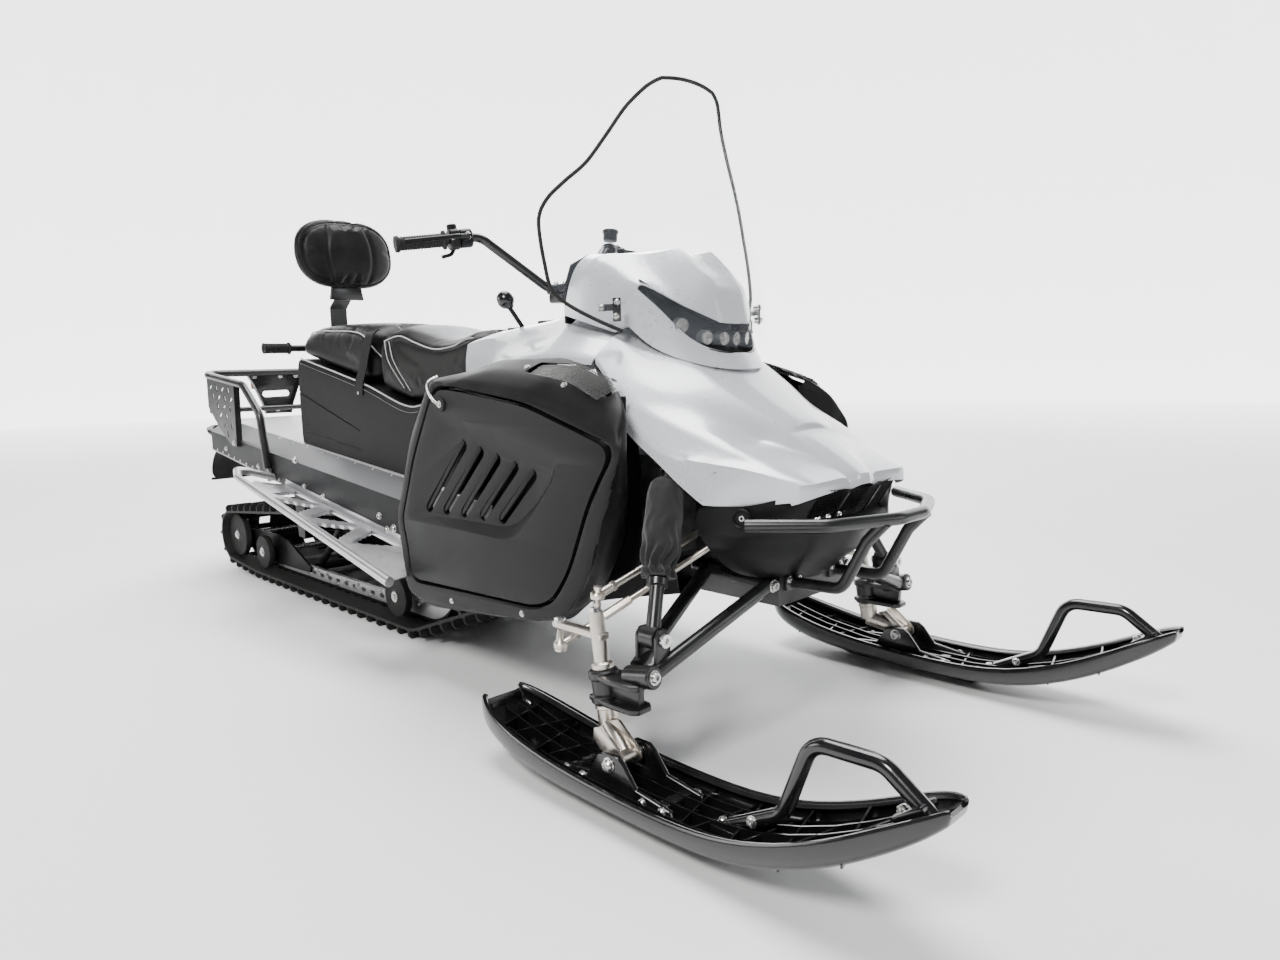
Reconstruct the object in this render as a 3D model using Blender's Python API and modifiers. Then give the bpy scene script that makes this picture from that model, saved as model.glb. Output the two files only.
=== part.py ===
"""Utility snowmobile: two-up seat, cargo rack behind it, tall screen, A-arm front suspension, wide track.

Metres, +Z up, +X forward. Shapes are written in the skis' frame, whose x is 0 at the ski pivots and
whose z is 0 on the ground; CHASSIS_X carries that frame to the middle of the machine's length.
"""

import math

import bmesh
import bpy
from mathutils import Matrix, Vector

CHASSIS_X = 1.026
SEAT_GAP = 0.0003

SKI_Y = 0.484
SKI_WIDTH = 0.172
SKI_SKIN = 0.007
SADDLE_HALF = 0.033
SKI_TIP_X = 0.602
SKI_TAIL_X = -0.365
KINGPIN_X = -0.090
KINGPIN_Y = 0.450
KINGPIN_Z = 0.187
KINGPIN_RAKE = math.radians(8.7)
SPINDLE_R = 0.0145
SLEEVE_R = 0.021
KNUCKLE_HEIGHT = 0.056
SPINDLE_TOP_Z = 0.322
SKI_PIVOT_Z = 0.088
STEERING_ARM = 0.105
ROD_R = 0.0065
ARM_TUBE_R = 0.0145
SHOCK_BODY_R = 0.034
SHOCK_ROD_R = 0.013

TRACK_WIDTH = 0.500
BELT = 0.008
LUG_HEIGHT = 0.025
LUG_PITCH = 0.0604
IDLER_X = -2.474
IDLER_Z = 0.138
IDLER_R = 0.089
BOGIE_R = 0.0675
BOGIE_REAR_X = -2.239
BOGIE_FRONT_X = -1.263
WHEEL_Y = 0.212
WHEEL_WIDTH = 0.022
DRIVE_X = -0.760
DRIVE_Z = 0.258
DRIVE_R = 0.085
RAIL_Y = 0.165
RAIL_THICK = 0.014
RAIL_REAR_X = -2.225
RAIL_FRONT_X = -1.16
RAIL_CURVE_R = 0.16

TUNNEL_REAR_X = -2.545
TUNNEL_FRONT_X = -0.640
TUNNEL_Y = 0.265
DECK_Y = 0.200
TUNNEL_SHEET = 0.003
DECK_REAR_Z = 0.586
DECK_SLOPE = 0.0958
BEVEL_DROP = 0.040
SKIRT_REAR_Z = 0.475
SKIRT_SLOPE = 0.1335

SEAT_Y = 0.195
CUSHION_Y = 0.185
BAR_R = 0.011
GRIP_R = 0.0175
STEER_X = -0.685
STEER_Z = 0.945
STEER_TILT = math.radians(32.0)
POST_R = 0.016
RACK_R = 0.0135
BUMPER_R = 0.0140
BODY_SHEET = 0.004
COVER_Y = 0.385
DOOR_THICK = 0.014
DOOR_GAP = 0.007
SCREEN_THICK = 0.0035

BULKHEAD_Y = 0.115
BULKHEAD_FRONT_X = 0.055
TOWER_Z = 0.585
TOWER_HALF = 0.281
TOWER_R = 0.015
SHOCK_TOP_X = -0.095
ENGINE_LOW_Z = 0.352
POST_LENGTH = 0.420
STRUT_R = 0.007
POD_REAR_X = -0.465

parts = None
bodies = {}
finishes = {}


def deck_z(x):
    return DECK_REAR_Z - (x - TUNNEL_REAR_X) * DECK_SLOPE


def skirt_z(x):
    return SKIRT_REAR_Z - (x - TUNNEL_REAR_X) * SKIRT_SLOPE


def clear_scene():
    for obj in list(bpy.data.objects):
        bpy.data.objects.remove(obj)


def add_finish(name, colour, roughness, metallic=0.0, alpha=1.0):
    finish = bpy.data.materials.new(name)
    finish.use_nodes = True
    shader = finish.node_tree.nodes["Principled BSDF"]
    shader.inputs["Base Color"].default_value = (*colour, 1.0)
    shader.inputs["Roughness"].default_value = roughness
    shader.inputs["Metallic"].default_value = metallic
    shader.inputs["Alpha"].default_value = alpha
    finishes[name] = finish


def add_body(name, at):
    """An empty on a joint's axis, or at the chassis, that carries the pieces of one moving body."""
    empty = bpy.data.objects.new(name + "_axis", None)
    bpy.context.scene.collection.objects.link(empty)
    empty.location = at
    bodies[name] = empty


def temp_object(mesh):
    obj = bpy.data.objects.new("shape", mesh)
    parts.objects.link(obj)
    return obj


def settled(obj):
    """The object as a plain mesh in place, its curve caps welded and its modifiers applied."""
    bpy.context.view_layer.update()
    graph = bpy.context.evaluated_depsgraph_get()
    mesh = bpy.data.meshes.new_from_object(obj.evaluated_get(graph))
    mesh.transform(obj.matrix_world)
    bpy.data.objects.remove(obj)
    bm = bmesh.new()
    bm.from_mesh(mesh)
    bmesh.ops.remove_doubles(bm, verts=bm.verts, dist=0.00002)
    bm.to_mesh(mesh)
    bm.free()
    return temp_object(mesh)


def other_side(obj):
    """A copy of a piece, mirrored across the machine's middle."""
    bm = bmesh.new()
    bm.from_mesh(obj.data)
    bmesh.ops.scale(bm, vec=(1, -1, 1), verts=bm.verts)
    bmesh.ops.reverse_faces(bm, faces=bm.faces)
    mesh = bpy.data.meshes.new("mirrored")
    bm.to_mesh(mesh)
    bm.free()
    return temp_object(mesh)


def block(low, high):
    bm = bmesh.new()
    bmesh.ops.create_cube(bm, size=1.0)
    low, high = Vector(low), Vector(high)
    size = high - low
    bmesh.ops.scale(bm, vec=size, verts=bm.verts)
    bmesh.ops.translate(bm, vec=(low + high) / 2, verts=bm.verts)
    mesh = bpy.data.meshes.new("block")
    bm.to_mesh(mesh)
    bm.free()
    return temp_object(mesh)


def rod(start, end, radius, sides=12, end_radius=None):
    start, end = Vector(start), Vector(end)
    along = end - start
    bm = bmesh.new()
    bmesh.ops.create_cone(
        bm,
        cap_ends=True,
        segments=sides,
        radius1=radius,
        radius2=radius if end_radius is None else end_radius,
        depth=along.length,
    )
    turn = along.to_track_quat("Z", "Y").to_matrix().to_4x4()
    bm.transform(Matrix.Translation((start + end) / 2) @ turn)
    mesh = bpy.data.meshes.new("rod")
    bm.to_mesh(mesh)
    bm.free()
    return temp_object(mesh)


def outline_curve(outline, holes, half_thickness):
    curve = bpy.data.curves.new("outline", "CURVE")
    curve.dimensions = "2D"
    curve.fill_mode = "BOTH"
    curve.extrude = half_thickness
    for ring in [outline, *holes]:
        spline = curve.splines.new("POLY")
        spline.points.add(len(ring) - 1)
        for point, (u, v) in zip(spline.points, ring):
            point.co = (u, v, 0, 1)
        spline.use_cyclic_u = True
    return temp_object(curve)


def side_slab(outline, y_low, y_high, holes=()):
    """A plate whose outline is given as (x, z), between two values of y."""
    obj = outline_curve(outline, holes, (y_high - y_low) / 2)
    obj.matrix_world = Matrix.Translation((0, (y_low + y_high) / 2, 0)) @ Matrix.Rotation(
        math.pi / 2, 4, "X"
    )
    return settled(obj)


def level_slab(outline, z_low, z_high, holes=()):
    """A plate whose outline is given as (x, y), between two values of z."""
    obj = outline_curve(outline, holes, (z_high - z_low) / 2)
    obj.matrix_world = Matrix.Translation((0, 0, (z_low + z_high) / 2))
    return settled(obj)


def cross_slab(outline, x_low, x_high, holes=()):
    """A plate whose outline is given as (y, z), between two values of x."""
    obj = outline_curve(outline, holes, (x_high - x_low) / 2)
    turn = Matrix(((0, 0, 1, 0), (1, 0, 0, 0), (0, 1, 0, 0), (0, 0, 0, 1)))
    obj.matrix_world = Matrix.Translation(((x_low + x_high) / 2, 0, 0)) @ turn
    return settled(obj)


def bent_path(points, bend, cyclic=False, steps=3):
    """The points with each inner corner rounded to the bend radius."""
    points = [Vector(p) for p in points]
    count = len(points)
    path = []
    for i, corner in enumerate(points):
        if not cyclic and i in (0, count - 1):
            path.append(corner)
            continue
        before = points[i - 1] - corner
        after = points[(i + 1) % count] - corner
        half = before.angle(after) / 2
        reach = min(bend / math.tan(half), before.length * 0.48, after.length * 0.48)
        start = corner + before.normalized() * reach
        end = corner + after.normalized() * reach
        for k in range(steps + 1):
            t = k / steps
            path.append(start.lerp(corner, t).lerp(corner.lerp(end, t), t))
    return path


def tube(points, radius, bend=0.05, cyclic=False, resolution=2, steps=3):
    path = bent_path(points, bend, cyclic, steps) if bend else [Vector(p) for p in points]
    curve = bpy.data.curves.new("tube", "CURVE")
    curve.dimensions = "3D"
    curve.bevel_depth = radius
    curve.bevel_resolution = resolution
    curve.use_fill_caps = True
    spline = curve.splines.new("POLY")
    spline.points.add(len(path) - 1)
    for point, place in zip(spline.points, path):
        point.co = (*place, 1)
    spline.use_cyclic_u = cyclic
    return settled(temp_object(curve))


def turned(profile, at, axis, sides=20):
    """A profile of (radius, along) pairs, turned about an axis through a point."""
    mesh = bpy.data.meshes.new("profile")
    ring = [(r, 0, a) for r, a in profile]
    edges = [(i, i + 1) for i in range(len(ring) - 1)]
    mesh.from_pydata(ring, edges, [])
    obj = temp_object(mesh)
    screw = obj.modifiers.new("turn", "SCREW")
    screw.steps = sides
    screw.render_steps = sides
    screw.use_merge_vertices = True
    screw.merge_threshold = 0.00005
    obj.matrix_world = Matrix.Translation(at) @ Vector(axis).to_track_quat("Z", "Y").to_matrix().to_4x4()
    obj = settled(obj)
    return outward(obj)


def outward(obj):
    bm = bmesh.new()
    bm.from_mesh(obj.data)
    bmesh.ops.recalc_face_normals(bm, faces=bm.faces)
    if bm.calc_volume(signed=True) < 0:
        bmesh.ops.reverse_faces(bm, faces=bm.faces)
    bm.to_mesh(obj.data)
    bm.free()
    return obj


def surface(rows, closed=False):
    """A sheet of quads through rows of as many points each."""
    bm = bmesh.new()
    rings = [[bm.verts.new(p) for p in row] for row in rows]
    for lower, upper in zip(rings, rings[1:]):
        count = len(lower)
        for i in range(count if closed else count - 1):
            j = (i + 1) % count
            bm.faces.new((lower[i], lower[j], upper[j], upper[i]))
    return bm, rings


def skin(rows, thickness, closed=False, cap_last=False):
    """A sheet through the rows with a wall of even thickness, its face on the rows' outside."""
    bm, rings = surface(rows, closed)
    if cap_last:
        bm.faces.new(rings[-1])
    bmesh.ops.recalc_face_normals(bm, faces=bm.faces)
    mesh = bpy.data.meshes.new("skin")
    bm.to_mesh(mesh)
    bm.free()
    obj = temp_object(mesh)
    wall = obj.modifiers.new("wall", "SOLIDIFY")
    wall.thickness = thickness
    wall.offset = 0
    wall.use_even_offset = True
    return outward(settled(obj))


def lofted(rows):
    """A closed solid through rings of as many points each, with flat ends."""
    bm, rings = surface(rows, True)
    bm.faces.new(rings[0])
    bm.faces.new(rings[-1])
    mesh = bpy.data.meshes.new("loft")
    bm.to_mesh(mesh)
    bm.free()
    return outward(temp_object(mesh))


def volume_under(rows, floor_z, lift):
    """The solid between a floor and a sheet through the rows, the sheet raised by the lift."""
    rings = []
    for row in rows:
        ring = [(x, y, z + lift) for x, y, z in row]
        rings.append([*ring, (row[-1][0], row[-1][1], floor_z), (row[0][0], row[0][1], floor_z)])
    return lofted(rings)


def mirrored_row(x, half):
    """A full section from its half, which runs from the right edge's (y, z) to the middle."""
    left = [(x, -y, z) for y, z in half]
    right = [(x, y, z) for y, z in reversed(half) if y > 0]
    return left + right


def combined(obj, others, operation):
    for other in others:
        step = obj.modifiers.new(operation.lower(), "BOOLEAN")
        step.operation = operation
        step.solver = "EXACT"
        step.object = other
    result = settled(obj)
    for other in others:
        bpy.data.objects.remove(other)
    return result


def fused(pieces):
    return combined(pieces[0], pieces[1:], "UNION") if len(pieces) > 1 else pieces[0]


def carved(obj, cutters):
    return combined(obj, cutters, "DIFFERENCE")


def rounded(obj, width, segments=1, angle=30):
    bevel = obj.modifiers.new("round", "BEVEL")
    bevel.width = width
    bevel.segments = segments
    bevel.limit_method = "ANGLE"
    bevel.angle_limit = math.radians(angle)
    return settled(obj)


def place(name, obj, finish, body="chassis"):
    """Names a finished piece, gives it its finish and hangs it on its body."""
    obj.name = name
    obj.data.name = name
    obj.data.materials.clear()
    obj.data.materials.append(finishes[finish])
    obj.data.shade_smooth()
    obj.data.set_sharp_from_angle(angle=math.radians(35))
    obj.parent = bodies[body]
    obj.matrix_parent_inverse = Matrix.Translation(-Vector(BODY_AT[body]))
    return obj


def span(side, near, far):
    """Two distances from the middle as low and high y, on the side asked for."""
    return sorted((side * near, side * far))


def flipped(points):
    return [(x, -y, z) for x, y, z in points]


def sided(points, side):
    """Points given for the right side, on the side asked for: -1 is right, 1 is left."""
    return points if side < 0 else flipped(points)


SIDES = (("right", -1), ("left", 1))


def kingpin_at(z):
    """The kingpin axis's x at a height."""
    return KINGPIN_X - (z - KINGPIN_Z) * math.tan(KINGPIN_RAKE)


def post_point(distance):
    """A point on the steering post, so far below the handlebar's clamp."""
    return Vector(
        (STEER_X + distance * math.sin(STEER_TILT), 0, STEER_Z - distance * math.cos(STEER_TILT))
    )


DOOR_HINGE = ((-0.145, 0.600), (-0.290, 0.330))
ARM_END_X = kingpin_at(SPINDLE_TOP_Z - 0.02) - STEERING_ARM
ARM_END_Z = 0.262
ARM_END_Y = 0.452
# a tie rod's inner end, at rest, behind the nose
ROD_INNER_END = (-0.046, -0.190, 0.415)

BODY_AT = {
    "chassis": (0, 0, 0),
    "steering": (STEER_X, 0, STEER_Z),
    "door_right": (DOOR_HINGE[0][0], -COVER_Y, DOOR_HINGE[0][1]),
    "door_left": (DOOR_HINGE[0][0], COVER_Y, DOOR_HINGE[0][1]),
    "ski_right": (KINGPIN_X, -KINGPIN_Y, KINGPIN_Z),
    "ski_left": (KINGPIN_X, KINGPIN_Y, KINGPIN_Z),
    "tie_rod_right": (ARM_END_X, -ARM_END_Y, ARM_END_Z),
    "tie_rod_left": (ARM_END_X, ARM_END_Y, ARM_END_Z),
}


def add_bodies():
    add_body("chassis", (CHASSIS_X, 0, 0))
    for name, (x, y, z) in BODY_AT.items():
        if name != "chassis":
            add_body(name, (x + CHASSIS_X, y, z))


def add_finishes():
    add_finish("body_white", (0.78, 0.79, 0.82), 0.25)
    add_finish("moulding_black", (0.030, 0.030, 0.032), 0.45)
    add_finish("tunnel_grey", (0.075, 0.078, 0.082), 0.38, 0.3)
    add_finish("board_silver", (0.62, 0.62, 0.63), 0.38, 0.9)
    add_finish("tube_black", (0.022, 0.022, 0.023), 0.35)
    add_finish("zinc", (0.66, 0.60, 0.52), 0.30, 1.0)
    add_finish("ski_black", (0.012, 0.012, 0.013), 0.22)
    add_finish("vinyl_black", (0.035, 0.034, 0.034), 0.48)
    add_finish("rubber_black", (0.018, 0.018, 0.018), 0.70)
    add_finish("cloth_black", (0.028, 0.028, 0.030), 0.85)
    add_finish("clear_sheet", (0.90, 0.93, 0.95), 0.05, 0.0, 0.25)
    add_finish("engine_grey", (0.18, 0.18, 0.18), 0.50, 0.6)
    add_finish("lens_clear", (0.85, 0.88, 0.90), 0.05, 0.0, 0.35)
    add_finish("lamp_red", (0.45, 0.02, 0.02), 0.20)


# Track and its suspension


def convex_hull(points):
    points = sorted(set(points))
    chains = []
    for ordered in (points, points[::-1]):
        chain = []
        for p in ordered:
            while len(chain) > 1:
                (ax, az), (bx, bz) = chain[-2], chain[-1]
                if (bx - ax) * (p[1] - az) - (bz - az) * (p[0] - ax) > 0:
                    break
                chain.pop()
            chain.append(p)
        chains.append(chain[:-1])
    return chains[0] + chains[1]


def track_line():
    """The belt's inner face as a closed line round the wheels and rails, evenly cut at half lugs."""
    floor = LUG_HEIGHT + BELT
    circles = [
        (IDLER_X, IDLER_Z, IDLER_R),
        (BOGIE_REAR_X, floor + BOGIE_R, BOGIE_R),
        (RAIL_FRONT_X, floor + RAIL_CURVE_R, RAIL_CURVE_R),
        (DRIVE_X, DRIVE_Z, DRIVE_R),
    ]
    around = [
        (cx + r * math.cos(math.radians(a)), cz + r * math.sin(math.radians(a)))
        for cx, cz, r in circles
        for a in range(0, 360, 10)
    ]
    hull = [Vector(p) for p in convex_hull(around)]
    lengths = [(b - a).length for a, b in zip(hull, hull[1:] + hull[:1])]
    total = sum(lengths)
    lugs = round(total / LUG_PITCH)
    return hull, lengths, total, lugs


def along_line(hull, lengths, total, distance):
    distance %= total
    for i, length in enumerate(lengths):
        if distance <= length:
            a, b = hull[i], hull[(i + 1) % len(hull)]
            heading = (b - a).normalized()
            return a.lerp(b, distance / length), Vector((heading.y, -heading.x))
        distance -= length
    return hull[0], Vector((0, 0))


def smooth_normal(line, distance, reach=0.02):
    before = along_line(*line, distance - reach)[0]
    after = along_line(*line, distance + reach)[0]
    heading = (after - before).normalized()
    return Vector((heading.y, -heading.x))


def add_track():
    hull, lengths, total, lugs = track_line()
    line = (hull, lengths, total)
    pitch = total / lugs
    outer, inner = [], []
    # each lug: share of the pitch at which it is cut, height outside the belt, height inside it
    outside = ((0.06, 0.0), (0.14, 1.0), (0.34, 1.0), (0.42, 0.0))
    inside = ((0.56, 0.0), (0.62, 1.0), (0.76, 1.0), (0.82, 0.0))
    for k in range(lugs):
        for share, height in outside:
            at = (k + share) * pitch
            normal = smooth_normal(line, at)
            outer.append(tuple(along_line(*line, at)[0] + normal * (BELT + height * LUG_HEIGHT)))
        at = (k + 0.2) * pitch
        inner.append(tuple(along_line(*line, at)[0]))
        at = (k + 0.7) * pitch
        inner.append(tuple(along_line(*line, at)[0]))
    track = side_slab(outer, -TRACK_WIDTH / 2, TRACK_WIDTH / 2, [inner])
    return place("track", track, "rubber_black")


def wheel(x, y, z, belt_radius, width=WHEEL_WIDTH, hub=0.018):
    """A wheel just inside the belt that bends round it, dished between its hub and its rim."""
    chord = LUG_PITCH / 2
    radius = belt_radius - chord * chord / (8 * belt_radius) - 2 * SEAT_GAP
    half = [(hub, width / 2 + 0.002), (hub + 0.004, 0.004), (radius * 0.80, 0.004), (radius * 0.84, width / 2)]
    profile = [(0.0, width / 2 + 0.002), *half, (radius, width / 2)]
    profile += [(r, -a) for r, a in reversed(profile)]
    return turned(profile, (x, y, z), (0, 1, 0), 16)


def add_wheel_sets():
    floor = LUG_HEIGHT + BELT
    # name, x, z, radius, the wheels' places across the track
    sets = (
        ("idler_wheels", IDLER_X, IDLER_Z, IDLER_R, (-WHEEL_Y, WHEEL_Y)),
        ("rear_bogie_wheels", BOGIE_REAR_X, floor + BOGIE_R, BOGIE_R, (-WHEEL_Y, WHEEL_Y)),
        ("front_bogie_wheels", BOGIE_FRONT_X, floor + BOGIE_R, BOGIE_R, (-WHEEL_Y, WHEEL_Y)),
    )
    for name, x, z, radius, places in sets:
        wide = max(places) + WHEEL_WIDTH / 2 + 0.006
        axle = rod((x, -wide, z), (x, wide, z), 0.010)
        wheels = [wheel(x, y, z, radius) for y in places]
        place(name, fused([axle, *wheels]), "moulding_black")
    sprockets = [
        wheel(DRIVE_X, y, DRIVE_Z, DRIVE_R, 0.040, 0.024) for y in (-0.09, 0.09)
    ]
    reach = TUNNEL_Y - TUNNEL_SHEET / 2 - SEAT_GAP
    shaft = rod((DRIVE_X, -reach, DRIVE_Z), (DRIVE_X, reach, DRIVE_Z), 0.0125)
    place("drive_axle", fused([shaft, *sprockets]), "engine_grey")


def rail_outline():
    """One slide rail from the side: flat along the ground run and swept up in front."""
    base = LUG_HEIGHT + BELT + 0.0005
    sweep = RAIL_CURVE_R - 0.002
    middle_z = LUG_HEIGHT + BELT + RAIL_CURVE_R
    low = [(RAIL_REAR_X, base)]
    for a in range(0, 61, 12):
        angle = math.radians(a)
        low.append((RAIL_FRONT_X + sweep * math.sin(angle), middle_z - sweep * math.cos(angle)))
    tip = low[-1]
    top = [(tip[0] - 0.035, tip[1] + 0.02), (-1.13, 0.105), (-1.20, 0.083)]
    lug_z = LUG_HEIGHT + BELT + BOGIE_R + 0.020
    for x, z in ((0.022, 0.082), (0.018, lug_z), (-0.018, lug_z + 0.0005), (-0.022, 0.0815)):
        top.append((BOGIE_FRONT_X + x, z))
    return low + top + [(RAIL_REAR_X + 0.06, 0.0805), (RAIL_REAR_X, 0.070)]


def add_rail_frame():
    rails = []
    for side in (-1, 1):
        y = side * RAIL_Y
        rails.append(side_slab(rail_outline(), y - RAIL_THICK / 2, y + RAIL_THICK / 2))
    wide = RAIL_Y + 0.002
    # cross tubes between the rails: x, z, radius
    for x, z, radius in ((-2.17, 0.060, 0.009), (-1.62, 0.060, 0.009), (-1.12, 0.075, 0.009)):
        rails.append(rod((x, -wide, z), (x, wide, z), radius))
    axle_z = LUG_HEIGHT + BELT + BOGIE_R
    slots = [rod((BOGIE_FRONT_X, -0.2, axle_z), (BOGIE_FRONT_X, 0.2, axle_z), 0.0104)]
    for k in range(8):
        x = -2.10 + 0.060 * k
        slots.append(block((x - 0.012, -0.2, 0.052), (x + 0.012, 0.2, 0.066)))
    place("slide_rails", carved(fused(rails), slots), "board_silver")


def round_hole(x, z, radius, sides=12):
    return [
        (x + radius * math.cos(2 * math.pi * k / sides), z + radius * math.sin(2 * math.pi * k / sides))
        for k in range(sides)
    ]


def add_track_arms():
    """Swing arms that hang the rail frame in the tunnel, its shock, and the idler's two side plates."""
    between_rails = RAIL_Y - RAIL_THICK / 2 - SEAT_GAP
    in_tunnel = TUNNEL_Y - TUNNEL_SHEET / 2 - SEAT_GAP
    shock_top = Vector((-1.200, 0, 0.1904))
    # name, lower x, lower z, upper x, upper z
    pivots = (
        ("track_arm_front", -1.360, 0.066, -1.060, 0.286),
        ("track_arm_rear", -1.980, 0.066, -1.790, 0.240),
    )
    for name, low_x, low_z, high_x, high_z in pivots:
        low_bar = rod((low_x, -between_rails, low_z), (low_x, between_rails, low_z), 0.014)
        high_bar = rod((high_x, -in_tunnel, high_z), (high_x, in_tunnel, high_z), 0.014)
        legs = [rod((low_x, y, low_z), (high_x, y, high_z), 0.012) for y in (-0.120, 0.120)]
        hangers = []
        for side in (-1, 1):
            outline = [(high_x - 0.022, high_z - 0.020), (high_x + 0.022, high_z - 0.020)]
            outline += [(high_x + 0.045, skirt_z(high_x) + 0.045), (high_x - 0.045, skirt_z(high_x) + 0.045)]
            hangers.append(side_slab(outline, *span(side, in_tunnel, in_tunnel - 0.006)))
        pieces = [low_bar, high_bar, *legs, *hangers]
        if name == "track_arm_front":
            pieces.append(rod((shock_top.x, -0.122, shock_top.z), (shock_top.x, 0.122, shock_top.z), 0.012))
        place(name, fused(pieces), "tube_black")
    low_x, low_z = -1.860, 0.068
    eye = rod((low_x, -between_rails, low_z), (low_x, between_rails, low_z), 0.011)
    run = shock_top - Vector((low_x, 0, low_z))
    heading = run.normalized()
    start = Vector((low_x, 0, low_z))
    body = rod(start, start + heading * 0.30, 0.018)
    stem = rod(start + heading * 0.28, shock_top - heading * (0.012 + SEAT_GAP), 0.028)
    place("track_shock", fused([body, stem, eye]), "moulding_black")
    outline = [(-2.500, 0.155), (-2.510, 0.125), (-2.460, 0.108), (-2.200, 0.055), (-1.940, 0.060)]
    outline += [(-1.930, 0.080), (-2.100, 0.150), (-2.200, 0.165)]
    bogie_z = LUG_HEIGHT + BELT + BOGIE_R
    holes = [round_hole(IDLER_X, IDLER_Z, 0.0104), round_hole(BOGIE_REAR_X, bogie_z, 0.0104)]
    inner = RAIL_Y + RAIL_THICK / 2 + SEAT_GAP
    for label, side in SIDES:
        plate = side_slab(outline, *span(side, inner, inner + 0.008), holes)
        place("idler_carrier_" + label, plate, "tube_black")


# Tunnel, boards, rack and rear


def add_tunnel():
    rows = []
    for x in (TUNNEL_REAR_X, TUNNEL_FRONT_X):
        bevel = deck_z(x) - BEVEL_DROP
        rows.append(
            mirrored_row(x, [(TUNNEL_Y, skirt_z(x)), (TUNNEL_Y, bevel), (DECK_Y, deck_z(x)), (0, deck_z(x))])
        )
    place("tunnel", skin(rows, TUNNEL_SHEET), "tunnel_grey")


def add_snow_flap():
    line = [(-2.490, 0.490), (-2.540, 0.478), (-2.585, 0.455), (-2.625, 0.415), (-2.652, 0.345)]
    half = TUNNEL_Y - TUNNEL_SHEET / 2 - SEAT_GAP
    rows = [[(x, -half, z), (x, half, z)] for x, z in line]
    place("snow_flap", skin(rows, 0.006), "rubber_black")


def add_running_boards():
    rear_x, front_x = -1.880, -0.972
    outer_y, inner_y = 0.430, TUNNEL_Y + TUNNEL_SHEET / 2 + SEAT_GAP
    outline = [(rear_x, inner_y), (front_x, inner_y), (front_x, outer_y), (rear_x + 0.08, outer_y)]
    plate = level_slab(outline, -0.003, 0.003)
    rail = tube(
        [
            (rear_x - 0.060, inner_y + 0.013, 0.010),
            (rear_x - 0.060, outer_y - 0.03, 0.010),
            (rear_x + 0.040, outer_y + 0.006, 0.0012),
            (front_x + 0.004, outer_y + 0.006, 0.0012),
        ],
        0.013,
        0.06,
    )
    cutters = []
    bays = 6
    bay = (front_x - rear_x - 0.16) / bays
    for k in range(bays - 1):
        low = rear_x + 0.10 + k * bay
        base, apex = inner_y + 0.020, outer_y - 0.028
        if k % 2:
            base, apex = outer_y - 0.020, inner_y + 0.030
        triangle = [(low + 0.02, base), (low + bay * 1.55, base), (low + bay * 0.80, apex)]
        cutters.append(level_slab(triangle, -0.02, 0.02))
    board = carved(fused([plate, rail]), cutters)
    for v in board.data.vertices:
        x, y = v.co.x, v.co.y
        share = (y - inner_y) / (outer_y - inner_y)
        inner_z = skirt_z(x) + 0.004
        outer_z = 0.424 - (x + 1.800) * 0.198
        v.co.z += inner_z + (outer_z - inner_z) * share
    place("running_board_right", other_side(board), "board_silver")
    place("running_board_left", board, "board_silver")


def add_rack():
    """Cargo rack: one rail tube round the deck, side and rear plates and a tail lamp."""
    foot_y = TUNNEL_Y + TUNNEL_SHEET / 2 + RACK_R + SEAT_GAP
    right = [(-1.985, -foot_y, 0.440), (-2.020, -foot_y, 0.625), (-2.150, -foot_y, 0.725), (-2.536, -foot_y, 0.766)]
    path = right + flipped(right)[::-1]
    rail = tube(path, RACK_R, 0.07)
    lower = rod((-2.490, -foot_y, 0.625), (-2.490, foot_y, 0.625), 0.010)
    plates = []
    for side in (-1, 1):
        y = side * foot_y
        outline = [(-2.500, 0.752), (-2.235, 0.726), (-2.250, 0.500), (-2.290, 0.500), (-2.400, 0.560), (-2.505, 0.640)]
        plates.append(side_slab(outline, y - 0.002, y + 0.002))
    pads = []
    for side in (-1, 1):
        y = side * (TUNNEL_Y + TUNNEL_SHEET / 2 + SEAT_GAP)
        out = side * (foot_y + 0.001)
        pads.append(block((-2.290, min(y, out), 0.500), (-2.250, max(y, out), 0.530)))
    place("rack_rail", fused([rail, lower, *plates, *pads]), "tube_black")
    rear_x = -2.536 - RACK_R
    outline = [(-0.120, 0.768), (0.120, 0.768), (0.060, 0.640), (0.050, 0.600), (-0.050, 0.600), (-0.060, 0.640)]
    slot = [(-0.045, 0.668), (0.045, 0.668), (0.055, 0.680), (0.045, 0.692), (-0.045, 0.692), (-0.055, 0.680)]
    bracket = cross_slab(outline, rear_x - 0.004 - SEAT_GAP, rear_x - SEAT_GAP, [slot])
    place("rack_bracket", bracket, "tube_black")
    lamp = block((rear_x - 0.044, -0.085, 0.700), (rear_x - 0.004 - 2 * SEAT_GAP, 0.085, 0.745))
    place("tail_lamp", rounded(lamp, 0.008), "lamp_red")


def add_rear_bumper():
    radius = 0.012
    y = TUNNEL_Y - TUNNEL_SHEET / 2 - radius - SEAT_GAP
    right = [(-2.500, -y, 0.520), (-2.645, -y, 0.552)]
    loop = tube(right + flipped(right)[::-1], radius, 0.05)
    hitch = block((-2.645, -0.035, 0.486), (-2.560, 0.035, 0.539))
    lug = block((-2.638, -0.030, 0.530), (-2.565, 0.030, 0.562))
    place("rear_bumper", fused([loop, hitch, lug]), "tube_black")


# Seat


# the seat base's upper edge from the side, as (x, z)
BASE_TOP = ((-1.862, 0.812), (-1.442, 0.729), (-1.171, 0.663), (-1.010, 0.712), (-0.905, 0.735))


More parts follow.
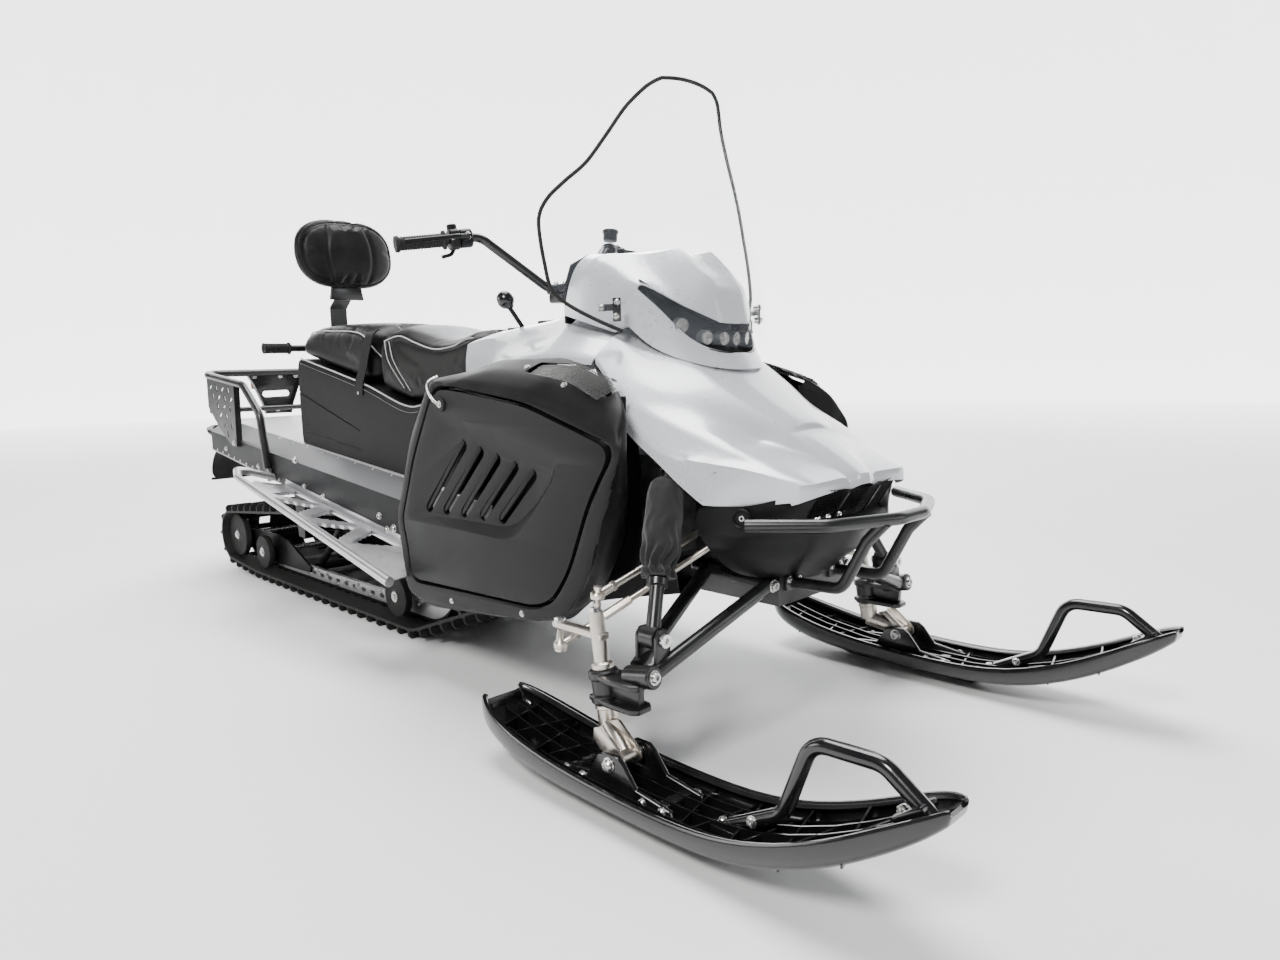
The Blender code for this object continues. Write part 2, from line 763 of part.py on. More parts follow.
def on_base(x):
    """The point where a cushion's underside lies on the seat base."""
    for (x1, z1), (x2, z2) in zip(BASE_TOP, BASE_TOP[1:]):
        if x <= x2:
            break
    return x, z1 + (z2 - z1) * (x - x1) / (x2 - x1) + SEAT_GAP


def add_seat():
    lift = TUNNEL_SHEET / 2 + SEAT_GAP
    front_x = BASE_TOP[-1][0]
    outline = [(-1.885, deck_z(-1.885) + lift), (front_x, deck_z(front_x) + lift)]
    base = side_slab(outline + list(BASE_TOP[::-1]), -SEAT_Y, SEAT_Y)
    place("seat_base", rounded(base, 0.012), "moulding_black")
    rear = [on_base(-1.868), on_base(-1.442), (-1.400, 0.735)]
    rear += [(-1.300, 0.905), (-1.420, 0.925), (-1.840, 0.925), (-1.895, 0.880)]
    front = [on_base(-1.392), on_base(-1.171), on_base(-1.010), on_base(front_x)]
    front += [(-0.885, 0.840), (-0.905, 0.872), (-1.090, 0.832), (-1.292, 0.885)]
    rear_pad = side_slab(rear, -CUSHION_Y, CUSHION_Y)
    place("seat_rear_cushion", rounded(rear_pad, 0.022, 2), "vinyl_black")
    front_pad = side_slab(front, -CUSHION_Y, CUSHION_Y)
    place("seat_front_cushion", rounded(front_pad, 0.022, 2), "vinyl_black")


# the backrest pad seen from behind
PAD_HALF_WIDTH = 0.182
PAD_HALF_HEIGHT = 0.127
PAD_MIDDLE_Z = 1.165


def add_backrest():
    outline = []
    for k in range(28):
        turn = math.tau * k / 28
        across = math.copysign(abs(math.cos(turn)) ** 0.55, math.cos(turn))
        rise = math.copysign(abs(math.sin(turn)) ** 0.55, math.sin(turn))
        outline.append((PAD_HALF_WIDTH * across, PAD_MIDDLE_Z + PAD_HALF_HEIGHT * rise))
    pad = cross_slab(outline, -1.925, -1.845)
    place("backrest_pad", rounded(pad, 0.026, 2), "vinyl_black")
    under_pad = PAD_MIDDLE_Z - PAD_HALF_HEIGHT - SEAT_GAP
    outline = [(-1.960, 0.990), (-1.890, under_pad), (-1.884, under_pad)]
    outline += [(-1.9535, 0.985), (-1.9535, 0.535), (-1.960, 0.535)]
    post = side_slab(outline, -0.030, 0.030)
    lift = TUNNEL_SHEET / 2 + SEAT_GAP
    low = deck_z(-2.000) + lift
    high = deck_z(-1.900) + lift
    foot = side_slab([(-2.000, low), (-1.900, high), (-1.900, high + 0.008), (-2.000, low + 0.008)], -0.045, 0.045)
    place("backrest_post", fused([post, foot]), "tube_black")
    handle_x = -1.960 - 0.0115 - SEAT_GAP
    pieces = [rod((handle_x, -0.200, 0.848), (handle_x, 0.200, 0.848), 0.0115)]
    for side in (-1, 1):
        pieces.append(rod((handle_x, side * 0.180, 0.848), (handle_x, side * 0.270, 0.848), GRIP_R, 16))
    place("passenger_handle", fused(pieces), "rubber_black")


# Body panels


# the hood by stations from the screen to the front, each from the lower edge to the middle:
# edge, flange crease, lower crease, valley, scoop line, inner crease, middle
HOOD_STATIONS = (
    ((-0.300, 0.262, 0.772), (-0.308, 0.258, 0.786), (-0.308, 0.240, 0.803), (-0.303, 0.200, 0.833),
     (-0.300, 0.120, 0.860), (-0.300, 0.050, 0.868), (-0.300, 0, 0.870)),
    ((-0.236, 0.274, 0.722), (-0.238, 0.270, 0.730), (-0.240, 0.255, 0.742), (-0.235, 0.210, 0.768),
     (-0.222, 0.124, 0.804), (-0.225, 0.050, 0.820), (-0.225, 0, 0.822)),
    ((-0.231, 0.289, 0.688), (-0.214, 0.286, 0.688), (-0.190, 0.276, 0.690), (-0.170, 0.220, 0.726),
     (-0.124, 0.124, 0.740), (-0.130, 0.050, 0.760), (-0.130, 0, 0.762)),
    ((-0.186, 0.294, 0.632), (-0.150, 0.289, 0.637), (-0.125, 0.258, 0.664), (-0.110, 0.196, 0.692),
     (-0.075, 0.112, 0.710), (-0.085, 0.047, 0.726), (-0.085, 0, 0.728)),
    ((-0.118, 0.300, 0.594), (-0.085, 0.292, 0.602), (-0.034, 0.228, 0.634), (-0.050, 0.160, 0.657),
     (-0.012, 0.096, 0.671), (-0.020, 0.040, 0.686), (-0.020, 0, 0.688)),
    ((-0.050, 0.288, 0.545), (-0.020, 0.267, 0.588), (0.030, 0.206, 0.604), (0.010, 0.122, 0.617),
     (0.046, 0.079, 0.633), (0.046, 0.034, 0.645), (0.046, 0, 0.648)),
    ((-0.004, 0.271, 0.506), (0.025, 0.244, 0.582), (0.070, 0.190, 0.585), (0.040, 0.105, 0.609),
     (0.058, 0.076, 0.624), (0.054, 0.034, 0.630), (0.054, 0, 0.632)),
    ((0.066, 0.222, 0.508), (0.085, 0.212, 0.571), (0.120, 0.177, 0.565), (0.100, 0.076, 0.586),
     (0.110, 0.058, 0.586), (0.110, 0.026, 0.596), (0.110, 0, 0.598)),
    ((0.135, 0.188, 0.516), (0.152, 0.184, 0.546), (0.167, 0.163, 0.548), (0.164, 0.060, 0.549),
     (0.166, 0.042, 0.545), (0.174, 0.020, 0.552), (0.176, 0, 0.553)),
)


def both_sides(half):
    """A full section from its left half, which runs from the outer edge to the middle."""
    return flipped(half) + list(reversed(half[:-1]))


def hood_rows():
    return [both_sides(list(half)) for half in HOOD_STATIONS]


def hood_strut(side):
    """Where the strut that holds the hood's side starts in the bulkhead, and the end of its bolt."""
    return Vector((-0.050, side * 0.100, 0.470)), Vector((0.009, side * 0.2514, 0.572))


def add_hood():
    shell = skin(hood_rows(), BODY_SHEET)
    holes = []
    for side in (-1, 1):
        start, end = hood_strut(side)
        holes.append(rod(start, end + (end - start) * 0.1, STRUT_R + SEAT_GAP))
    place("hood", carved(shell, holes), "body_white")


def screen_stud(side):
    """The stud on the pod's side that the screen is fastened to."""
    return Vector((-0.300, side * 0.185, 0.886)), Vector((-0.287, side * 0.266, 0.886))


# the pod by stations from the dash to the visor's lip: foot, side, shoulder, ridge, crown, middle
DASH_FRONT_X = POD_REAR_X + 0.009
POD_STATIONS = (
    ((POD_REAR_X, 0.215, 0.850), (POD_REAR_X, 0.209, 0.945), (POD_REAR_X, 0.190, 0.996),
     (POD_REAR_X, 0.140, 1.020), (POD_REAR_X, 0.080, 1.014), (POD_REAR_X, 0, 1.006)),
    ((DASH_FRONT_X, 0.215, 0.850), (DASH_FRONT_X, 0.209, 0.945), (DASH_FRONT_X, 0.190, 0.996),
     (DASH_FRONT_X, 0.140, 1.020), (DASH_FRONT_X, 0.080, 1.014), (DASH_FRONT_X, 0, 1.006)),
    ((-0.385, 0.214, 0.835), (-0.385, 0.207, 0.950), (-0.385, 0.191, 0.990),
     (-0.373, 0.160, 1.018), (-0.380, 0.080, 1.012), (-0.380, 0, 1.008)),
    ((-0.300, 0.206, 0.800), (-0.300, 0.190, 0.930), (-0.300, 0.180, 0.968),
     (-0.306, 0.120, 0.999), (-0.275, 0.075, 1.014), (-0.280, 0, 1.005)),
    ((-0.262, 0.188, 0.775), (-0.257, 0.176, 0.925), (-0.250, 0.160, 0.945),
     (-0.255, 0.100, 0.985), (-0.254, 0.056, 1.019), (-0.258, 0, 1.004)),
    ((-0.210, 0.145, 0.750), (-0.205, 0.124, 0.870), (-0.190, 0.110, 0.890),
     (-0.180, 0.075, 0.925), (-0.167, 0.053, 0.938), (-0.168, 0, 0.938)),
    ((-0.150, 0.095, 0.720), (-0.158, 0.070, 0.830), (-0.150, 0.062, 0.862),
     (-0.148, 0.056, 0.872), (-0.146, 0.040, 0.876), (-0.144, 0, 0.876)),
    ((-0.112, 0.045, 0.705), (-0.128, 0.040, 0.800), (-0.138, 0.036, 0.846),
     (-0.138, 0.026, 0.850), (-0.138, 0.014, 0.851), (-0.138, 0, 0.851)),
)
# the window over the headlamps from the side: under the visor, then back along its lower edge
POD_WINDOW = (
    (-0.259, 0.934), (-0.190, 0.886), (-0.143, 0.848), (-0.050, 0.848),
    (-0.050, 0.789), (-0.135, 0.791), (-0.178, 0.814), (-0.225, 0.882),
)


def add_headlight_pod():
    rows = [both_sides(list(half)) for half in POD_STATIONS]
    hood = hood_rows()
    behind = [(x - 0.0025, y, z) for x, y, z in hood[0]]
    cutter = volume_under([behind, *hood], 0.40, BODY_SHEET / 2 + 0.0015)
    window = side_slab(POD_WINDOW, -0.310, 0.313)
    chin = cross_slab([(-0.050, 0.70), (0.050, 0.70), (0.048, 0.788), (-0.048, 0.788)], -0.136, -0.124)
    pod = carved(carved(fused([skin(rows, BODY_SHEET), chin]), [window]), [cutter])
    studs = [rod(*screen_stud(side), STRUT_R) for side in (-1, 1)]
    place("headlight_pod", fused([pod, *studs]), "body_white")
    ring = [(y, z) for _, y, z in rows[0]]
    panel = cross_slab(offset_outline(ring, -BODY_SHEET / 2 - SEAT_GAP), POD_REAR_X, POD_REAR_X + 0.008)
    place("dash", panel, "moulding_black")


# the screen from the top down: the middle's (x, z), then the edge's (x, half width, z)
SCREEN_STATIONS = (
    ((-0.262, 1.370), (-0.270, 0.082, 1.363)),
    ((-0.254, 1.336), (-0.287, 0.122, 1.336)),
    ((-0.246, 1.299), (-0.307, 0.154, 1.299)),
    ((-0.236, 1.245), (-0.322, 0.192, 1.245)),
    ((-0.225, 1.184), (-0.338, 0.238, 1.184)),
    ((-0.206, 1.110), (-0.376, 0.312, 1.110)),
    ((-0.197, 1.075), (-0.383, 0.330, 1.075)),
    ((-0.184, 1.034), (-0.378, 0.335, 1.034)),
    ((-0.146, 0.926), (-0.358, 0.326, 0.926)),
    ((-0.130, 0.884), (-0.342, 0.300, 0.896)),
    ((-0.110, 0.838), (-0.306, 0.256, 0.864)),
    ((-0.092, 0.800), (-0.268, 0.214, 0.838)),
)


def add_windshield():
    rows = []
    for (middle_x, middle_z), (edge_x, half, edge_z) in SCREEN_STATIONS:
        row = []
        for k in range(-6, 7):
            across = k / 6
            bend = abs(across) ** 2.1
            x = middle_x + (edge_x - middle_x) * bend
            row.append((x, half * across, middle_z + (edge_z - middle_z) * bend))
        rows.append(row)
    holes = [rod(*screen_stud(side), STRUT_R + SEAT_GAP) for side in (-1, 1)]
    place("windshield", carved(skin(rows, SCREEN_THICK), holes), "clear_sheet")


LEVER_WELL = ((-0.760, -0.140), (-0.670, -0.095))


def add_console():
    # x, then the half section's (y, z) at lower edge, shoulder, brow and middle
    table = (
        (-0.880, (0.188, 0.748), (0.182, 0.802), (0.150, 0.837), (0, 0.851)),
        (-0.750, (0.200, 0.790), (0.190, 0.842), (0.140, 0.862), (0, 0.868)),
        (-0.600, (0.215, 0.805), (0.195, 0.862), (0.130, 0.884), (0, 0.890)),
        (POD_REAR_X - 0.0012, (0.212, 0.840), (0.202, 0.900), (0.120, 0.918), (0, 0.928)),
    )
    rows = [mirrored_row(x, half) for x, *half in table]
    shell = skin(rows, BODY_SHEET)
    post_well = level_slab([(-0.76, -0.065), (-0.54, -0.065), (-0.54, 0.065), (-0.76, 0.065)], 0.70, 1.0)
    low, high = LEVER_WELL
    lever_well = block((*low, 0.70), (*high, 1.0))
    place("console", carved(shell, [post_well, lever_well]), "body_white")


DOOR_OUTLINE = (
    (-0.727, 0.724),
    (-0.627, 0.717),
    (-0.387, 0.688),
    (-0.127, 0.613),
    (-0.199, 0.510),
    (-0.267, 0.359),
    (-0.322, 0.292),
    (-0.382, 0.270),
    (-0.558, 0.263),
    (-0.874, 0.251),
    (-0.883, 0.340),
    (-0.901, 0.397),
    (-0.826, 0.565),
)
FACE_OUTLINE = (
    (-0.748, 0.742),
    (-0.627, 0.733),
    (-0.387, 0.704),
    (-0.098, 0.622),
    (-0.150, 0.505),
    (-0.215, 0.345),
    (-0.285, 0.262),
    (-0.382, 0.235),
    (-0.558, 0.222),
    (-0.902, 0.208),
    (-0.925, 0.340),
    (-0.935, 0.400),
    (-0.850, 0.590),
)
MID_OUTLINE = (
    (-0.800, 0.745),
    (-0.560, 0.768),
    (-0.340, 0.752),
    (-0.130, 0.690),
    (-0.135, 0.520),
    (-0.195, 0.400),
    (-0.262, 0.285),
    (-0.382, 0.225),
    (-0.558, 0.200),
    (-0.860, 0.170),
    (-0.955, 0.300),
    (-0.960, 0.420),
    (-0.900, 0.610),
)
RIM_OUTLINE = (
    (-0.840, 0.740),
    (-0.600, 0.786),
    (-0.380, 0.786),
    (-0.190, 0.735),
    (-0.172, 0.530),
    (-0.210, 0.410),
    (-0.275, 0.300),
    (-0.382, 0.215),
    (-0.558, 0.185),
    (-0.860, 0.150),
    (-0.962, 0.290),
    (-0.965, 0.425),
    (-0.915, 0.615),
)


def offset_outline(outline, distance):
    """The outline moved out by a distance, each side kept parallel."""
    points = [Vector(p) for p in outline]
    count = len(points)
    area = sum(points[i - 1].cross(points[i]) for i in range(count))
    sign = 1 if area > 0 else -1
    moved = []
    for i, p in enumerate(points):
        before = (p - points[i - 1]).normalized()
        after = (points[(i + 1) % count] - p).normalized()
        n1 = Vector((before.y, -before.x)) * sign
        n2 = Vector((after.y, -after.x)) * sign
        middle = (n1 + n2).normalized()
        moved.append(tuple(p + middle * distance / max(0.5, middle.dot(n1))))
    return moved


# the grille's opening above the door, and the hollow round the door's slots, as (x, z)
COVER_VENT = (
    (-0.436, 0.760), (-0.428, 0.777), (-0.330, 0.768), (-0.258, 0.747),
    (-0.222, 0.722), (-0.235, 0.708), (-0.275, 0.712), (-0.340, 0.745),
)
DOOR_RECESS = (
    (-0.708, 0.655), (-0.500, 0.632), (-0.302, 0.588), (-0.304, 0.548),
    (-0.360, 0.484), (-0.446, 0.416), (-0.862, 0.412), (-0.838, 0.499),
)
RECESS_DEPTH = 0.0035


def door_slots():
    # upper end and lower end of each vent slot on the door, as (x, z)
    slots = []
    for k in range(5):
        top = Vector((-0.621 + 0.0605 * k, 0.608 - 0.0128 * k))
        low = Vector((-0.793 + 0.0708 * k, 0.425 + 0.0008 * k))
        along = (top - low).normalized()
        across = Vector((along.y, -along.x)) * 0.013
        slots.append([tuple(low - across), tuple(low + across), tuple(top + across), tuple(top - across)])
    return slots


def rim_half(x):
    """How far out the cover's inner rim runs: at the tunnel behind, clear of the hood's edge in front."""
    if x < -0.70:
        return TUNNEL_Y + TUNNEL_SHEET / 2 + 0.0012
    return 0.285 if x < -0.20 else 0.302


def add_side_covers():
    for label, side in SIDES:
        rows = []
        for outline, y in ((RIM_OUTLINE, 0), (MID_OUTLINE, 0.340), (FACE_OUTLINE, COVER_Y - 0.006)):
            rows.append([(x, side * y, z) for x, z in outline])
        rows[0] = [(x, side * rim_half(x), z) for x, _, z in rows[0]]
        shell = skin(rows, BODY_SHEET, closed=True, cap_last=True)
        stop_y = COVER_Y - DOOR_THICK - SEAT_GAP
        lip = side_slab(offset_outline(DOOR_OUTLINE, DOOR_GAP + 0.006), *span(side, stop_y - 0.004, COVER_Y - 0.0075))
        inside = side_slab(offset_outline(DOOR_OUTLINE, -0.012), *span(side, 0.34, 0.42))
        y_low, y_high = span(side, 0.34, 0.42)
        ahead = block((-0.500, y_low, 0.15), (0.0, y_high, 0.85))
        opening = side_slab(offset_outline(DOOR_OUTLINE, DOOR_GAP), *span(side, stop_y, 0.42))
        lip = carved(lip, [inside, ahead])
        vent = side_slab(COVER_VENT, *span(side, 0.22, 0.42))
        place("side_cover_" + label, carved(fused([shell, lip]), [opening, vent]), "moulding_black")
        door = side_slab(DOOR_OUTLINE, *span(side, COVER_Y, COVER_Y - DOOR_THICK), door_slots())
        hollow = side_slab(DOOR_RECESS, *span(side, COVER_Y - RECESS_DEPTH, COVER_Y + 0.01))
        place("side_door_" + label, carved(door, [hollow]), "moulding_black", "door_" + label)


# cross mounts under the engine: x, half width, lower end of the bolt that holds the belly pan
PAN_BOLTS = ((-0.250, 0.140, 0.255), (-0.500, 0.205, 0.205))


def add_belly_pan():
    # x, then the half section's (y, z) at rim, side and keel
    table = (
        (-0.620, (0.262, 0.330), (0.262, 0.205), (0, 0.200)),
        (-0.480, (0.262, 0.330), (0.262, 0.225), (0, 0.215)),
        (-0.300, (0.200, 0.345), (0.180, 0.262), (0, 0.250)),
        (-0.180, (0.160, 0.350), (0.150, 0.285), (0, 0.280)),
    )
    rows = [mirrored_row(x, half) for x, *half in table]
    holes = [rod((x, 0, bolt_z - 0.01), (x, 0, 0.30), STRUT_R + SEAT_GAP) for x, _, bolt_z in PAN_BOLTS]
    place("belly_pan", carved(skin(rows, BODY_SHEET), holes), "moulding_black")


def add_bulkhead():
    """The frame in front of the tunnel that carries the engine, the A-arms, the shocks and the steering post."""
    core = block((-0.160, -BULKHEAD_Y, 0.290), (-0.030, BULKHEAD_Y, 0.500))
    toe = block((-0.040, -BULKHEAD_Y, 0.290), (BULKHEAD_FRONT_X, BULKHEAD_Y, 0.350))
    tower = rod((SHOCK_TOP_X, -TOWER_HALF, TOWER_Z), (SHOCK_TOP_X, TOWER_HALF, TOWER_Z), TOWER_R)
    stay = block((-0.120, -0.050, 0.480), (-0.070, 0.050, TOWER_Z + 0.010))
    pieces = [core, toe, tower, stay]
    post = post_point(POST_LENGTH - 0.10)
    flange = TUNNEL_Y - TUNNEL_SHEET / 2 - SEAT_GAP
    for side in (-1, 1):
        pieces.append(rod((-0.100, side * 0.080, 0.330), (-0.635, side * 0.245, 0.300), 0.016))
        y_low, y_high = span(side, flange - 0.004, flange)
        pieces.append(block((-0.700, y_low, 0.280), (-0.625, y_high, 0.325)))
        pieces.append(rod(*hood_strut(side), STRUT_R))
        pieces.append(rod((-0.095, side * 0.060, 0.590), (post.x, side * 0.120, post.z), 0.013))
    for x, half, bolt_z in PAN_BOLTS:
        pieces.append(block((x - 0.015, -half, 0.300), (x + 0.015, half, ENGINE_LOW_Z - SEAT_GAP)))
        pieces.append(rod((x, 0, bolt_z), (x, 0, 0.310), STRUT_R))
    pieces.append(rod((post.x, -0.135, post.z), (post.x, 0.135, post.z), 0.012))
    pieces.append(rod(post_point(POST_LENGTH - 0.13), post_point(POST_LENGTH - 0.07), POST_R + 0.010, 16))
    frame = fused(pieces)
    bore = rod(post_point(POST_LENGTH - 0.20), post_point(POST_LENGTH + 0.10), POST_R + 0.0008, 16)
    place("bulkhead", carved(frame, [bore]), "tube_black")


def add_engine():
    engine = block((-0.560, -0.165, ENGINE_LOW_Z), (-0.200, 0.165, 0.575))
    place("engine_block", rounded(engine, 0.015), "engine_grey")


def add_nose():
    # x, then the half section's (y, z) at upper edge, side, lower corner and keel
    table = (
        (-0.020, (0.262, 0.500), (0.268, 0.430), (0.200, 0.368), (0, 0.3525)),
        (0.085, (0.240, 0.504), (0.245, 0.440), (0.180, 0.370), (0, 0.3525)),
        (0.140, (0.182, 0.512), (0.190, 0.450), (0.140, 0.392), (0, 0.380)),
        (0.165, (0.150, 0.514), (0.150, 0.460), (0.110, 0.425), (0, 0.419)),
        (0.174, (0.138, 0.512), (0.138, 0.468), (0.104, 0.440), (0, 0.436)),
    )
    rows = [mirrored_row(x, half) for x, *half in table]
    place("nose", skin(rows, BODY_SHEET), "moulding_black")


def add_front_bumper():
    half = [(0.092, -0.266, 0.478), (0.215, -0.180, 0.480), (0.274, -0.045, 0.481)]
    hoop = tube(half + flipped(half)[::-1], BUMPER_R, 0.06)
    legs = []
    for side in (-1, 1):
        y = side * 0.075
        foot_x = BULKHEAD_FRONT_X + SEAT_GAP
        path = [(0.262, y, 0.479), (0.222, y, 0.438), (0.166, y, 0.332), (foot_x, y, 0.330)]
        legs.append(tube(path, 0.012, 0.05))
    place("front_bumper", fused([hoop, *legs]), "tube_black")


# Controls


def add_handlebar():
    right = [(-0.842, -0.395, 1.061), (-0.775, -0.205, 1.086), (-0.692, -0.060, 0.960), (STEER_X, 0, STEER_Z)]
    path = right[:-1] + flipped(right[:-1])[::-1]
    bar = tube(path, BAR_R, 0.05)
    post = rod(post_point(-0.018), post_point(POST_LENGTH), POST_R)
    clamp = rounded(block((STEER_X - 0.03, -0.045, STEER_Z - 0.018), (STEER_X + 0.03, 0.045, STEER_Z + 0.030)), 0.006)
    place("handlebar", fused([bar, post, clamp]), "tube_black", "steering")
    grip_in = Vector((-0.7935, -0.2575, 1.0790))
    for label, side in SIDES:
        start = Vector((-0.842, -0.395, 1.061))
        heading = (grip_in - start).normalized()
        outer = start - heading * 0.003
        inner = start + heading * 0.120
        pair = sided([tuple(outer), tuple(inner)], side)
        grip = rod(pair[0], pair[1], GRIP_R, 16)
        bore = rod(
            sided([tuple(start - heading * 0.0003)], side)[0],
            sided([tuple(start + heading * 0.20)], side)[0],
            BAR_R + SEAT_GAP,
            16,
        )
        place("grip_" + label, carved(grip, [bore]), "rubber_black", "steering")
        lever_at = start + heading * 0.128
        end_at = start + heading * 0.180
        hold = sided([tuple(lever_at), tuple(end_at)], side)
        control = rod(hold[0], hold[1], 0.021, 12)
        bore = rod(
            sided([tuple(start)], side)[0],
            sided([tuple(start + heading * 0.23)], side)[0],
            BAR_R + SEAT_GAP,
            16,
        )
        forward = Vector((0.5, 0, -0.35)).normalized() * 0.045
        reach = [lever_at + heading * 0.02, lever_at + forward, start + heading * 0.05 + forward * 1.1]
        lever = tube(sided([tuple(p) for p in reach], side), 0.005, 0.02)
        place("control_" + label, carved(fused([control, lever]), [bore]), "moulding_black", "steering")


def add_gear_lever():
    stem = tube([(-0.700, -0.120, 0.800), (-0.700, -0.120, 0.840), (-0.748, -0.150, 0.925)], 0.006, 0.03)
    knob = turned([(0, 0.022), (0.014, 0.019), (0.021, 0.008), (0.021, -0.006), (0.012, -0.020), (0, -0.022)], (-0.752, -0.152, 0.935), (-0.48, -0.3, 0.85), 16)
    low, high = LEVER_WELL
    base = block((low[0] + SEAT_GAP, low[1] + SEAT_GAP, 0.780), (high[0] - SEAT_GAP, high[1] - SEAT_GAP, 0.868))
    place("gear_lever", fused([stem, knob, base]), "moulding_black")


# Front suspension and skis


def add_suspension():
    for label, side in SIDES:
        y = KINGPIN_Y
        arm_front = rod(*sided([(0.012, -0.440, 0.222), (0.040, -0.126, 0.335)], side), ARM_TUBE_R)
        arm_rear = rod(*sided([(-0.030, -0.425, 0.230), (-0.120, -0.126, 0.345)], side), ARM_TUBE_R)
        pivot_y = -BULKHEAD_Y - 0.0133
        pivot_bar = rod(*sided([(-0.150, pivot_y, 0.3465), (0.052, pivot_y, 0.334)], side), 0.013)
        knuckle_low = Vector((kingpin_at(KINGPIN_Z) - 0.034, side * y - 0.030, KINGPIN_Z - KNUCKLE_HEIGHT / 2))
        knuckle_high = Vector((kingpin_at(KINGPIN_Z) + 0.100, side * y + 0.030, KINGPIN_Z + KNUCKLE_HEIGHT / 2))
        knuckle = rounded(block(knuckle_low, knuckle_high), 0.008)
        ear = rod(*sided([(-0.034, -0.442, 0.215), (0.030, -0.442, 0.228)], side), 0.021)
        shock_mount = block(
            Vector((-0.030, side * 0.405 - 0.020, 0.225)), Vector((0.010, side * 0.405 + 0.020, 0.262))
        )
        bore_low = Vector((kingpin_at(KINGPIN_Z - 0.06), side * y, KINGPIN_Z - 0.06))
        bore_high = Vector((kingpin_at(KINGPIN_Z + 0.10), side * y, KINGPIN_Z + 0.10))
        bore = rod(bore_low, bore_high, SPINDLE_R + 0.0008, 16)
        arm = carved(fused([knuckle, ear, arm_front, arm_rear, pivot_bar, shock_mount]), [bore])
        place("a_arm_" + label, arm, "tube_black")

        eye_low = Vector((-0.010, side * 0.405, 0.2835))
        eye_high = Vector((SHOCK_TOP_X, side * (TOWER_HALF - 0.012), 0.555))
        heading = (eye_high - eye_low).normalized()
        eye = rod(eye_low - Vector((0.018, 0, 0)), eye_low + Vector((0.018, 0, 0)), 0.021)
        stem = rod(eye_low, eye_low + heading * 0.14, SHOCK_ROD_R)
        cover = rod(eye_low + heading * 0.115, eye_high - heading * 0.02, SHOCK_BODY_R, 16, 0.030)
        top_eye = rod(eye_high - heading * 0.04, eye_high + heading * 0.0085, 0.014)
        place("shock_" + label, fused([stem, eye, cover, top_eye]), "cloth_black")

        upper = rod(*sided([(-0.108, -0.446, 0.352), (-0.060, -BULKHEAD_Y - 0.0029, 0.468)], side), ROD_R)
        ball = rod(*sided([(-0.112, -0.450, 0.340), (-0.112, -0.450, 0.364)], side), 0.014)
        place("upper_link_" + label, fused([upper, ball]), "zinc")


def add_ski(label, side):
    body = "ski_" + label
    y = side * SKI_Y
    # x, sole height at the middle, height of the side wall's top, half width
    table = (
        (SKI_TAIL_X, 0.082, 0.118, 0.050),
        (-0.330, 0.062, 0.104, 0.072),
        (-0.230, 0.038, 0.082, SKI_WIDTH / 2),
        (-0.100, 0.030, 0.064, SKI_WIDTH / 2),
        (0.210, 0.030, 0.062, SKI_WIDTH / 2),
        (0.320, 0.044, 0.082, SKI_WIDTH / 2),
        (0.440, 0.090, 0.132, SKI_WIDTH / 2 * 0.97),
        (0.540, 0.152, 0.186, 0.066),
        (SKI_TIP_X, 0.196, 0.212, 0.030),
    )
    rows = []
    for x, sole, wall, half in table:
        rows.append(
            [
                (x, y - half, wall),
                (x, y - half * 0.93, sole + 0.004),
                (x, y - 0.030, sole),
                (x, y + 0.030, sole),
                (x, y + half * 0.93, sole + 0.004),
                (x, y + half, wall),
            ]
        )
    pan = skin(rows, SKI_SKIN)
    keel = side_slab(
        [(-0.300, 0.050), (-0.260, 0.022), (-0.150, 0.0), (0.180, 0.0), (0.300, 0.030), (0.330, 0.048)],
        y - 0.012,
        y + 0.012,
    )
    saddle = []
    for s in (-1, 1):
        inner = y + s * SADDLE_HALF
        outer = y + s * (SADDLE_HALF + 0.010)
        saddle.append(
            side_slab(
                [(-0.100, 0.031), (0.100, 0.031), (0.025, 0.104), (-0.020, 0.104)],
                min(inner, outer),
                max(inner, outer),
            )
        )
    ribs = []
    for x in (-0.26, -0.19, 0.16, 0.25, 0.34):
        sole = 0.034 if x < 0.22 else 0.034 + (x - 0.22) * 0.22
        ribs.append(block((x - 0.004, y - SKI_WIDTH / 2 + 0.006, sole - 0.002), (x + 0.004, y + SKI_WIDTH / 2 - 0.006, sole + 0.022)))
    loop = tube(
        [
            (0.235, y, 0.050),
            (0.335, y, 0.104),
            (0.385, y, 0.232),
            (0.500, y, 0.236),
            (0.572, y, 0.184),
        ],
        0.013,
        0.04,
    )
    place("ski_" + label, fused([pan, keel, *saddle, *ribs, loop]), "ski_black", body)
    return body


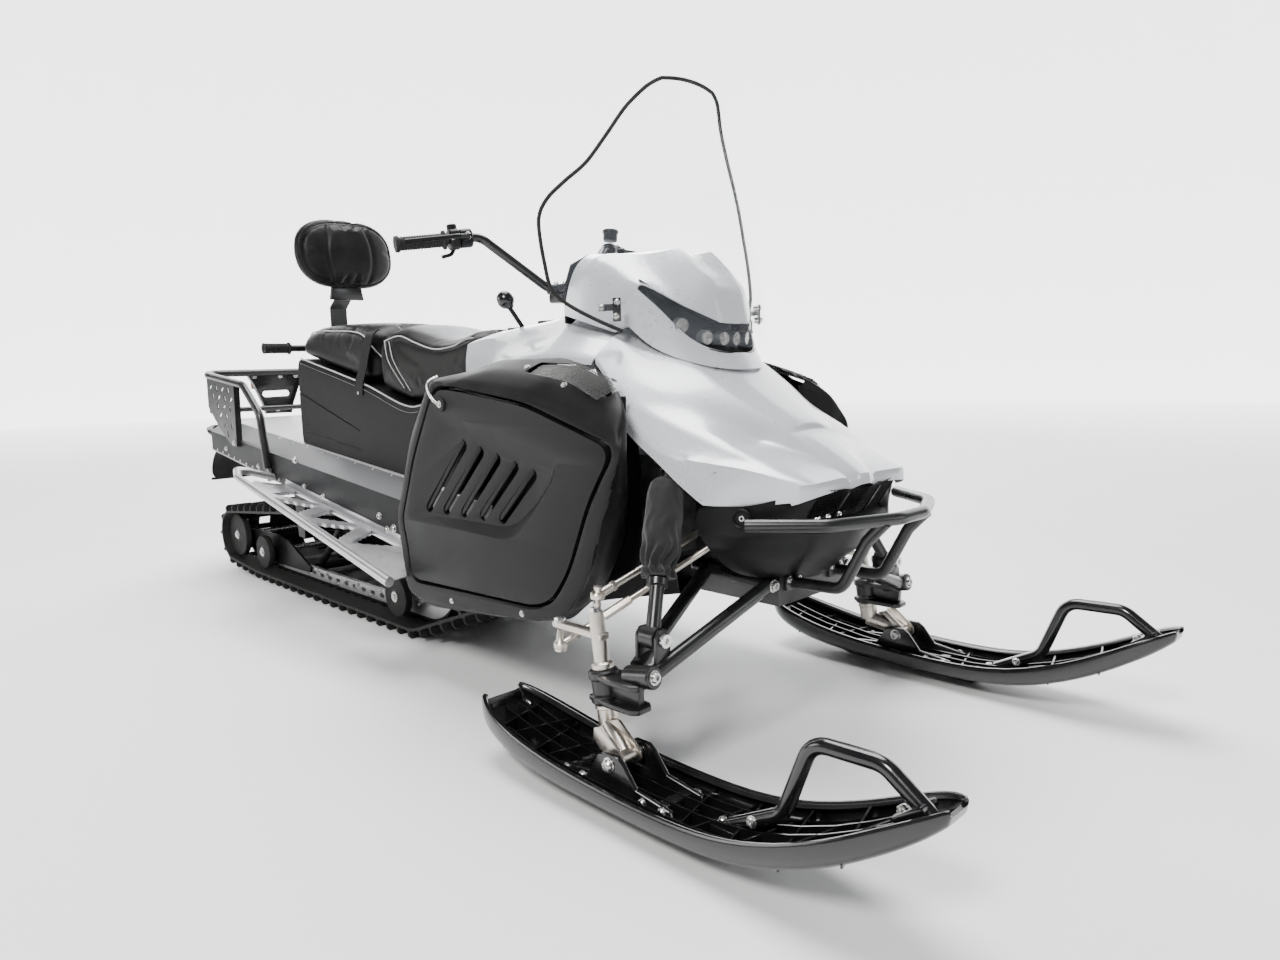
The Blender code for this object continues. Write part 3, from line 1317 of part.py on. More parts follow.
def add_spindle(label, side, body):
    y = side * KINGPIN_Y
    low_z = 0.118
    low = Vector((kingpin_at(low_z), y, low_z))
    top = Vector((kingpin_at(SPINDLE_TOP_Z), y, SPINDLE_TOP_Z))
    pin = rod(low, top, SPINDLE_R, 16)
    collar_z = KINGPIN_Z - KNUCKLE_HEIGHT / 2 - 0.0037
    sleeve = rod(low, Vector((kingpin_at(collar_z), y, collar_z)), SLEEVE_R, 16)
    foot = rod(low, Vector((-0.002, side * SKI_Y, SKI_PIVOT_Z)), 0.019, 16, 0.014)
    reach = SADDLE_HALF - SEAT_GAP
    pivot = rod(
        (0, side * SKI_Y - reach, SKI_PIVOT_Z), (0, side * SKI_Y + reach, SKI_PIVOT_Z), 0.011
    )
    arm_z = ARM_END_Z + 0.016
    arm = side_slab(
        [
            (kingpin_at(arm_z) + 0.018, arm_z - 0.006),
            (kingpin_at(arm_z) + 0.018, arm_z + 0.008),
            (ARM_END_X - 0.014, arm_z + 0.006),
            (ARM_END_X - 0.014, arm_z - 0.006),
        ],
        y - 0.011,
        y + 0.011,
    )
    place("spindle_" + label, fused([pin, sleeve, foot, pivot, arm]), "zinc", body)


def add_tie_rod(label, side):
    def at_joint(height):
        return (ARM_END_X, -ARM_END_Y, ARM_END_Z + height)

    run = rod(*sided([at_joint(-0.024), ROD_INNER_END], side), ROD_R)
    ball = rod(*sided([at_joint(-0.036), at_joint(-0.012)], side), 0.012)
    stud = rod(*sided([at_joint(-0.018), at_joint(0.0092)], side), 0.005)
    place("tie_rod_" + label, fused([run, ball, stud]), "zinc", "tie_rod_" + label)


def build():
    global parts
    clear_scene()
    parts = bpy.data.collections.new("utility_snowmobile")
    bpy.context.scene.collection.children.link(parts)
    add_finishes()
    add_bodies()
    add_track()
    add_wheel_sets()
    add_rail_frame()
    add_track_arms()
    add_tunnel()
    add_snow_flap()
    add_running_boards()
    add_rack()
    add_rear_bumper()
    add_seat()
    add_backrest()
    add_hood()
    add_headlight_pod()
    add_windshield()
    add_console()
    add_side_covers()
    add_belly_pan()
    add_bulkhead()
    add_engine()
    add_nose()
    add_front_bumper()
    add_handlebar()
    add_gear_lever()
    add_suspension()
    for label, side in SIDES:
        body = add_ski(label, side)
        add_spindle(label, side, body)
        add_tie_rod(label, side)


build()
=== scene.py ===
# Utility snowmobile: finishes, panels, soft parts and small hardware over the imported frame.
# Places are in metres in the skis' frame (x is 0 at the ski pivots); chassisX carries them to the model's.
import math

import bmesh
import bpy
import numpy as np
from mathutils import Matrix, Vector
from mathutils.bvhtree import BVHTree


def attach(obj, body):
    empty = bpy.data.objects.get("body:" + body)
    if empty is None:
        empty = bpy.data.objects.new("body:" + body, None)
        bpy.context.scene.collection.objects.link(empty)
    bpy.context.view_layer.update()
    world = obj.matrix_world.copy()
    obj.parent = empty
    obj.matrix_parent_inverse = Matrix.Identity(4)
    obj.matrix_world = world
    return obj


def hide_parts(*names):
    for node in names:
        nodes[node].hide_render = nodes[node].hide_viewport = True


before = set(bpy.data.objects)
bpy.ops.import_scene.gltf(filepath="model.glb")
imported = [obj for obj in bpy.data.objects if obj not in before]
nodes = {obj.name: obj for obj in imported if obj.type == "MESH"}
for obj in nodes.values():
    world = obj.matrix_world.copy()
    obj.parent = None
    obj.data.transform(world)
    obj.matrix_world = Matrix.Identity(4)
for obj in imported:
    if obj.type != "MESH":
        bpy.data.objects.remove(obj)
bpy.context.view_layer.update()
chassisX = 1.026
sides = (("right", -1), ("left", 1))
print("frame loaded:", len(nodes), "nodes")


# Node trees


class Signal:
    # one socket of a tree, so that node maths reads as an expression
    def __init__(self, graph, node, socket):
        self.graph, self.node, self.socket = graph, node, socket

    def out(self, name):
        return Signal(self.graph, self.node, self.node.outputs[name])

    def maths(self, operation, *others):
        return self.graph.add("ShaderNodeMath", {"operation": operation}, [self, *others])

    def __add__(self, other):
        return self.maths("ADD", other)

    __radd__ = __add__

    def __mul__(self, other):
        return self.maths("MULTIPLY", other)

    __rmul__ = __mul__

    def over(self, low, high, toLow=0.0, toHigh=1.0):
        settings = {"clamp": True}
        return self.graph.add("ShaderNodeMapRange", settings, [self, low, high, toLow, toHigh])


class Graph:
    def __init__(self, tree):
        self.tree = tree

    def add(self, kind, settings=None, values=(), output=0):
        node = self.tree.nodes.new(kind)
        settings = dict(settings or {})
        stops = settings.pop("stops", None)
        for name, value in settings.items():
            setattr(node, name, value)
        if stops:
            ramp = node.color_ramp.elements
            while len(ramp) < len(stops):
                ramp.new(0.5)
            for stop, (place, colour) in zip(ramp, stops):
                stop.position, stop.color = place, (*colour, 1.0)
        feed = values.items() if isinstance(values, dict) else enumerate(values)
        for key, value in feed:
            if isinstance(value, Signal):
                self.tree.links.new(value.socket, node.inputs[key])
            elif value is not None:
                node.inputs[key].default_value = value
        return Signal(self, node, node.outputs[output]) if node.outputs else node

    def mixed(self, factor, low, high):
        node = self.tree.nodes.new("ShaderNodeMix")
        node.data_type = "RGBA"
        for key, value in ((0, factor), (6, low), (7, high)):
            if isinstance(value, Signal):
                self.tree.links.new(value.socket, node.inputs[key])
            else:
                node.inputs[key].default_value = (*value, 1.0) if key else value
        return Signal(self, node, node.outputs[2])


# Finishes


def newFinish(name, colour, roughness, metallic=0.0, coat=0.0, coatRoughness=0.05, ior=1.5, specular=0.5):
    material = bpy.data.materials.new(name)
    material.use_nodes = True
    material.diffuse_color = (*colour, 1.0)
    shader = material.node_tree.nodes["Principled BSDF"]
    graph = Graph(material.node_tree)
    for key, value in (
        ("Base Color", (*colour, 1.0)),
        ("Roughness", roughness),
        ("Metallic", metallic),
        ("Coat Weight", coat),
        ("Coat Roughness", coatRoughness),
        ("IOR", ior),
        ("Specular IOR Level", specular),
    ):
        shader.inputs[key].default_value = value
    return material, graph, shader


def feed(graph, shader, **links):
    names = {"colour": "Base Color", "roughness": "Roughness", "normal": "Normal", "alpha": "Alpha",
             "metallic": "Metallic", "coat": "Coat Weight"}
    for key, signal in links.items():
        graph.tree.links.new(signal.socket, shader.inputs[names[key]])


def place(graph, scale=(1, 1, 1), turn=(0, 0, 0)):
    point = graph.add("ShaderNodeTexCoord", output="Object")
    return graph.add("ShaderNodeMapping", None, {0: point, 2: turn, 3: scale})


def grain(graph, scale, detail=3.0, rough=0.55, stretch=(1, 1, 1)):
    point = place(graph, stretch)
    return graph.add("ShaderNodeTexNoise", None, {"Vector": point, "Scale": scale, "Detail": detail,
                                                  "Roughness": rough})


def bumped(graph, height, strength, distance):
    return graph.add("ShaderNodeBump", None, {"Strength": strength, "Distance": distance, "Height": height})


def mottled(name, colour, other, roughness, **options):
    # a solid finish with two tones in soft patches, a varying roughness and a fine surface
    patch, fine = options.pop("patch", 9.0), options.pop("fine", 900.0)
    depth, spread = options.pop("depth", 0.00012), options.pop("spread", 0.10)
    strength = options.pop("strength", 0.25)
    material, graph, shader = newFinish(name, colour, roughness, **options)
    cloud = grain(graph, patch, 4.0).over(0.35, 0.68)
    speck = grain(graph, fine, 2.0)
    feed(graph, shader, colour=graph.mixed(cloud, colour, other),
         roughness=cloud * spread + (roughness - spread / 2) + speck * 0.04,
         normal=bumped(graph, speck, strength, depth))
    return material


def brushed(name, colour, other, roughness, stretch=(6, 300, 300), **options):
    material, graph, shader = newFinish(name, colour, roughness, 1.0, **options)
    lines = grain(graph, 1.0, 2.0, 0.5, stretch)
    cloud = grain(graph, 14.0, 3.0).over(0.3, 0.7)
    feed(graph, shader, colour=graph.mixed(cloud, colour, other),
         roughness=lines * 0.22 + (roughness - 0.11) + cloud * 0.06,
         normal=bumped(graph, lines, 0.12, 0.0002))
    return material


def hideFinish(name, colour, other, roughness, cell=420.0, depth=0.0004):
    # leather grain: small cells with creases between them
    material, graph, shader = newFinish(name, colour, roughness, coat=0.06, coatRoughness=0.30, specular=0.13)
    point = place(graph)
    cells = graph.add("ShaderNodeTexVoronoi", {"feature": "DISTANCE_TO_EDGE"},
                      {"Vector": point, "Scale": cell})
    creases = cells.over(0.0, 0.16)
    cloud = grain(graph, 16.0, 4.0).over(0.35, 0.7)
    height = creases * 0.7 + grain(graph, 60.0, 3.0) * 0.6
    feed(graph, shader, colour=graph.mixed(cloud, colour, other),
         roughness=creases * -0.10 + (roughness + 0.06) + cloud * 0.08,
         normal=bumped(graph, height, 0.35, depth))
    return material


def wovenFinish(name, colour, other, roughness, pitch=0.0012):
    material, graph, shader = newFinish(name, colour, roughness, specular=0.2)
    scale = math.pi / pitch
    point = place(graph, turn=(0.4, 0.3, 0.2))
    parts = graph.add("ShaderNodeSeparateXYZ", None, [point])
    warp = (parts.out("Y") * scale).maths("SINE")
    weft = (parts.out("Z") * scale).maths("SINE")
    weave = warp * weft * 0.5 + 0.5
    cloud = grain(graph, 22.0, 4.0).over(0.35, 0.7)
    feed(graph, shader, colour=graph.mixed(weave * 0.5 + cloud * 0.4, colour, other),
         roughness=cloud * 0.1 + (roughness - 0.05),
         normal=bumped(graph, weave, 0.5, 0.0004))
    shader.inputs["Sheen Weight"].default_value = 0.25
    return material


def clearFinish(name, colour, alpha, roughness=0.03, transmission=0.0):
    material, graph, shader = newFinish(name, colour, roughness, coat=0.5, coatRoughness=0.02)
    haze = grain(graph, 5.0, 3.0).over(0.3, 0.75)
    scuffs = grain(graph, 1.0, 2.0, 0.6, (30, 30, 700)).over(0.62, 0.75)
    feed(graph, shader, alpha=haze * 0.05 + scuffs * 0.03 + (alpha - 0.03),
         roughness=haze * 0.05 + roughness)
    shader.inputs["Transmission Weight"].default_value = transmission
    return material


finishes = {
    "bodyGloss": mottled("bodyGloss", (0.66, 0.675, 0.705), (0.60, 0.62, 0.655), 0.26, patch=4.0,
                         fine=70.0, depth=0.00003, strength=0.04, spread=0.03, metallic=0.3, coat=0.6,
                         coatRoughness=0.05),
    "moulding": mottled("moulding", (0.0055, 0.0055, 0.006), (0.010, 0.010, 0.0105), 0.42, patch=7.0,
                        fine=1500.0, depth=0.00022, strength=0.4, spread=0.12, specular=0.17),
    "mouldingSatin": mottled("mouldingSatin", (0.0045, 0.0045, 0.005), (0.008, 0.008, 0.0085), 0.32,
                             patch=6.0, fine=1500.0, depth=0.00012, spread=0.10, specular=0.2),
    "tubeCoat": mottled("tubeCoat", (0.007, 0.007, 0.0075), (0.011, 0.011, 0.0115), 0.30, patch=20.0,
                        fine=520.0, depth=0.00025, coat=0.25, coatRoughness=0.2),
    "tunnelCoat": mottled("tunnelCoat", (0.014, 0.0145, 0.0155), (0.022, 0.0225, 0.0235), 0.42, patch=5.0,
                          fine=800.0, metallic=0.2, spread=0.14, specular=0.25),
    "bevelMetal": mottled("bevelMetal", (0.12, 0.122, 0.128), (0.17, 0.172, 0.178), 0.34, patch=5.0,
                          fine=800.0, metallic=0.6, spread=0.14),
    "deckMetal": mottled("deckMetal", (0.74, 0.745, 0.75), (0.62, 0.625, 0.63), 0.42, patch=5.0,
                         fine=800.0, metallic=0.3, spread=0.14),
    "skiGloss": mottled("skiGloss", (0.005, 0.005, 0.0055), (0.009, 0.009, 0.0095), 0.20, patch=18.0,
                        fine=160.0, depth=0.0003, coat=0.35, coatRoughness=0.12),
    "castGrey": mottled("castGrey", (0.16, 0.16, 0.16), (0.11, 0.11, 0.11), 0.55, patch=30.0,
                        fine=400.0, metallic=0.6, depth=0.0005),
    "rubber": mottled("rubber", (0.009, 0.009, 0.009), (0.016, 0.0155, 0.015), 0.68, patch=26.0,
                      fine=700.0, depth=0.0004, strength=0.5, specular=0.3),
    "trackRubber": mottled("trackRubber", (0.012, 0.012, 0.012), (0.026, 0.025, 0.024), 0.62,
                           patch=30.0, fine=380.0, depth=0.0006, strength=0.5, specular=0.3),
    "boardMetal": brushed("boardMetal", (0.68, 0.68, 0.69), (0.58, 0.58, 0.60), 0.34),
    "railMetal": brushed("railMetal", (0.55, 0.55, 0.56), (0.42, 0.42, 0.43), 0.38),
    "zinc": brushed("zinc", (0.70, 0.66, 0.60), (0.58, 0.53, 0.47), 0.30, (60, 60, 60)),
    "boltMetal": brushed("boltMetal", (0.78, 0.77, 0.75), (0.62, 0.61, 0.60), 0.24, (200, 200, 200)),
    "mirror": mottled("mirror", (0.90, 0.90, 0.90), (0.84, 0.84, 0.85), 0.06, patch=12.0, fine=60.0,
                      depth=0.00002, spread=0.04, metallic=1.0),
    "reflector": mottled("reflector", (0.30, 0.29, 0.28), (0.08, 0.08, 0.08), 0.14, patch=120.0,
                         fine=300.0, depth=0.0006, strength=0.6, metallic=1.0),
    "seatVinyl": hideFinish("seatVinyl", (0.006, 0.006, 0.006), (0.012, 0.0118, 0.0116), 0.36),
    "seatSide": hideFinish("seatSide", (0.006, 0.006, 0.006), (0.011, 0.011, 0.011), 0.44, 520.0, 0.0003),
    "cloth": wovenFinish("cloth", (0.006, 0.006, 0.0065), (0.016, 0.016, 0.017), 0.70),
    "screenClear": clearFinish("screenClear", (0.42, 0.46, 0.52), 0.045),
    "lensClear": clearFinish("lensClear", (0.10, 0.11, 0.12), 0.04),
    "lampRed": mottled("lampRed", (0.42, 0.012, 0.012), (0.30, 0.008, 0.008), 0.14, patch=40.0,
                       fine=200.0, coat=0.6),
    "lampGlow": mottled("lampGlow", (0.95, 0.93, 0.88), (0.85, 0.83, 0.78), 0.12, patch=60.0, fine=90.0),
    "threadGrey": mottled("threadGrey", (0.30, 0.30, 0.30), (0.22, 0.22, 0.22), 0.6, patch=60.0, fine=900.0),
    "pipingGrey": mottled("pipingGrey", (0.46, 0.46, 0.46), (0.36, 0.36, 0.36), 0.5, patch=60.0, fine=900.0),
}
print("finishes made:", len(finishes))


# Shapes


def meshPiece(points, faces):
    mesh = bpy.data.meshes.new("piece")
    mesh.from_pydata([tuple(p) for p in points], [], faces)
    mesh.update()
    obj = bpy.data.objects.new("piece", mesh)
    bpy.context.scene.collection.objects.link(obj)
    return obj


def fromBmesh(bm):
    mesh = bpy.data.meshes.new("piece")
    bm.to_mesh(mesh)
    bm.free()
    obj = bpy.data.objects.new("piece", mesh)
    bpy.context.scene.collection.objects.link(obj)
    return obj


def baked(obj):
    # the evaluated shape as a plain mesh, its modifiers gone
    bpy.context.view_layer.update()
    graph = bpy.context.evaluated_depsgraph_get()
    mesh = bpy.data.meshes.new_from_object(obj.evaluated_get(graph))
    mesh.transform(obj.matrix_world)
    result = bpy.data.objects.new("piece", mesh)
    bpy.context.scene.collection.objects.link(result)
    bpy.data.objects.remove(obj)
    return result


def outward(obj, merge=0.00001):
    bm = bmesh.new()
    bm.from_mesh(obj.data)
    if merge:
        bmesh.ops.remove_doubles(bm, verts=bm.verts, dist=merge)
    bmesh.ops.recalc_face_normals(bm, faces=bm.faces)
    if bm.calc_volume(signed=True) < 0:
        bmesh.ops.reverse_faces(bm, faces=bm.faces)
    bm.to_mesh(obj.data)
    bm.free()
    return obj


def modified(obj, kind, **settings):
    modifier = obj.modifiers.new(kind.lower(), kind)
    for name, value in settings.items():
        setattr(modifier, name, value)
    return obj


def subdivided(obj, levels):
    return modified(obj, "SUBSURF", levels=levels, render_levels=levels)


def joined(pieces):
    mesh = bpy.data.meshes.new("piece")
    bm = bmesh.new()
    for piece in pieces:
        piece = baked(piece) if piece.modifiers or piece.type != "MESH" else piece
        piece.data.transform(piece.matrix_world)
        bm.from_mesh(piece.data)
        bpy.data.objects.remove(piece)
    bm.to_mesh(mesh)
    bm.free()
    obj = bpy.data.objects.new("piece", mesh)
    bpy.context.scene.collection.objects.link(obj)
    return obj


def finished(name, obj, finish, body="chassis", replaces=(), sharp=32.0):
    # bakes a piece, moves it to the model's frame and hangs it on its body
    if obj.modifiers or obj.type != "MESH":
        obj = baked(obj)
    obj.name = obj.data.name = name
    obj.data.transform(Matrix.Translation((chassisX, 0, 0)) @ obj.matrix_world)
    obj.matrix_world = Matrix.Identity(4)
    obj.data.materials.clear()
    obj.data.materials.append(finishes[finish])
    for face in obj.data.polygons:
        face.material_index = 0
    obj.data.shade_smooth()
    obj.data.set_sharp_from_angle(angle=math.radians(sharp))
    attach(obj, body)
    if replaces:
        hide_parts(*replaces)
    return obj


def mirroredPoints(points):
    return [(x, -y, z) for x, y, z in points]


def onSide(points, side):
    # points are given for the left side, +y
    return [Vector((x, y * side, z)) for x, y, z in points]


def cage(points, faces, creases=(), mirror=True):
    # a control cage from named points; faces and creased lines are words of point names
    names = list(points)
    order = {name: i for i, name in enumerate(names)}
    bm = bmesh.new()
    verts = [bm.verts.new(points[name]) for name in names]
    for words in faces:
        bm.faces.new([verts[order[w]] for w in words.split()])
    layer = bm.edges.layers.float.new("crease_edge")
    for words, value in creases:
        chain = [verts[order[w]] for w in words.split()]
        for a, b in zip(chain, chain[1:]):
            edge = bm.edges.get((a, b))
            if edge:
                edge[layer] = value
    if mirror:
        twin = bmesh.ops.duplicate(bm, geom=bm.verts[:] + bm.edges[:] + bm.faces[:])["geom"]
        moved = [g for g in twin if isinstance(g, bmesh.types.BMVert)]
        bmesh.ops.scale(bm, vec=(1, -1, 1), verts=moved)
        bmesh.ops.reverse_faces(bm, faces=[g for g in twin if isinstance(g, bmesh.types.BMFace)])
        middle = [v for v in bm.verts if abs(v.co.y) < 1e-5]
        bmesh.ops.remove_doubles(bm, verts=middle, dist=1e-5)
    bmesh.ops.recalc_face_normals(bm, faces=bm.faces)
    return fromBmesh(bm)


def gridCage(rows, creased=(), mirror=True, rowCrease=()):
    # rows of as many points each as a sheet; creased columns and rows keep a line
    width = len(rows[0])
    points = {f"r{i}c{j}": p for i, row in enumerate(rows) for j, p in enumerate(row)}
    faces = [
        f"r{i}c{j} r{i}c{j + 1} r{i + 1}c{j + 1} r{i + 1}c{j}"
        for i in range(len(rows) - 1)
        for j in range(width - 1)
    ]
    lines = [(" ".join(f"r{i}c{j}" for i in range(len(rows))), value) for j, value in creased]
    lines += [(" ".join(f"r{i}c{j}" for j in range(width)), value) for i, value in rowCrease]
    return cage(points, faces, lines, mirror)


def shell(obj, levels, thickness, offset=-1.0):
    subdivided(obj, levels)
    modified(obj, "SOLIDIFY", thickness=thickness, offset=offset, use_even_offset=True)
    return obj


def roundedPath(points, bend, steps=6, cyclic=False):
    points = [Vector(p) for p in points]
    count = len(points)
    path = []
    for i, corner in enumerate(points):
        if not cyclic and i in (0, count - 1):
            path.append(corner)
            continue
        before, after = points[i - 1] - corner, points[(i + 1) % count] - corner
        half = before.angle(after) / 2
        reach = min(bend / math.tan(half), before.length * 0.48, after.length * 0.48)
        start, end = corner + before.normalized() * reach, corner + after.normalized() * reach
        for k in range(steps + 1):
            t = k / steps
            path.append(start.lerp(corner, t).lerp(corner.lerp(end, t), t))
    return path


def pipe(points, radius, bend=0.0, cyclic=False, resolution=5, steps=6):
    path = roundedPath(points, bend, steps, cyclic) if bend else [Vector(p) for p in points]
    curve = bpy.data.curves.new("pipe", "CURVE")
    curve.dimensions = "3D"
    curve.bevel_depth = radius
    curve.bevel_resolution = resolution
    curve.use_fill_caps = True
    spline = curve.splines.new("POLY")
    spline.points.add(len(path) - 1)
    for point, p in zip(spline.points, path):
        point.co = (*p, 1)
    spline.use_cyclic_u = cyclic
    obj = bpy.data.objects.new("pipe", curve)
    bpy.context.scene.collection.objects.link(obj)
    return outward(baked(obj))


def plate(outline, low, high, axis="y", holes=(), bevel=0.0, segments=2):
    # a flat piece with its outline in the plane across the axis
    curve = bpy.data.curves.new("plate", "CURVE")
    curve.dimensions = "2D"
    curve.fill_mode = "BOTH"
    curve.extrude = (high - low) / 2
    for ring in [outline, *holes]:
        spline = curve.splines.new("POLY")
        spline.points.add(len(ring) - 1)
        for point, (u, v) in zip(spline.points, ring):
            point.co = (u, v, 0, 1)
        spline.use_cyclic_u = True
    obj = bpy.data.objects.new("plate", curve)
    bpy.context.scene.collection.objects.link(obj)
    middle = (low + high) / 2
    obj.matrix_world = {
        "x": Matrix.Translation((middle, 0, 0)) @ Matrix(((0, 0, 1, 0), (1, 0, 0, 0), (0, 1, 0, 0), (0, 0, 0, 1))),
        "y": Matrix.Translation((0, middle, 0)) @ Matrix.Rotation(math.pi / 2, 4, "X"),
        "z": Matrix.Translation((0, 0, middle)),
    }[axis]
    obj = outward(baked(obj))
    if bevel:
        modified(obj, "BEVEL", width=bevel, segments=segments, limit_method="ANGLE", angle_limit=math.radians(30))
        obj = baked(obj)
    return obj


def turned(profile, at, axis, sides=32):
    # (radius, along) pairs turned about an axis through a point
    axis = Vector(axis).normalized()
    frameTurn = axis.to_track_quat("Z", "Y").to_matrix()
    rows, count = [], sides
    for radius, along in profile:
        ring = []
        for k in range(count):
            angle = 2 * math.pi * k / count
            local = Vector((radius * math.cos(angle), radius * math.sin(angle), along))
            ring.append(Vector(at) + frameTurn @ local)
        rows.append(ring)
    points = [p for ring in rows for p in ring]
    faces = []
    for i in range(len(rows) - 1):
        for k in range(count):
            j = (k + 1) % count
            faces.append((i * count + k, i * count + j, (i + 1) * count + j, (i + 1) * count + k))
    faces.append(tuple(range(count)))
    faces.append(tuple(range((len(rows) - 1) * count, len(rows) * count)))
    return outward(meshPiece(points, faces), 0.00002)


def box(low, high, bevel=0.0, segments=2):
    bm = bmesh.new()
    bmesh.ops.create_cube(bm, size=1.0)
    low, high = Vector(low), Vector(high)
    bmesh.ops.scale(bm, vec=high - low, verts=bm.verts)
    bmesh.ops.translate(bm, vec=(low + high) / 2, verts=bm.verts)
    if bevel:
        bmesh.ops.bevel(bm, geom=bm.edges[:], offset=bevel, segments=segments, profile=0.5, affect="EDGES")
    return fromBmesh(bm)


def cut(obj, cutters):
    for cutter in cutters:
        modified(obj, "BOOLEAN", operation="DIFFERENCE", solver="EXACT", object=cutter)
    obj = baked(obj)
    for cutter in cutters:
        bpy.data.objects.remove(cutter)
    return obj


def smoothLine(points, count):
    # an even line through the points, by a centripetal spline
    points = [Vector(p) for p in points]
    ends = [points[0] * 2 - points[1], *points, points[-1] * 2 - points[-2]]
    fine = []
    for a, b, c, d in zip(ends, ends[1:], ends[2:], ends[3:]):
        for k in range(12):
            t = k / 12
            fine.append(0.5 * ((2 * b) + (c - a) * t + (2 * a - 5 * b + 4 * c - d) * t * t
                               + (3 * b - a - 3 * c + d) * t ** 3))
    fine.append(points[-1])
    lengths = [0.0]
    for a, b in zip(fine, fine[1:]):
        lengths.append(lengths[-1] + (b - a).length)
    line, at = [], 0
    for k in range(count):
        goal = lengths[-1] * k / (count - 1)
        while at < len(fine) - 2 and lengths[at + 1] < goal:
            at += 1
        span = lengths[at + 1] - lengths[at]
        line.append(fine[at].lerp(fine[at + 1], (goal - lengths[at]) / span if span else 0.0))
    return line


# Geometry nodes


def geometryTree(name, inputs):
    tree = bpy.data.node_groups.new(name, "GeometryNodeTree")
    tree.interface.new_socket("Geometry", in_out="INPUT", socket_type="NodeSocketGeometry")
    for label, kind, value in inputs:
        socket = tree.interface.new_socket(label, in_out="INPUT", socket_type="NodeSocket" + kind)
        if value is not None:
            socket.default_value = value
    tree.interface.new_socket("Geometry", in_out="OUTPUT", socket_type="NodeSocketGeometry")
    graph = Graph(tree)
    return graph, graph.add("NodeGroupInput")


def closeTree(graph, geometry, finish):
    real = graph.add("GeometryNodeRealizeInstances", None, [geometry])
    shaded = graph.add("GeometryNodeSetMaterial", None, {"Geometry": real, "Material": finishes[finish]})
    graph.add("NodeGroupOutput", None, [shaded])


def grown(obj, graph, **values):
    # the object's shape after its tree, as a plain mesh; values are set by the socket's identifier
    modifier = obj.modifiers.new("grow", "NODES")
    modifier.node_group = graph.tree
    sockets = {s.name: s.identifier for s in graph.tree.interface.items_tree if s.in_out == "INPUT"}
    for label, value in values.items():
        modifier[sockets[label]] = value
    return baked(obj)


def scatterTree(finish):
    # the given piece on every point, its z along "facing" and its x towards "along"
    graph, given = geometryTree("scatter_" + finish, [("Piece", "Object", None)])
    piece = graph.add("GeometryNodeObjectInfo", None, {"Object": given.out("Piece")}, "Geometry")
    facing, along, size = (
        graph.add("GeometryNodeInputNamedAttribute", {"data_type": "FLOAT_VECTOR"}, {"Name": name})
        for name in ("facing", "along", "size")
    )
    turn = graph.add("FunctionNodeAlignRotationToVector", {"axis": "Z"}, {"Vector": facing})
    turn = graph.add("FunctionNodeAlignRotationToVector", {"axis": "X", "pivot_axis": "Z"},
                     {"Rotation": turn, "Vector": along})
    placed = graph.add("GeometryNodeInstanceOnPoints", None,
                       {"Points": given.out("Geometry"), "Instance": piece, "Rotation": turn, "Scale": size})
    closeTree(graph, placed, finish)
    return graph


scatterTrees = {}


def scattered(piece, spots, finish="boltMetal"):
    # spots: point, facing, then a direction for the piece's x and its size where they matter
    if finish not in scatterTrees:
        scatterTrees[finish] = scatterTree(finish)
    spots = [(*spot, *((1, 0, 0.01), 1.0)[len(spot) - 2:]) for spot in spots]
    obj = meshPiece([spot[0] for spot in spots], [])
    for name, column in (("facing", 1), ("along", 2), ("size", 3)):
        layer = obj.data.attributes.new(name, "FLOAT_VECTOR", "POINT")
        for item, spot in zip(layer.data, spots):
            value = spot[column]
            item.vector = (value,) * 3 if isinstance(value, float) else value
    obj = grown(obj, scatterTrees[finish], Piece=piece)
    bpy.data.objects.remove(piece)
    return obj


def boltHead(radius, height, socket=True, sides=14):
    # a rounded head, its foot at z 0 a little sunk, with a hollow for the key
    profile = [(radius * 1.25, -0.001), (radius * 1.25, height * 0.18), (radius, height * 0.20),
               (radius * 0.96, height * 0.75), (radius * 0.80, height)]
    if socket:
        profile += [(radius * 0.48, height), (radius * 0.42, height * 0.45), (radius * 0.05, height * 0.42)]
    else:
        profile += [(radius * 0.4, height * 1.15), (radius * 0.05, height * 1.2)]
    return turned(profile, (0, 0, 0), (0, 0, 1), sides)


def ringLine(outline, bend, each=8):
    # a closed outline with rounded corners, as many points to every corner, so that two outlines match
    corners = [Vector(p) for p in outline]
    count, line = len(corners), []
    for i, corner in enumerate(corners):
        before, after = corners[i - 1] - corner, corners[(i + 1) % count] - corner
        reach = min(bend, before.length * 0.45, after.length * 0.45)
        start, end = corner + before.normalized() * reach, corner + after.normalized() * reach
        line.append(corner + before * 0.5)
        for k in range(each - 1):
            t = k / (each - 2)
            line.append(start.lerp(corner, t).lerp(corner.lerp(end, t), t))
    return line


def moved(outline, distance):
    # a flat outline set out by a distance
    points = [Vector(p) for p in outline]
    count = len(points)
    area = sum(points[i - 1].cross(points[i]) for i in range(count))
    sign = 1 if area > 0 else -1
    result = []
    for i, p in enumerate(points):
        a, b = p - points[i - 1], points[(i + 1) % count] - p
        first, second = (Vector((d.y, -d.x)).normalized() * sign for d in (a, b))
        middle = (first + second).normalized()
        result.append(p + middle * distance / max(0.5, middle.dot(first)))
    return result


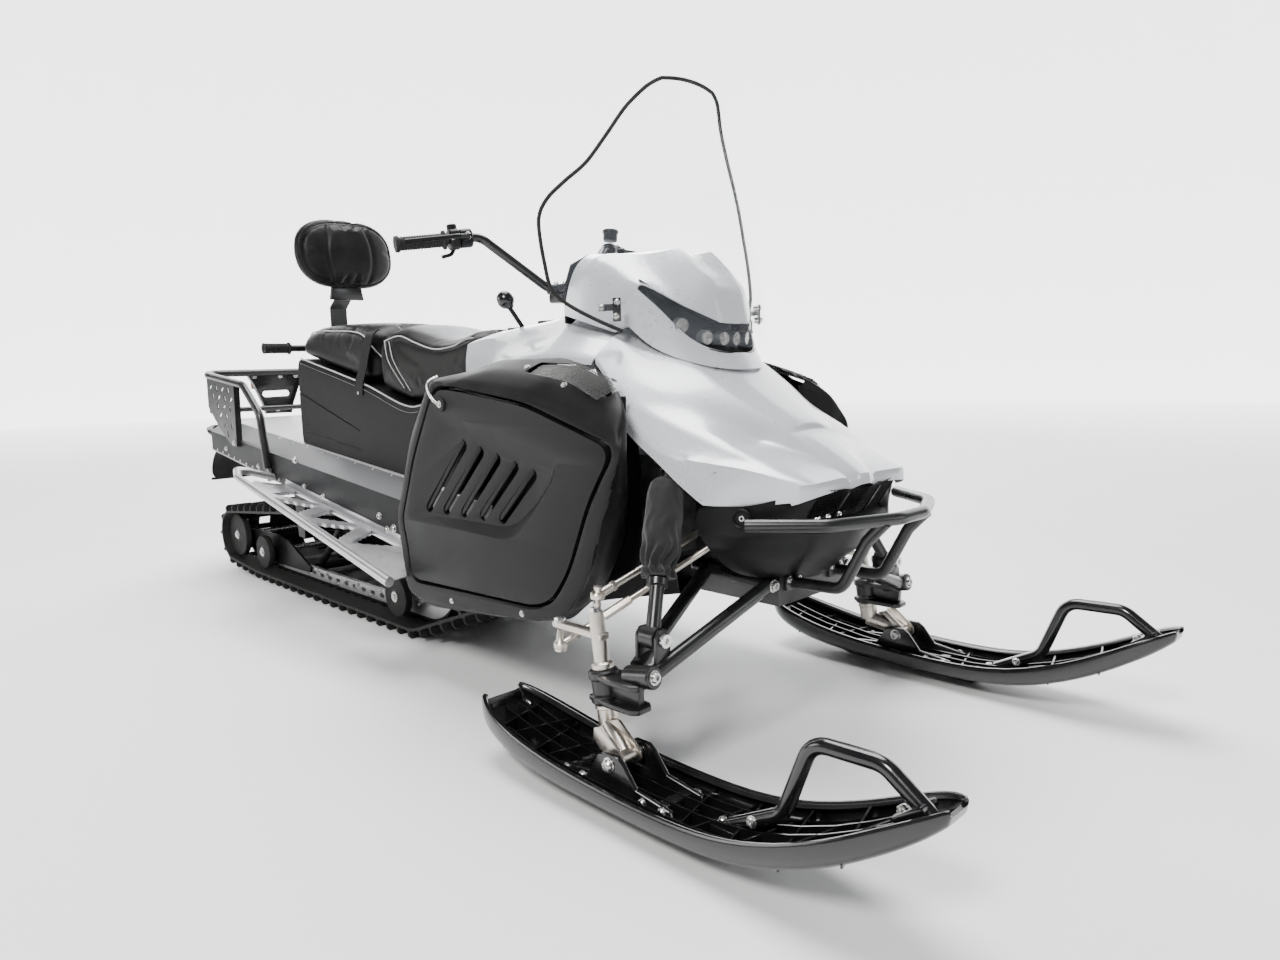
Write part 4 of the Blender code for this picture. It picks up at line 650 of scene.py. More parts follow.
def ringSheet(rings, between=3, closed=True, caps=False):
    # a smooth sheet through matching rings, each column along a spline
    columns = [smoothLine([ring[k] for ring in rings], (len(rings) - 1) * between + 1) if between > 1
               else [Vector(ring[k]) for ring in rings] for k in range(len(rings[0]))]
    rows, width = len(columns[0]), len(columns)
    points = [columns[k][i] for i in range(rows) for k in range(width)]
    faces = []
    for i in range(rows - 1):
        for k in range(width if closed else width - 1):
            j = (k + 1) % width
            faces.append((i * width + k, i * width + j, (i + 1) * width + j, (i + 1) * width + k))
    if caps:
        faces += [tuple(range(width)), tuple(range((rows - 1) * width, rows * width))]
    return meshPiece(points, faces)


# Finishes of the carried-over nodes

nodeFinish = {
    "bodyGloss": "hood headlight_pod console",
    "moulding": "track_arm_front track_arm_rear idler_carrier_left idler_carrier_right seat_base "
                "side_cover_left side_cover_right side_door_left side_door_right belly_pan nose dash gear_lever",
    "mouldingSatin": "control_left control_right",
    "castGrey": "engine_block drive_axle track_shock",
    "rubber": "snow_flap passenger_handle grip_left grip_right front_bogie_wheels "
              "rear_bogie_wheels idler_wheels",
    "trackRubber": "track",
    "railMetal": "slide_rails",
    "boardMetal": "running_board_left running_board_right",
    "tubeCoat": "rack_rail rack_bracket rear_bumper "
                "backrest_post bulkhead front_bumper handlebar a_arm_left a_arm_right",
    "tunnelCoat": "tunnel",
    "zinc": "upper_link_left upper_link_right spindle_left spindle_right tie_rod_left tie_rod_right",
    "skiGloss": "ski_left ski_right",
    "seatVinyl": "seat_front_cushion seat_rear_cushion backrest_pad",
    "cloth": "shock_left shock_right",
    "screenClear": "windshield",
    "lampRed": "tail_lamp",
}
for finish, names in nodeFinish.items():
    for name in names.split():
        nodes[name].data.materials.clear()
        nodes[name].data.materials.append(finishes[finish])


# The studio and the photograph's view

studio = {
    "cameraPlace": (2.099, -1.493, 0.774),
    "cameraRight": (0.7035, 0.7103, -0.0225),
    "cameraUp": (-0.0784, 0.1089, 0.9909),
    "cameraBack": (0.7064, -0.6954, 0.1323),
    "lens": 24.86,
    "floorSize": 40.0,
    "floorColour": (0.93, 0.93, 0.93),
    "floorGlow": 1.5,
    "screenReach": 14.0,
    "screenHeight": 12.0,
    "screenGlow": 2.4,
    "skyColour": (0.90, 0.93, 1.0),
    "skyStrength": 0.16,
    # name: place, size, power, colour
    "lights": (
        ("keyLight", (2.4, -4.4, 4.6), 1.6, 340, (1.0, 0.985, 0.96)),
        ("frontLight", (5.4, 2.2, 2.2), 2.0, 40, (0.96, 0.98, 1.0)),
        ("topLight", (-0.6, 0.6, 5.2), 4.0, 520, (1.0, 1.0, 1.0)),
        ("rimLight", (-3.6, 3.6, 3.0), 3.0, 160, (0.93, 0.96, 1.0)),
        ("sideLight", (-3.2, -3.8, 1.6), 2.0, 60, (1.0, 0.99, 0.97)),
    ),
}


def makeStudio():
    data = bpy.data.cameras.new("photoView")
    data.sensor_width, data.lens = 36.0, studio["lens"]
    data.clip_start = 0.01
    camera = bpy.data.objects.new("photoView", data)
    bpy.context.scene.collection.objects.link(camera)
    turn = Matrix((studio["cameraRight"], studio["cameraUp"], studio["cameraBack"])).transposed()
    camera.matrix_world = Matrix.Translation(studio["cameraPlace"]) @ turn.to_4x4()
    bpy.context.scene.camera = camera

    half = studio["floorSize"] / 2
    corners = [(-half, -half, 0), (half, -half, 0), (half, half, 0), (-half, half, 0)]
    floor = meshPiece(corners, [(0, 1, 2, 3)])
    floor.name = floor.data.name = "studioFloor"
    material, graph, shader = newFinish("studioFloor", studio["floorColour"], 0.6)
    cloud = grain(graph, 0.8, 3.0)
    # the floor brightens away from the machine, so that no edge shows against the screen
    far = graph.add("ShaderNodeTexCoord", output="Object")
    reach = graph.add("ShaderNodeVectorMath", {"operation": "LENGTH"}, [far], 1)
    glow = graph.mixed(reach.over(2.6, 9.0), (0, 0, 0), (1, 1, 1))
    graph.tree.links.new(glow.socket, shader.inputs["Emission Color"])
    shader.inputs["Emission Strength"].default_value = studio["floorGlow"]
    feed(graph, shader, roughness=cloud * 0.1 + 0.55)
    floor.data.materials.append(material)

    # a bright curved screen behind the machine, as in a studio
    screen = []
    for k in range(25):
        angle = math.radians(72 + 114 * k / 24)
        screen.append((math.cos(angle) * studio["screenReach"], math.sin(angle) * studio["screenReach"]))
    points = [(x, y, z) for x, y in screen for z in (0.0, studio["screenHeight"])]
    backdrop = meshPiece(points, [(2 * k, 2 * k + 2, 2 * k + 3, 2 * k + 1) for k in range(24)])
    backdrop.name = backdrop.data.name = "studioScreen"
    material, graph, shader = newFinish("studioScreen", (0.9, 0.9, 0.9), 0.9)
    shader.inputs["Emission Color"].default_value = (1.0, 1.0, 1.0, 1.0)
    shader.inputs["Emission Strength"].default_value = studio["screenGlow"]
    feed(graph, shader, roughness=grain(graph, 0.5, 2.0) * 0.05 + 0.85)
    backdrop.data.materials.append(material)

    world = bpy.data.worlds.new("studioSky")
    world.use_nodes = True
    sky = world.node_tree.nodes["Background"]
    sky.inputs["Color"].default_value = (*studio["skyColour"], 1.0)
    sky.inputs["Strength"].default_value = studio["skyStrength"]
    bpy.context.scene.world = world
    for name, spot, size, power, colour in studio["lights"]:
        lamp = bpy.data.lights.new(name, "AREA")
        lamp.shape, lamp.size, lamp.energy, lamp.color = "DISK", size, power, colour
        obj = bpy.data.objects.new(name, lamp)
        bpy.context.scene.collection.objects.link(obj)
        aim = Vector((0, 0, 0.5)) - Vector(spot)
        obj.matrix_world = Matrix.Translation(spot) @ aim.to_track_quat("-Z", "Y").to_matrix().to_4x4()


makeStudio()
print("studio set")
# The hood, a folded moulding: line A along the scoop, a soft valley B, creases C and D,
# then the lower edge; a step ends the scoop and a lip turns down in front

hoodSizes = {"wall": 0.0035, "levels": 2}


def makeHood():
    # each station from the middle outward: middle, inner crease, A, B, C, D, edge
    rows = [
        [(-0.300, 0.000, 0.870), (-0.300, 0.050, 0.868), (-0.300, 0.120, 0.860), (-0.303, 0.200, 0.833),
         (-0.308, 0.240, 0.803), (-0.308, 0.258, 0.786), (-0.300, 0.262, 0.772)],
        [(-0.225, 0.000, 0.822), (-0.225, 0.050, 0.820), (-0.222, 0.124, 0.804), (-0.235, 0.210, 0.768),
         (-0.240, 0.255, 0.742), (-0.238, 0.270, 0.730), (-0.236, 0.274, 0.722)],
        [(-0.130, 0.000, 0.762), (-0.130, 0.050, 0.760), (-0.124, 0.124, 0.740), (-0.170, 0.220, 0.726),
         (-0.190, 0.276, 0.682), (-0.214, 0.286, 0.684), (-0.231, 0.284, 0.690)],
        [(-0.085, 0.000, 0.728), (-0.085, 0.047, 0.726), (-0.075, 0.112, 0.710), (-0.110, 0.196, 0.692),
         (-0.125, 0.258, 0.664), (-0.150, 0.290, 0.630), (-0.186, 0.291, 0.634)],
        [(-0.020, 0.000, 0.688), (-0.020, 0.040, 0.686), (-0.012, 0.096, 0.671), (-0.050, 0.160, 0.657),
         (-0.034, 0.228, 0.634), (-0.085, 0.292, 0.596), (-0.118, 0.300, 0.602)],
        [(0.046, 0.000, 0.648), (0.046, 0.034, 0.645), (0.046, 0.079, 0.633), (0.010, 0.122, 0.617),
         (0.030, 0.206, 0.604), (-0.020, 0.267, 0.588), (-0.050, 0.288, 0.545)],
        [(0.050, 0.000, 0.632), (0.052, 0.034, 0.630), (0.058, 0.076, 0.624), (0.040, 0.105, 0.609),
         (0.070, 0.190, 0.585), (0.025, 0.244, 0.582), (-0.004, 0.271, 0.506)],
        [(0.110, 0.000, 0.598), (0.110, 0.026, 0.596), (0.110, 0.058, 0.586), (0.100, 0.076, 0.586),
         (0.120, 0.177, 0.565), (0.085, 0.212, 0.571), (0.066, 0.222, 0.504)],
        [(0.176, 0.000, 0.553), (0.174, 0.020, 0.552), (0.166, 0.042, 0.545), (0.164, 0.060, 0.549),
         (0.167, 0.163, 0.548), (0.152, 0.184, 0.546), (0.135, 0.188, 0.514)],
    ]
    front = [(x + 0.003, y, z - 0.020) for x, y, z in rows[-1][:-1]] + [rows[-1][-1]]
    front[-3] = (0.168, 0.163, 0.522)
    front[-2] = (0.152, 0.184, 0.514)
    front[-1] = (0.137, 0.187, 0.509)
    rows.append(front)
    lines = ((1, 0.75), (2, 1.0), (3, 0.5), (4, 0.96), (5, 0.9), (6, 1.0))
    obj = gridCage(rows, lines, True, ((0, 1.0), (5, 0.9), (6, 0.9), (8, 0.9), (9, 1.0)))
    shell(obj, hoodSizes["levels"], hoodSizes["wall"])
    return finished("hoodShell", obj, "bodyGloss", replaces=["hood"])


# The headlight pod: a visor over a dark bay, a lower fairing that runs into the hood

podSizes = {"wall": 0.003, "levels": 2}


def makePod():
    points = {
        # rear rim of the dash hood, middle outward
        "k0": (-0.452, 0.000, 1.006), "k1": (-0.448, 0.080, 1.014), "k2": (-0.436, 0.140, 1.020),
        "k3": (-0.432, 0.190, 0.996), "k4": (-0.440, 0.208, 0.950), "k5": (-0.452, 0.212, 0.900),
        # ridge line from the middle to the shoulder
        "r0": (-0.262, 0.000, 1.004), "r1": (-0.254, 0.056, 1.019), "r2": (-0.306, 0.120, 0.999),
        "r3": (-0.373, 0.162, 1.018), "r4": (-0.385, 0.196, 0.985),
        # brow and visor lip
        "b0": (-0.168, 0.000, 0.938), "b1": (-0.167, 0.053, 0.938),
        "v0": (-0.138, 0.000, 0.850), "v1": (-0.143, 0.048, 0.852), "v2": (-0.190, 0.110, 0.888),
        "v3": (-0.257, 0.172, 0.945),
        # side panel below the shoulder, then the pod's foot
        "s4": (-0.360, 0.200, 0.945), "s5": (-0.370, 0.212, 0.880),
        "w3": (-0.262, 0.176, 0.925), "w2": (-0.225, 0.142, 0.882), "w1": (-0.178, 0.108, 0.814),
        "w0": (-0.135, 0.058, 0.791), "wm": (-0.128, 0.000, 0.788),
        "f3": (-0.275, 0.190, 0.850), "f2": (-0.235, 0.165, 0.800), "f1": (-0.160, 0.118, 0.768),
        "f0": (-0.112, 0.062, 0.756), "fm": (-0.106, 0.000, 0.754),
        "g3": (-0.300, 0.206, 0.838), "g4": (-0.372, 0.216, 0.858), "g5": (-0.450, 0.216, 0.880),
    }
    upper = [
        "k0 k1 r1 r0", "k1 k2 r2 r1", "k2 k3 r3 r2", "k3 k4 r4 r3",
        "r0 r1 b1 b0", "b0 b1 v1 v0", "r1 r2 v2 b1", "b1 v2 v1", "r2 r3 v3 v2", "r3 r4 v3",
        "k4 s4 r4", "r4 s4 w3 v3", "k4 k5 s5 s4", "s4 s5 f3 w3",
        "w3 f3 f2 w2", "w2 f2 f1 w1", "w1 f1 f0 w0", "w0 f0 fm wm",
        "s5 g4 g3 f3", "k5 g5 g4 s5",
    ]
    creases = [
        ("r0 r1 r2 r3 r4", 0.92), ("r1 b1", 0.95), ("b0 b1", 0.9), ("b1 v2", 0.5),
        ("v0 v1 v2 v3 w3 w2 w1 w0 wm", 0.9), ("k0 k1 k2 k3 k4 k5 g5", 1.0), ("g5 g4 g3 f3 f2 f1 f0 fm", 1.0),
        ("r4 s4", 0.8), ("s4 w3", 0.8), ("b1 v1", 0.8), ("w3 f3", 0.5),
    ]
    obj = cage(points, upper, creases)
    shell(obj, podSizes["levels"], podSizes["wall"])
    return finished("podShell", obj, "bodyGloss", replaces=["headlight_pod"])


makeHood()
makePod()
print("hood and pod made")
# The windshield: one clear sheet that wraps the pod, its edge in a black trim

screenSizes = {"sheet": 0.0035, "columns": 17, "trimRadius": 0.0042}
# from the top down: the middle's x and z, then the edge's x, half width and z
screenRows = (
    ((-0.262, 1.370), (-0.270, 0.082, 1.363)),
    ((-0.258, 1.352), (-0.277, 0.104, 1.351)),
    ((-0.254, 1.336), (-0.287, 0.122, 1.336)),
    ((-0.246, 1.299), (-0.307, 0.154, 1.299)),
    ((-0.236, 1.245), (-0.322, 0.192, 1.245)),
    ((-0.225, 1.184), (-0.338, 0.238, 1.184)),
    ((-0.216, 1.146), (-0.358, 0.278, 1.146)),
    ((-0.206, 1.110), (-0.376, 0.312, 1.110)),
    ((-0.197, 1.075), (-0.383, 0.330, 1.075)),
    ((-0.184, 1.034), (-0.378, 0.335, 1.034)),
    ((-0.164, 0.974), (-0.367, 0.333, 0.974)),
    ((-0.146, 0.926), (-0.358, 0.326, 0.926)),
    ((-0.130, 0.884), (-0.342, 0.300, 0.896)),
    ((-0.110, 0.838), (-0.306, 0.256, 0.864)),
    ((-0.092, 0.800), (-0.268, 0.214, 0.838)),
)


def makeScreen():
    count = screenSizes["columns"]
    rows = []
    for (middleX, middleZ), (edgeX, half, edgeZ) in screenRows:
        row = []
        for k in range(count):
            u = 2 * k / (count - 1) - 1
            bend = abs(u) ** 2.1
            row.append((middleX + (edgeX - middleX) * bend, half * u, middleZ + (edgeZ - middleZ) * bend))
        rows.append(row)
    sheet = gridCage(rows, mirror=False)
    shell(sheet, 2, screenSizes["sheet"], 0.0)
    finished("screenSheet", sheet, "screenClear", replaces=["windshield"])

    edge = [row[0] for row in rows]
    line = edge[::-1] + rows[0][1:-1] + [row[-1] for row in rows]
    trim = pipe(smoothLine(line, 150), screenSizes["trimRadius"], resolution=3)
    finished("screenTrim", trim, "rubber")


# The brackets that hold the screen to the pod's sides: a strap, a bar and three bolts


def makeScreenBrackets():
    for label, side in sides:
        spots = onSide([(-0.292, 0.248, 0.886), (-0.262, 0.232, 0.896), (-0.262, 0.236, 0.868)], side)
        bolts = []
        out = Vector((0.55, side * 0.83, 0.05)).normalized()
        for spot in spots:
            bolts.append(turned([(0.001, 0.0085), (0.0045, 0.008), (0.0066, 0.005), (0.0072, 0.0),
                                 (0.0072, -0.014)], spot, out, 20))
        finished("screenBolts_" + label, joined(bolts), "boltMetal")
        along = [(-0.300, 0.2475), (-0.283, 0.2445), (-0.273, 0.238), (-0.258, 0.2295)]
        strip = plate([(x, side * (y + 0.003)) for x, y in along] +
                      [(x, side * (y + 0.0005)) for x, y in along[::-1]], 0.879, 0.893, "z")
        bar = plate([(-0.270, 0.857), (-0.253, 0.857), (-0.253, 0.905), (-0.270, 0.905)],
                    -0.0012, 0.0012, "y", bevel=0.0004)
        turn = Matrix.Rotation(math.radians(-33 * side), 4, "Z")
        bar.data.transform(Matrix.Translation((-0.2615, side * 0.2345, 0)) @ turn
                           @ Matrix.Translation((0.2615, 0, 0)))
        finished("screenStrap_" + label, joined([strip, bar]), "tubeCoat")


makeScreen()
makeScreenBrackets()
print("windshield made")


# Soft parts: each pad is a shaped cage, swelled by a short cloth simulation, then its seams
# are drawn in and piped

softSizes = {"voxel": 0.0065, "frames": 20, "pressure": 4.0, "seamDepth": 0.0045, "seamReach": 0.008}


def swelled(obj, cap, floorAt, fade=0.05):
    # floorAt(x) is the height of what the pad rests on; points near it stay where they are
    modified(obj, "REMESH", mode="VOXEL", voxel_size=softSizes["voxel"], use_smooth_shade=True)
    obj = baked(obj)
    modified(obj, "SMOOTH", factor=0.5, iterations=4)
    obj = baked(obj)
    start = np.array([v.co for v in obj.data.vertices])
    cloth = obj.modifiers.new("cloth", "CLOTH")
    settings = cloth.settings
    settings.use_pressure = True
    settings.uniform_pressure_force = softSizes["pressure"]
    settings.effector_weights.gravity = 0.0
    settings.tension_stiffness = settings.compression_stiffness = 12.0
    settings.bending_stiffness = 0.6
    settings.quality = 4
    cloth.point_cache.frame_start, cloth.point_cache.frame_end = 1, softSizes["frames"]
    for number in range(1, softSizes["frames"] + 1):
        bpy.context.scene.frame_set(number)
    obj = baked(obj)
    bpy.context.scene.frame_set(1)
    end = np.array([v.co for v in obj.data.vertices])
    moved = end - start
    length = np.linalg.norm(moved, axis=1, keepdims=True)
    moved *= np.minimum(1.0, cap / np.maximum(length, 1e-9))
    above = np.array([p[2] - floorAt(p[0]) for p in start])
    moved *= np.clip(above / fade, 0.0, 1.0)[:, None]
    for vertex, place in zip(obj.data.vertices, start + moved):
        vertex.co = place
    return baked(subdivided(obj, 1))


def drawnIn(obj, lines, depth=None, reach=None):
    # presses a groove along each line, along the surface's own normals
    depth, reach = depth or softSizes["seamDepth"], reach or softSizes["seamReach"]
    mesh = obj.data
    places = np.array([v.co for v in mesh.vertices])
    normals = np.array([v.normal for v in mesh.vertices])
    nearest = np.full(len(places), 9.0)
    for line in lines:
        for spot in smoothLine(line, 90):
            nearest = np.minimum(nearest, np.linalg.norm(places - np.array(spot), axis=1))
    places -= normals * (depth * np.exp(-((nearest / reach) ** 2)))[:, None]
    for vertex, spot in zip(mesh.vertices, places):
        vertex.co = spot
    mesh.update()
    return obj


def cast(obj, points, direction, lift=0.0):
    # lays points on the surface, looking along a direction from far off
    bm = bmesh.new()
    bm.from_mesh(obj.data)
    tree = BVHTree.FromBMesh(bm)
    bm.free()
    direction = Vector(direction).normalized()
    found = []
    for point in points:
        hit, normal, _, _ = tree.ray_cast(Vector(point) - direction * 2.0, direction)
        if hit:
            found.append(hit + normal * lift)
    return found


def stitchTree():
    graph, source = geometryTree("stitches", (("Spacing", "Float", 0.006), ("Length", "Float", 0.0042),
                                              ("Radius", "Float", 0.0006)))
    along = graph.add("GeometryNodeResampleCurve", {"mode": "LENGTH"},
                      {"Curve": source.out("Geometry"), "Length": source.out("Spacing")})
    thread = graph.add("GeometryNodeMeshCylinder", {"fill_type": "TRIANGLE_FAN"},
                       {"Vertices": 6, "Radius": source.out("Radius"), "Depth": source.out("Length")},
                       "Mesh")
    tangent = graph.add("GeometryNodeInputTangent")
    turn = graph.add("FunctionNodeAlignRotationToVector", {"axis": "Z"}, {"Vector": tangent})
    laid = graph.add("GeometryNodeInstanceOnPoints", None,
                     {"Points": along, "Instance": thread, "Rotation": turn})
    closeTree(graph, laid, "threadGrey")
    return graph


def curveThrough(lines):
    curve = bpy.data.curves.new("line", "CURVE")
    curve.dimensions = "3D"
    for line in lines:
        spline = curve.splines.new("POLY")
        spline.points.add(len(line) - 1)
        for point, p in zip(spline.points, line):
            point.co = (*p, 1)
    obj = bpy.data.objects.new("line", curve)
    bpy.context.scene.collection.objects.link(obj)
    return obj


# the seat base's upper edge from the side
baseTop = ((-1.900, 0.824), (-1.862, 0.812), (-1.442, 0.729), (-1.171, 0.663), (-1.010, 0.712), (-0.880, 0.740))


def baseHeight(x):
    for (a, low), (b, high) in zip(baseTop, baseTop[1:]):
        if x <= b:
            break
    return low + (high - low) * (x - a) / (b - a)


def padSection(x, low, high, half, crown, shoulder):
    # half of a cushion's cross-section: bottom middle round to top middle
    return [
        (x, 0.0, low), (x, half * 0.80, low), (x, half * 0.985, low + 0.010),
        (x, half, low + (high - low) * 0.45), (x, half * 0.985, high - shoulder * 1.1),
        (x, half * 0.90, high - shoulder * 0.25), (x, half * 0.62, high + crown * 0.55), (x, 0.0, high + crown),
    ]


def closedEnds(obj):
    # caps the open ends of a cage and points its faces outward
    bm = bmesh.new()
    bm.from_mesh(obj.data)
    bmesh.ops.holes_fill(bm, edges=[e for e in bm.edges if e.is_boundary])
    bmesh.ops.recalc_face_normals(bm, faces=bm.faces)
    bm.to_mesh(obj.data)
    bm.free()
    return obj


def padFrom(stations):
    # closes the sections of a cushion into one body
    cage = gridCage([padSection(*station) for station in stations])
    return baked(subdivided(closedEnds(cage), 2))


def makeSeat():
    lift = 0.0025
    rear = []
    for x, top, half, crown, shoulder in (
        (-1.893, 0.868, 0.170, 0.004, 0.020), (-1.878, 0.898, 0.178, 0.008, 0.026),
        (-1.800, 0.908, 0.182, 0.012, 0.030), (-1.600, 0.902, 0.183, 0.014, 0.032),
        (-1.460, 0.893, 0.182, 0.016, 0.034), (-1.380, 0.880, 0.178, 0.020, 0.040),
    ):
        rear.append((x, max(baseHeight(x), baseHeight(-1.442)) + lift if x > -1.442 else baseHeight(x) + lift,
                     top, half, crown, shoulder))
    pad = swelled(padFrom(rear), 0.007, baseHeight)
    rim = [(-1.885, 0.836), (-1.872, 0.882), (-1.840, 0.898), (-1.700, 0.896), (-1.560, 0.888),
           (-1.470, 0.872), (-1.420, 0.835), (-1.398, 0.785), (-1.392, 0.745)]
    seams = []
    for side in (-1, 1):
        seams.append(cast(pad, [(x, side, z) for x, z in rim], (0, -side, 0), 0.0006))
    drawnIn(pad, seams)
    piping = [pipe(smoothLine(line, 60), 0.0022, resolution=3) for line in seams]
    rearObj = finished("rearCushion", pad, "seatVinyl", replaces=["seat_rear_cushion"], sharp=60)
    finished("rearPiping", joined(piping), "pipingGrey")

    front = []
    for x, top, half, crown, shoulder in (
        (-1.372, 0.866, 0.176, 0.016, 0.036), (-1.350, 0.880, 0.181, 0.020, 0.034),
        (-1.270, 0.880, 0.184, 0.016, 0.028), (-1.180, 0.856, 0.182, 0.010, 0.024),
        (-1.084, 0.836, 0.176, 0.006, 0.022), (-1.000, 0.842, 0.168, 0.006, 0.022),
        (-0.930, 0.862, 0.158, 0.008, 0.022), (-0.890, 0.866, 0.146, 0.008, 0.020),
    ):
        front.append((x, baseHeight(x) + lift, top, half, crown, shoulder))
    pad = swelled(padFrom(front), 0.007, baseHeight)
    rim = [(-1.345, 0.852), (-1.270, 0.864), (-1.180, 0.842), (-1.084, 0.822), (-1.000, 0.828),
           (-0.940, 0.846), (-0.905, 0.856)]
    seams = [cast(pad, [(x, side, z) for x, z in rim], (0, -side, 0), 0.0006) for side in (-1, 1)]
    diagonals = []
    for side in (-1, 1):
        for shift in (0.0, 0.030):
            line = [(-1.340 + shift, 0.850), (-1.290 + shift, 0.790), (-1.225 + shift, 0.715 - shift * 0.3)]
            diagonals.append(cast(pad, [(x, side, z) for x, z in line], (0, -side, 0), 0.0006))
    drawnIn(pad, seams + diagonals)
    piping = [pipe(smoothLine(line, 60), 0.0020, resolution=3) for line in seams]
    piping += [pipe(smoothLine(line, 30), 0.0012, resolution=3) for line in diagonals]
    frontObj = finished("frontCushion", pad, "seatVinyl", replaces=["seat_front_cushion"], sharp=60)
    finished("frontPiping", joined(piping), "pipingGrey")


def makeBackrest():
    # a puffed pad: an egg outline across the machine, a gusset all round and three front panels
    around, middleX, middleZ = 28, -1.885, 1.165
    rings = []
    for x, scale in ((-1.924, 0.70), (-1.920, 0.90), (-1.900, 0.985), (-1.876, 0.985), (-1.858, 0.93),
                     (-1.845, 0.72)):
        ring = []
        for k in range(around):
            angle = 2 * math.pi * k / around
            c, s = math.cos(angle), math.sin(angle)
            y = 0.182 * math.copysign(abs(c) ** 0.72, c) * (1.0 if s > 0 else 1.0 - 0.10 * s * s)
            z = 0.127 * math.copysign(abs(s) ** 0.80, s)
            ring.append((x - z * 0.10, y * scale, middleZ + z * scale))
        rings.append(ring)
    points = [p for ring in rings for p in ring]
    faces = []
    for i in range(len(rings) - 1):
        for k in range(around):
            j = (k + 1) % around
            faces.append((i * around + k, i * around + j, (i + 1) * around + j, (i + 1) * around + k))
    faces.append(tuple(range(around)))
    faces.append(tuple(range((len(rings) - 1) * around, len(rings) * around)))
    pad = outward(meshPiece(points, faces))
    pad = baked(subdivided(pad, 1))
    pad = swelled(pad, 0.014, lambda x: 0.0)
    rim = []
    for k in range(41):
        angle = 2 * math.pi * k / 40
        c, s = math.cos(angle), math.sin(angle)
        rim.append((-1.5, 0.163 * math.copysign(abs(c) ** 0.75, c),
                    middleZ + 0.107 * math.copysign(abs(s) ** 0.82, s)))
    uprights = [[(-1.5, side * (0.062 + 0.020 * math.sin(t * math.pi)), middleZ + 0.104 - 0.208 * t)
                 for t in np.linspace(0, 1, 9)] for side in (-1, 1)]
    seams = [cast(pad, line, (-1, 0, 0), 0.0004) for line in (rim, *uprights)]
    drawnIn(pad, seams, 0.006, 0.009)
    welts = [pipe(smoothLine(seams[0][:-1] + [seams[0][0]], 120), 0.0022, resolution=3)]
    obj = finished("backrestPad", pad, "seatVinyl", replaces=["backrest_pad"], sharp=60)
    finished("backrestWelt", joined(welts), "seatSide")


makeSeat()
makeBackrest()
print("soft parts made")
# The side covers: a rolled panel round each service door, its upper face open under a mesh

coverSizes = {"wall": 0.004, "doorGap": 0.007, "face": 0.3852, "meshPitch": 0.0066, "wire": 0.00085}
# x, z of the door, then of the cover at the face, at its widest and at its inner rim
doorRing = (
    (-0.727, 0.724), (-0.627, 0.717), (-0.387, 0.688), (-0.127, 0.613), (-0.199, 0.510), (-0.267, 0.359),
    (-0.322, 0.292), (-0.382, 0.270), (-0.558, 0.263), (-0.874, 0.251), (-0.883, 0.340), (-0.901, 0.397),
    (-0.826, 0.565),
)
faceRing = (
    (-0.748, 0.742), (-0.627, 0.733), (-0.387, 0.704), (-0.098, 0.622), (-0.150, 0.505), (-0.215, 0.345),
    (-0.285, 0.262), (-0.382, 0.235), (-0.558, 0.222), (-0.902, 0.208), (-0.925, 0.340), (-0.935, 0.400),
    (-0.850, 0.590),
)
midRing = (
    (-0.800, 0.745), (-0.560, 0.768), (-0.340, 0.752), (-0.130, 0.690), (-0.135, 0.520), (-0.195, 0.400),
    (-0.262, 0.285), (-0.382, 0.225), (-0.558, 0.200), (-0.860, 0.170), (-0.955, 0.300), (-0.960, 0.420),
    (-0.900, 0.610),
)
rimRing = (
    (-0.840, 0.740), (-0.600, 0.786), (-0.380, 0.786), (-0.190, 0.735), (-0.172, 0.530), (-0.210, 0.410),
    (-0.275, 0.300), (-0.382, 0.215), (-0.558, 0.185), (-0.860, 0.150), (-0.962, 0.290), (-0.965, 0.425),
    (-0.915, 0.615),
)
ventRing = ((-0.440, 0.758), (-0.432, 0.7785), (-0.330, 0.774), (-0.250, 0.758), (-0.178, 0.724),
            (-0.184, 0.706), (-0.296, 0.741), (-0.388, 0.752))
# the hollow round the slots: at the face, at its floor, and the floor's depth
hollowRings = (
    ((-0.725, 0.667), (-0.690, 0.642), 0.007), ((-0.500, 0.640), (-0.520, 0.606), 0.015),
    ((-0.284, 0.591), (-0.322, 0.560), 0.019), ((-0.295, 0.550), (-0.334, 0.533), 0.020),
    ((-0.356, 0.484), (-0.388, 0.480), 0.020), ((-0.430, 0.412), (-0.452, 0.434), 0.019),
    ((-0.490, 0.398), (-0.495, 0.423), 0.017), ((-0.671, 0.402), (-0.672, 0.422), 0.011),
    ((-0.875, 0.402), (-0.852, 0.416), 0.004), ((-0.846, 0.499), (-0.828, 0.500), 0.0025),
    ((-0.794, 0.593), (-0.772, 0.586), 0.0035),
)


def slotLine(k):
    high = Vector((-0.621 + 0.0605 * k, 0.604 - 0.0128 * k))
    low = Vector((-0.793 + 0.0708 * k, 0.429 + 0.0008 * k))
    return low, high


def slotRing(k, half, shift=0.0, trim=0.0):
    # a long slot with rounded ends; shift moves it across, trim shortens it
    low, high = slotLine(k)
    along = (high - low).normalized()
    across = Vector((along.y, -along.x))
    ring = []
    for end, sense in ((high, 1), (low, -1)):
        for turn in range(5):
            angle = math.pi * turn / 4
            middle = end - along * (half + trim) * sense + across * shift
            ring.append(middle + across * half * math.cos(angle) * sense + along * half * math.sin(angle) * sense)
    return [tuple(p) for p in ring]


def onPlane(ring, y):
    return [(p[0], y, p[1]) for p in ring]


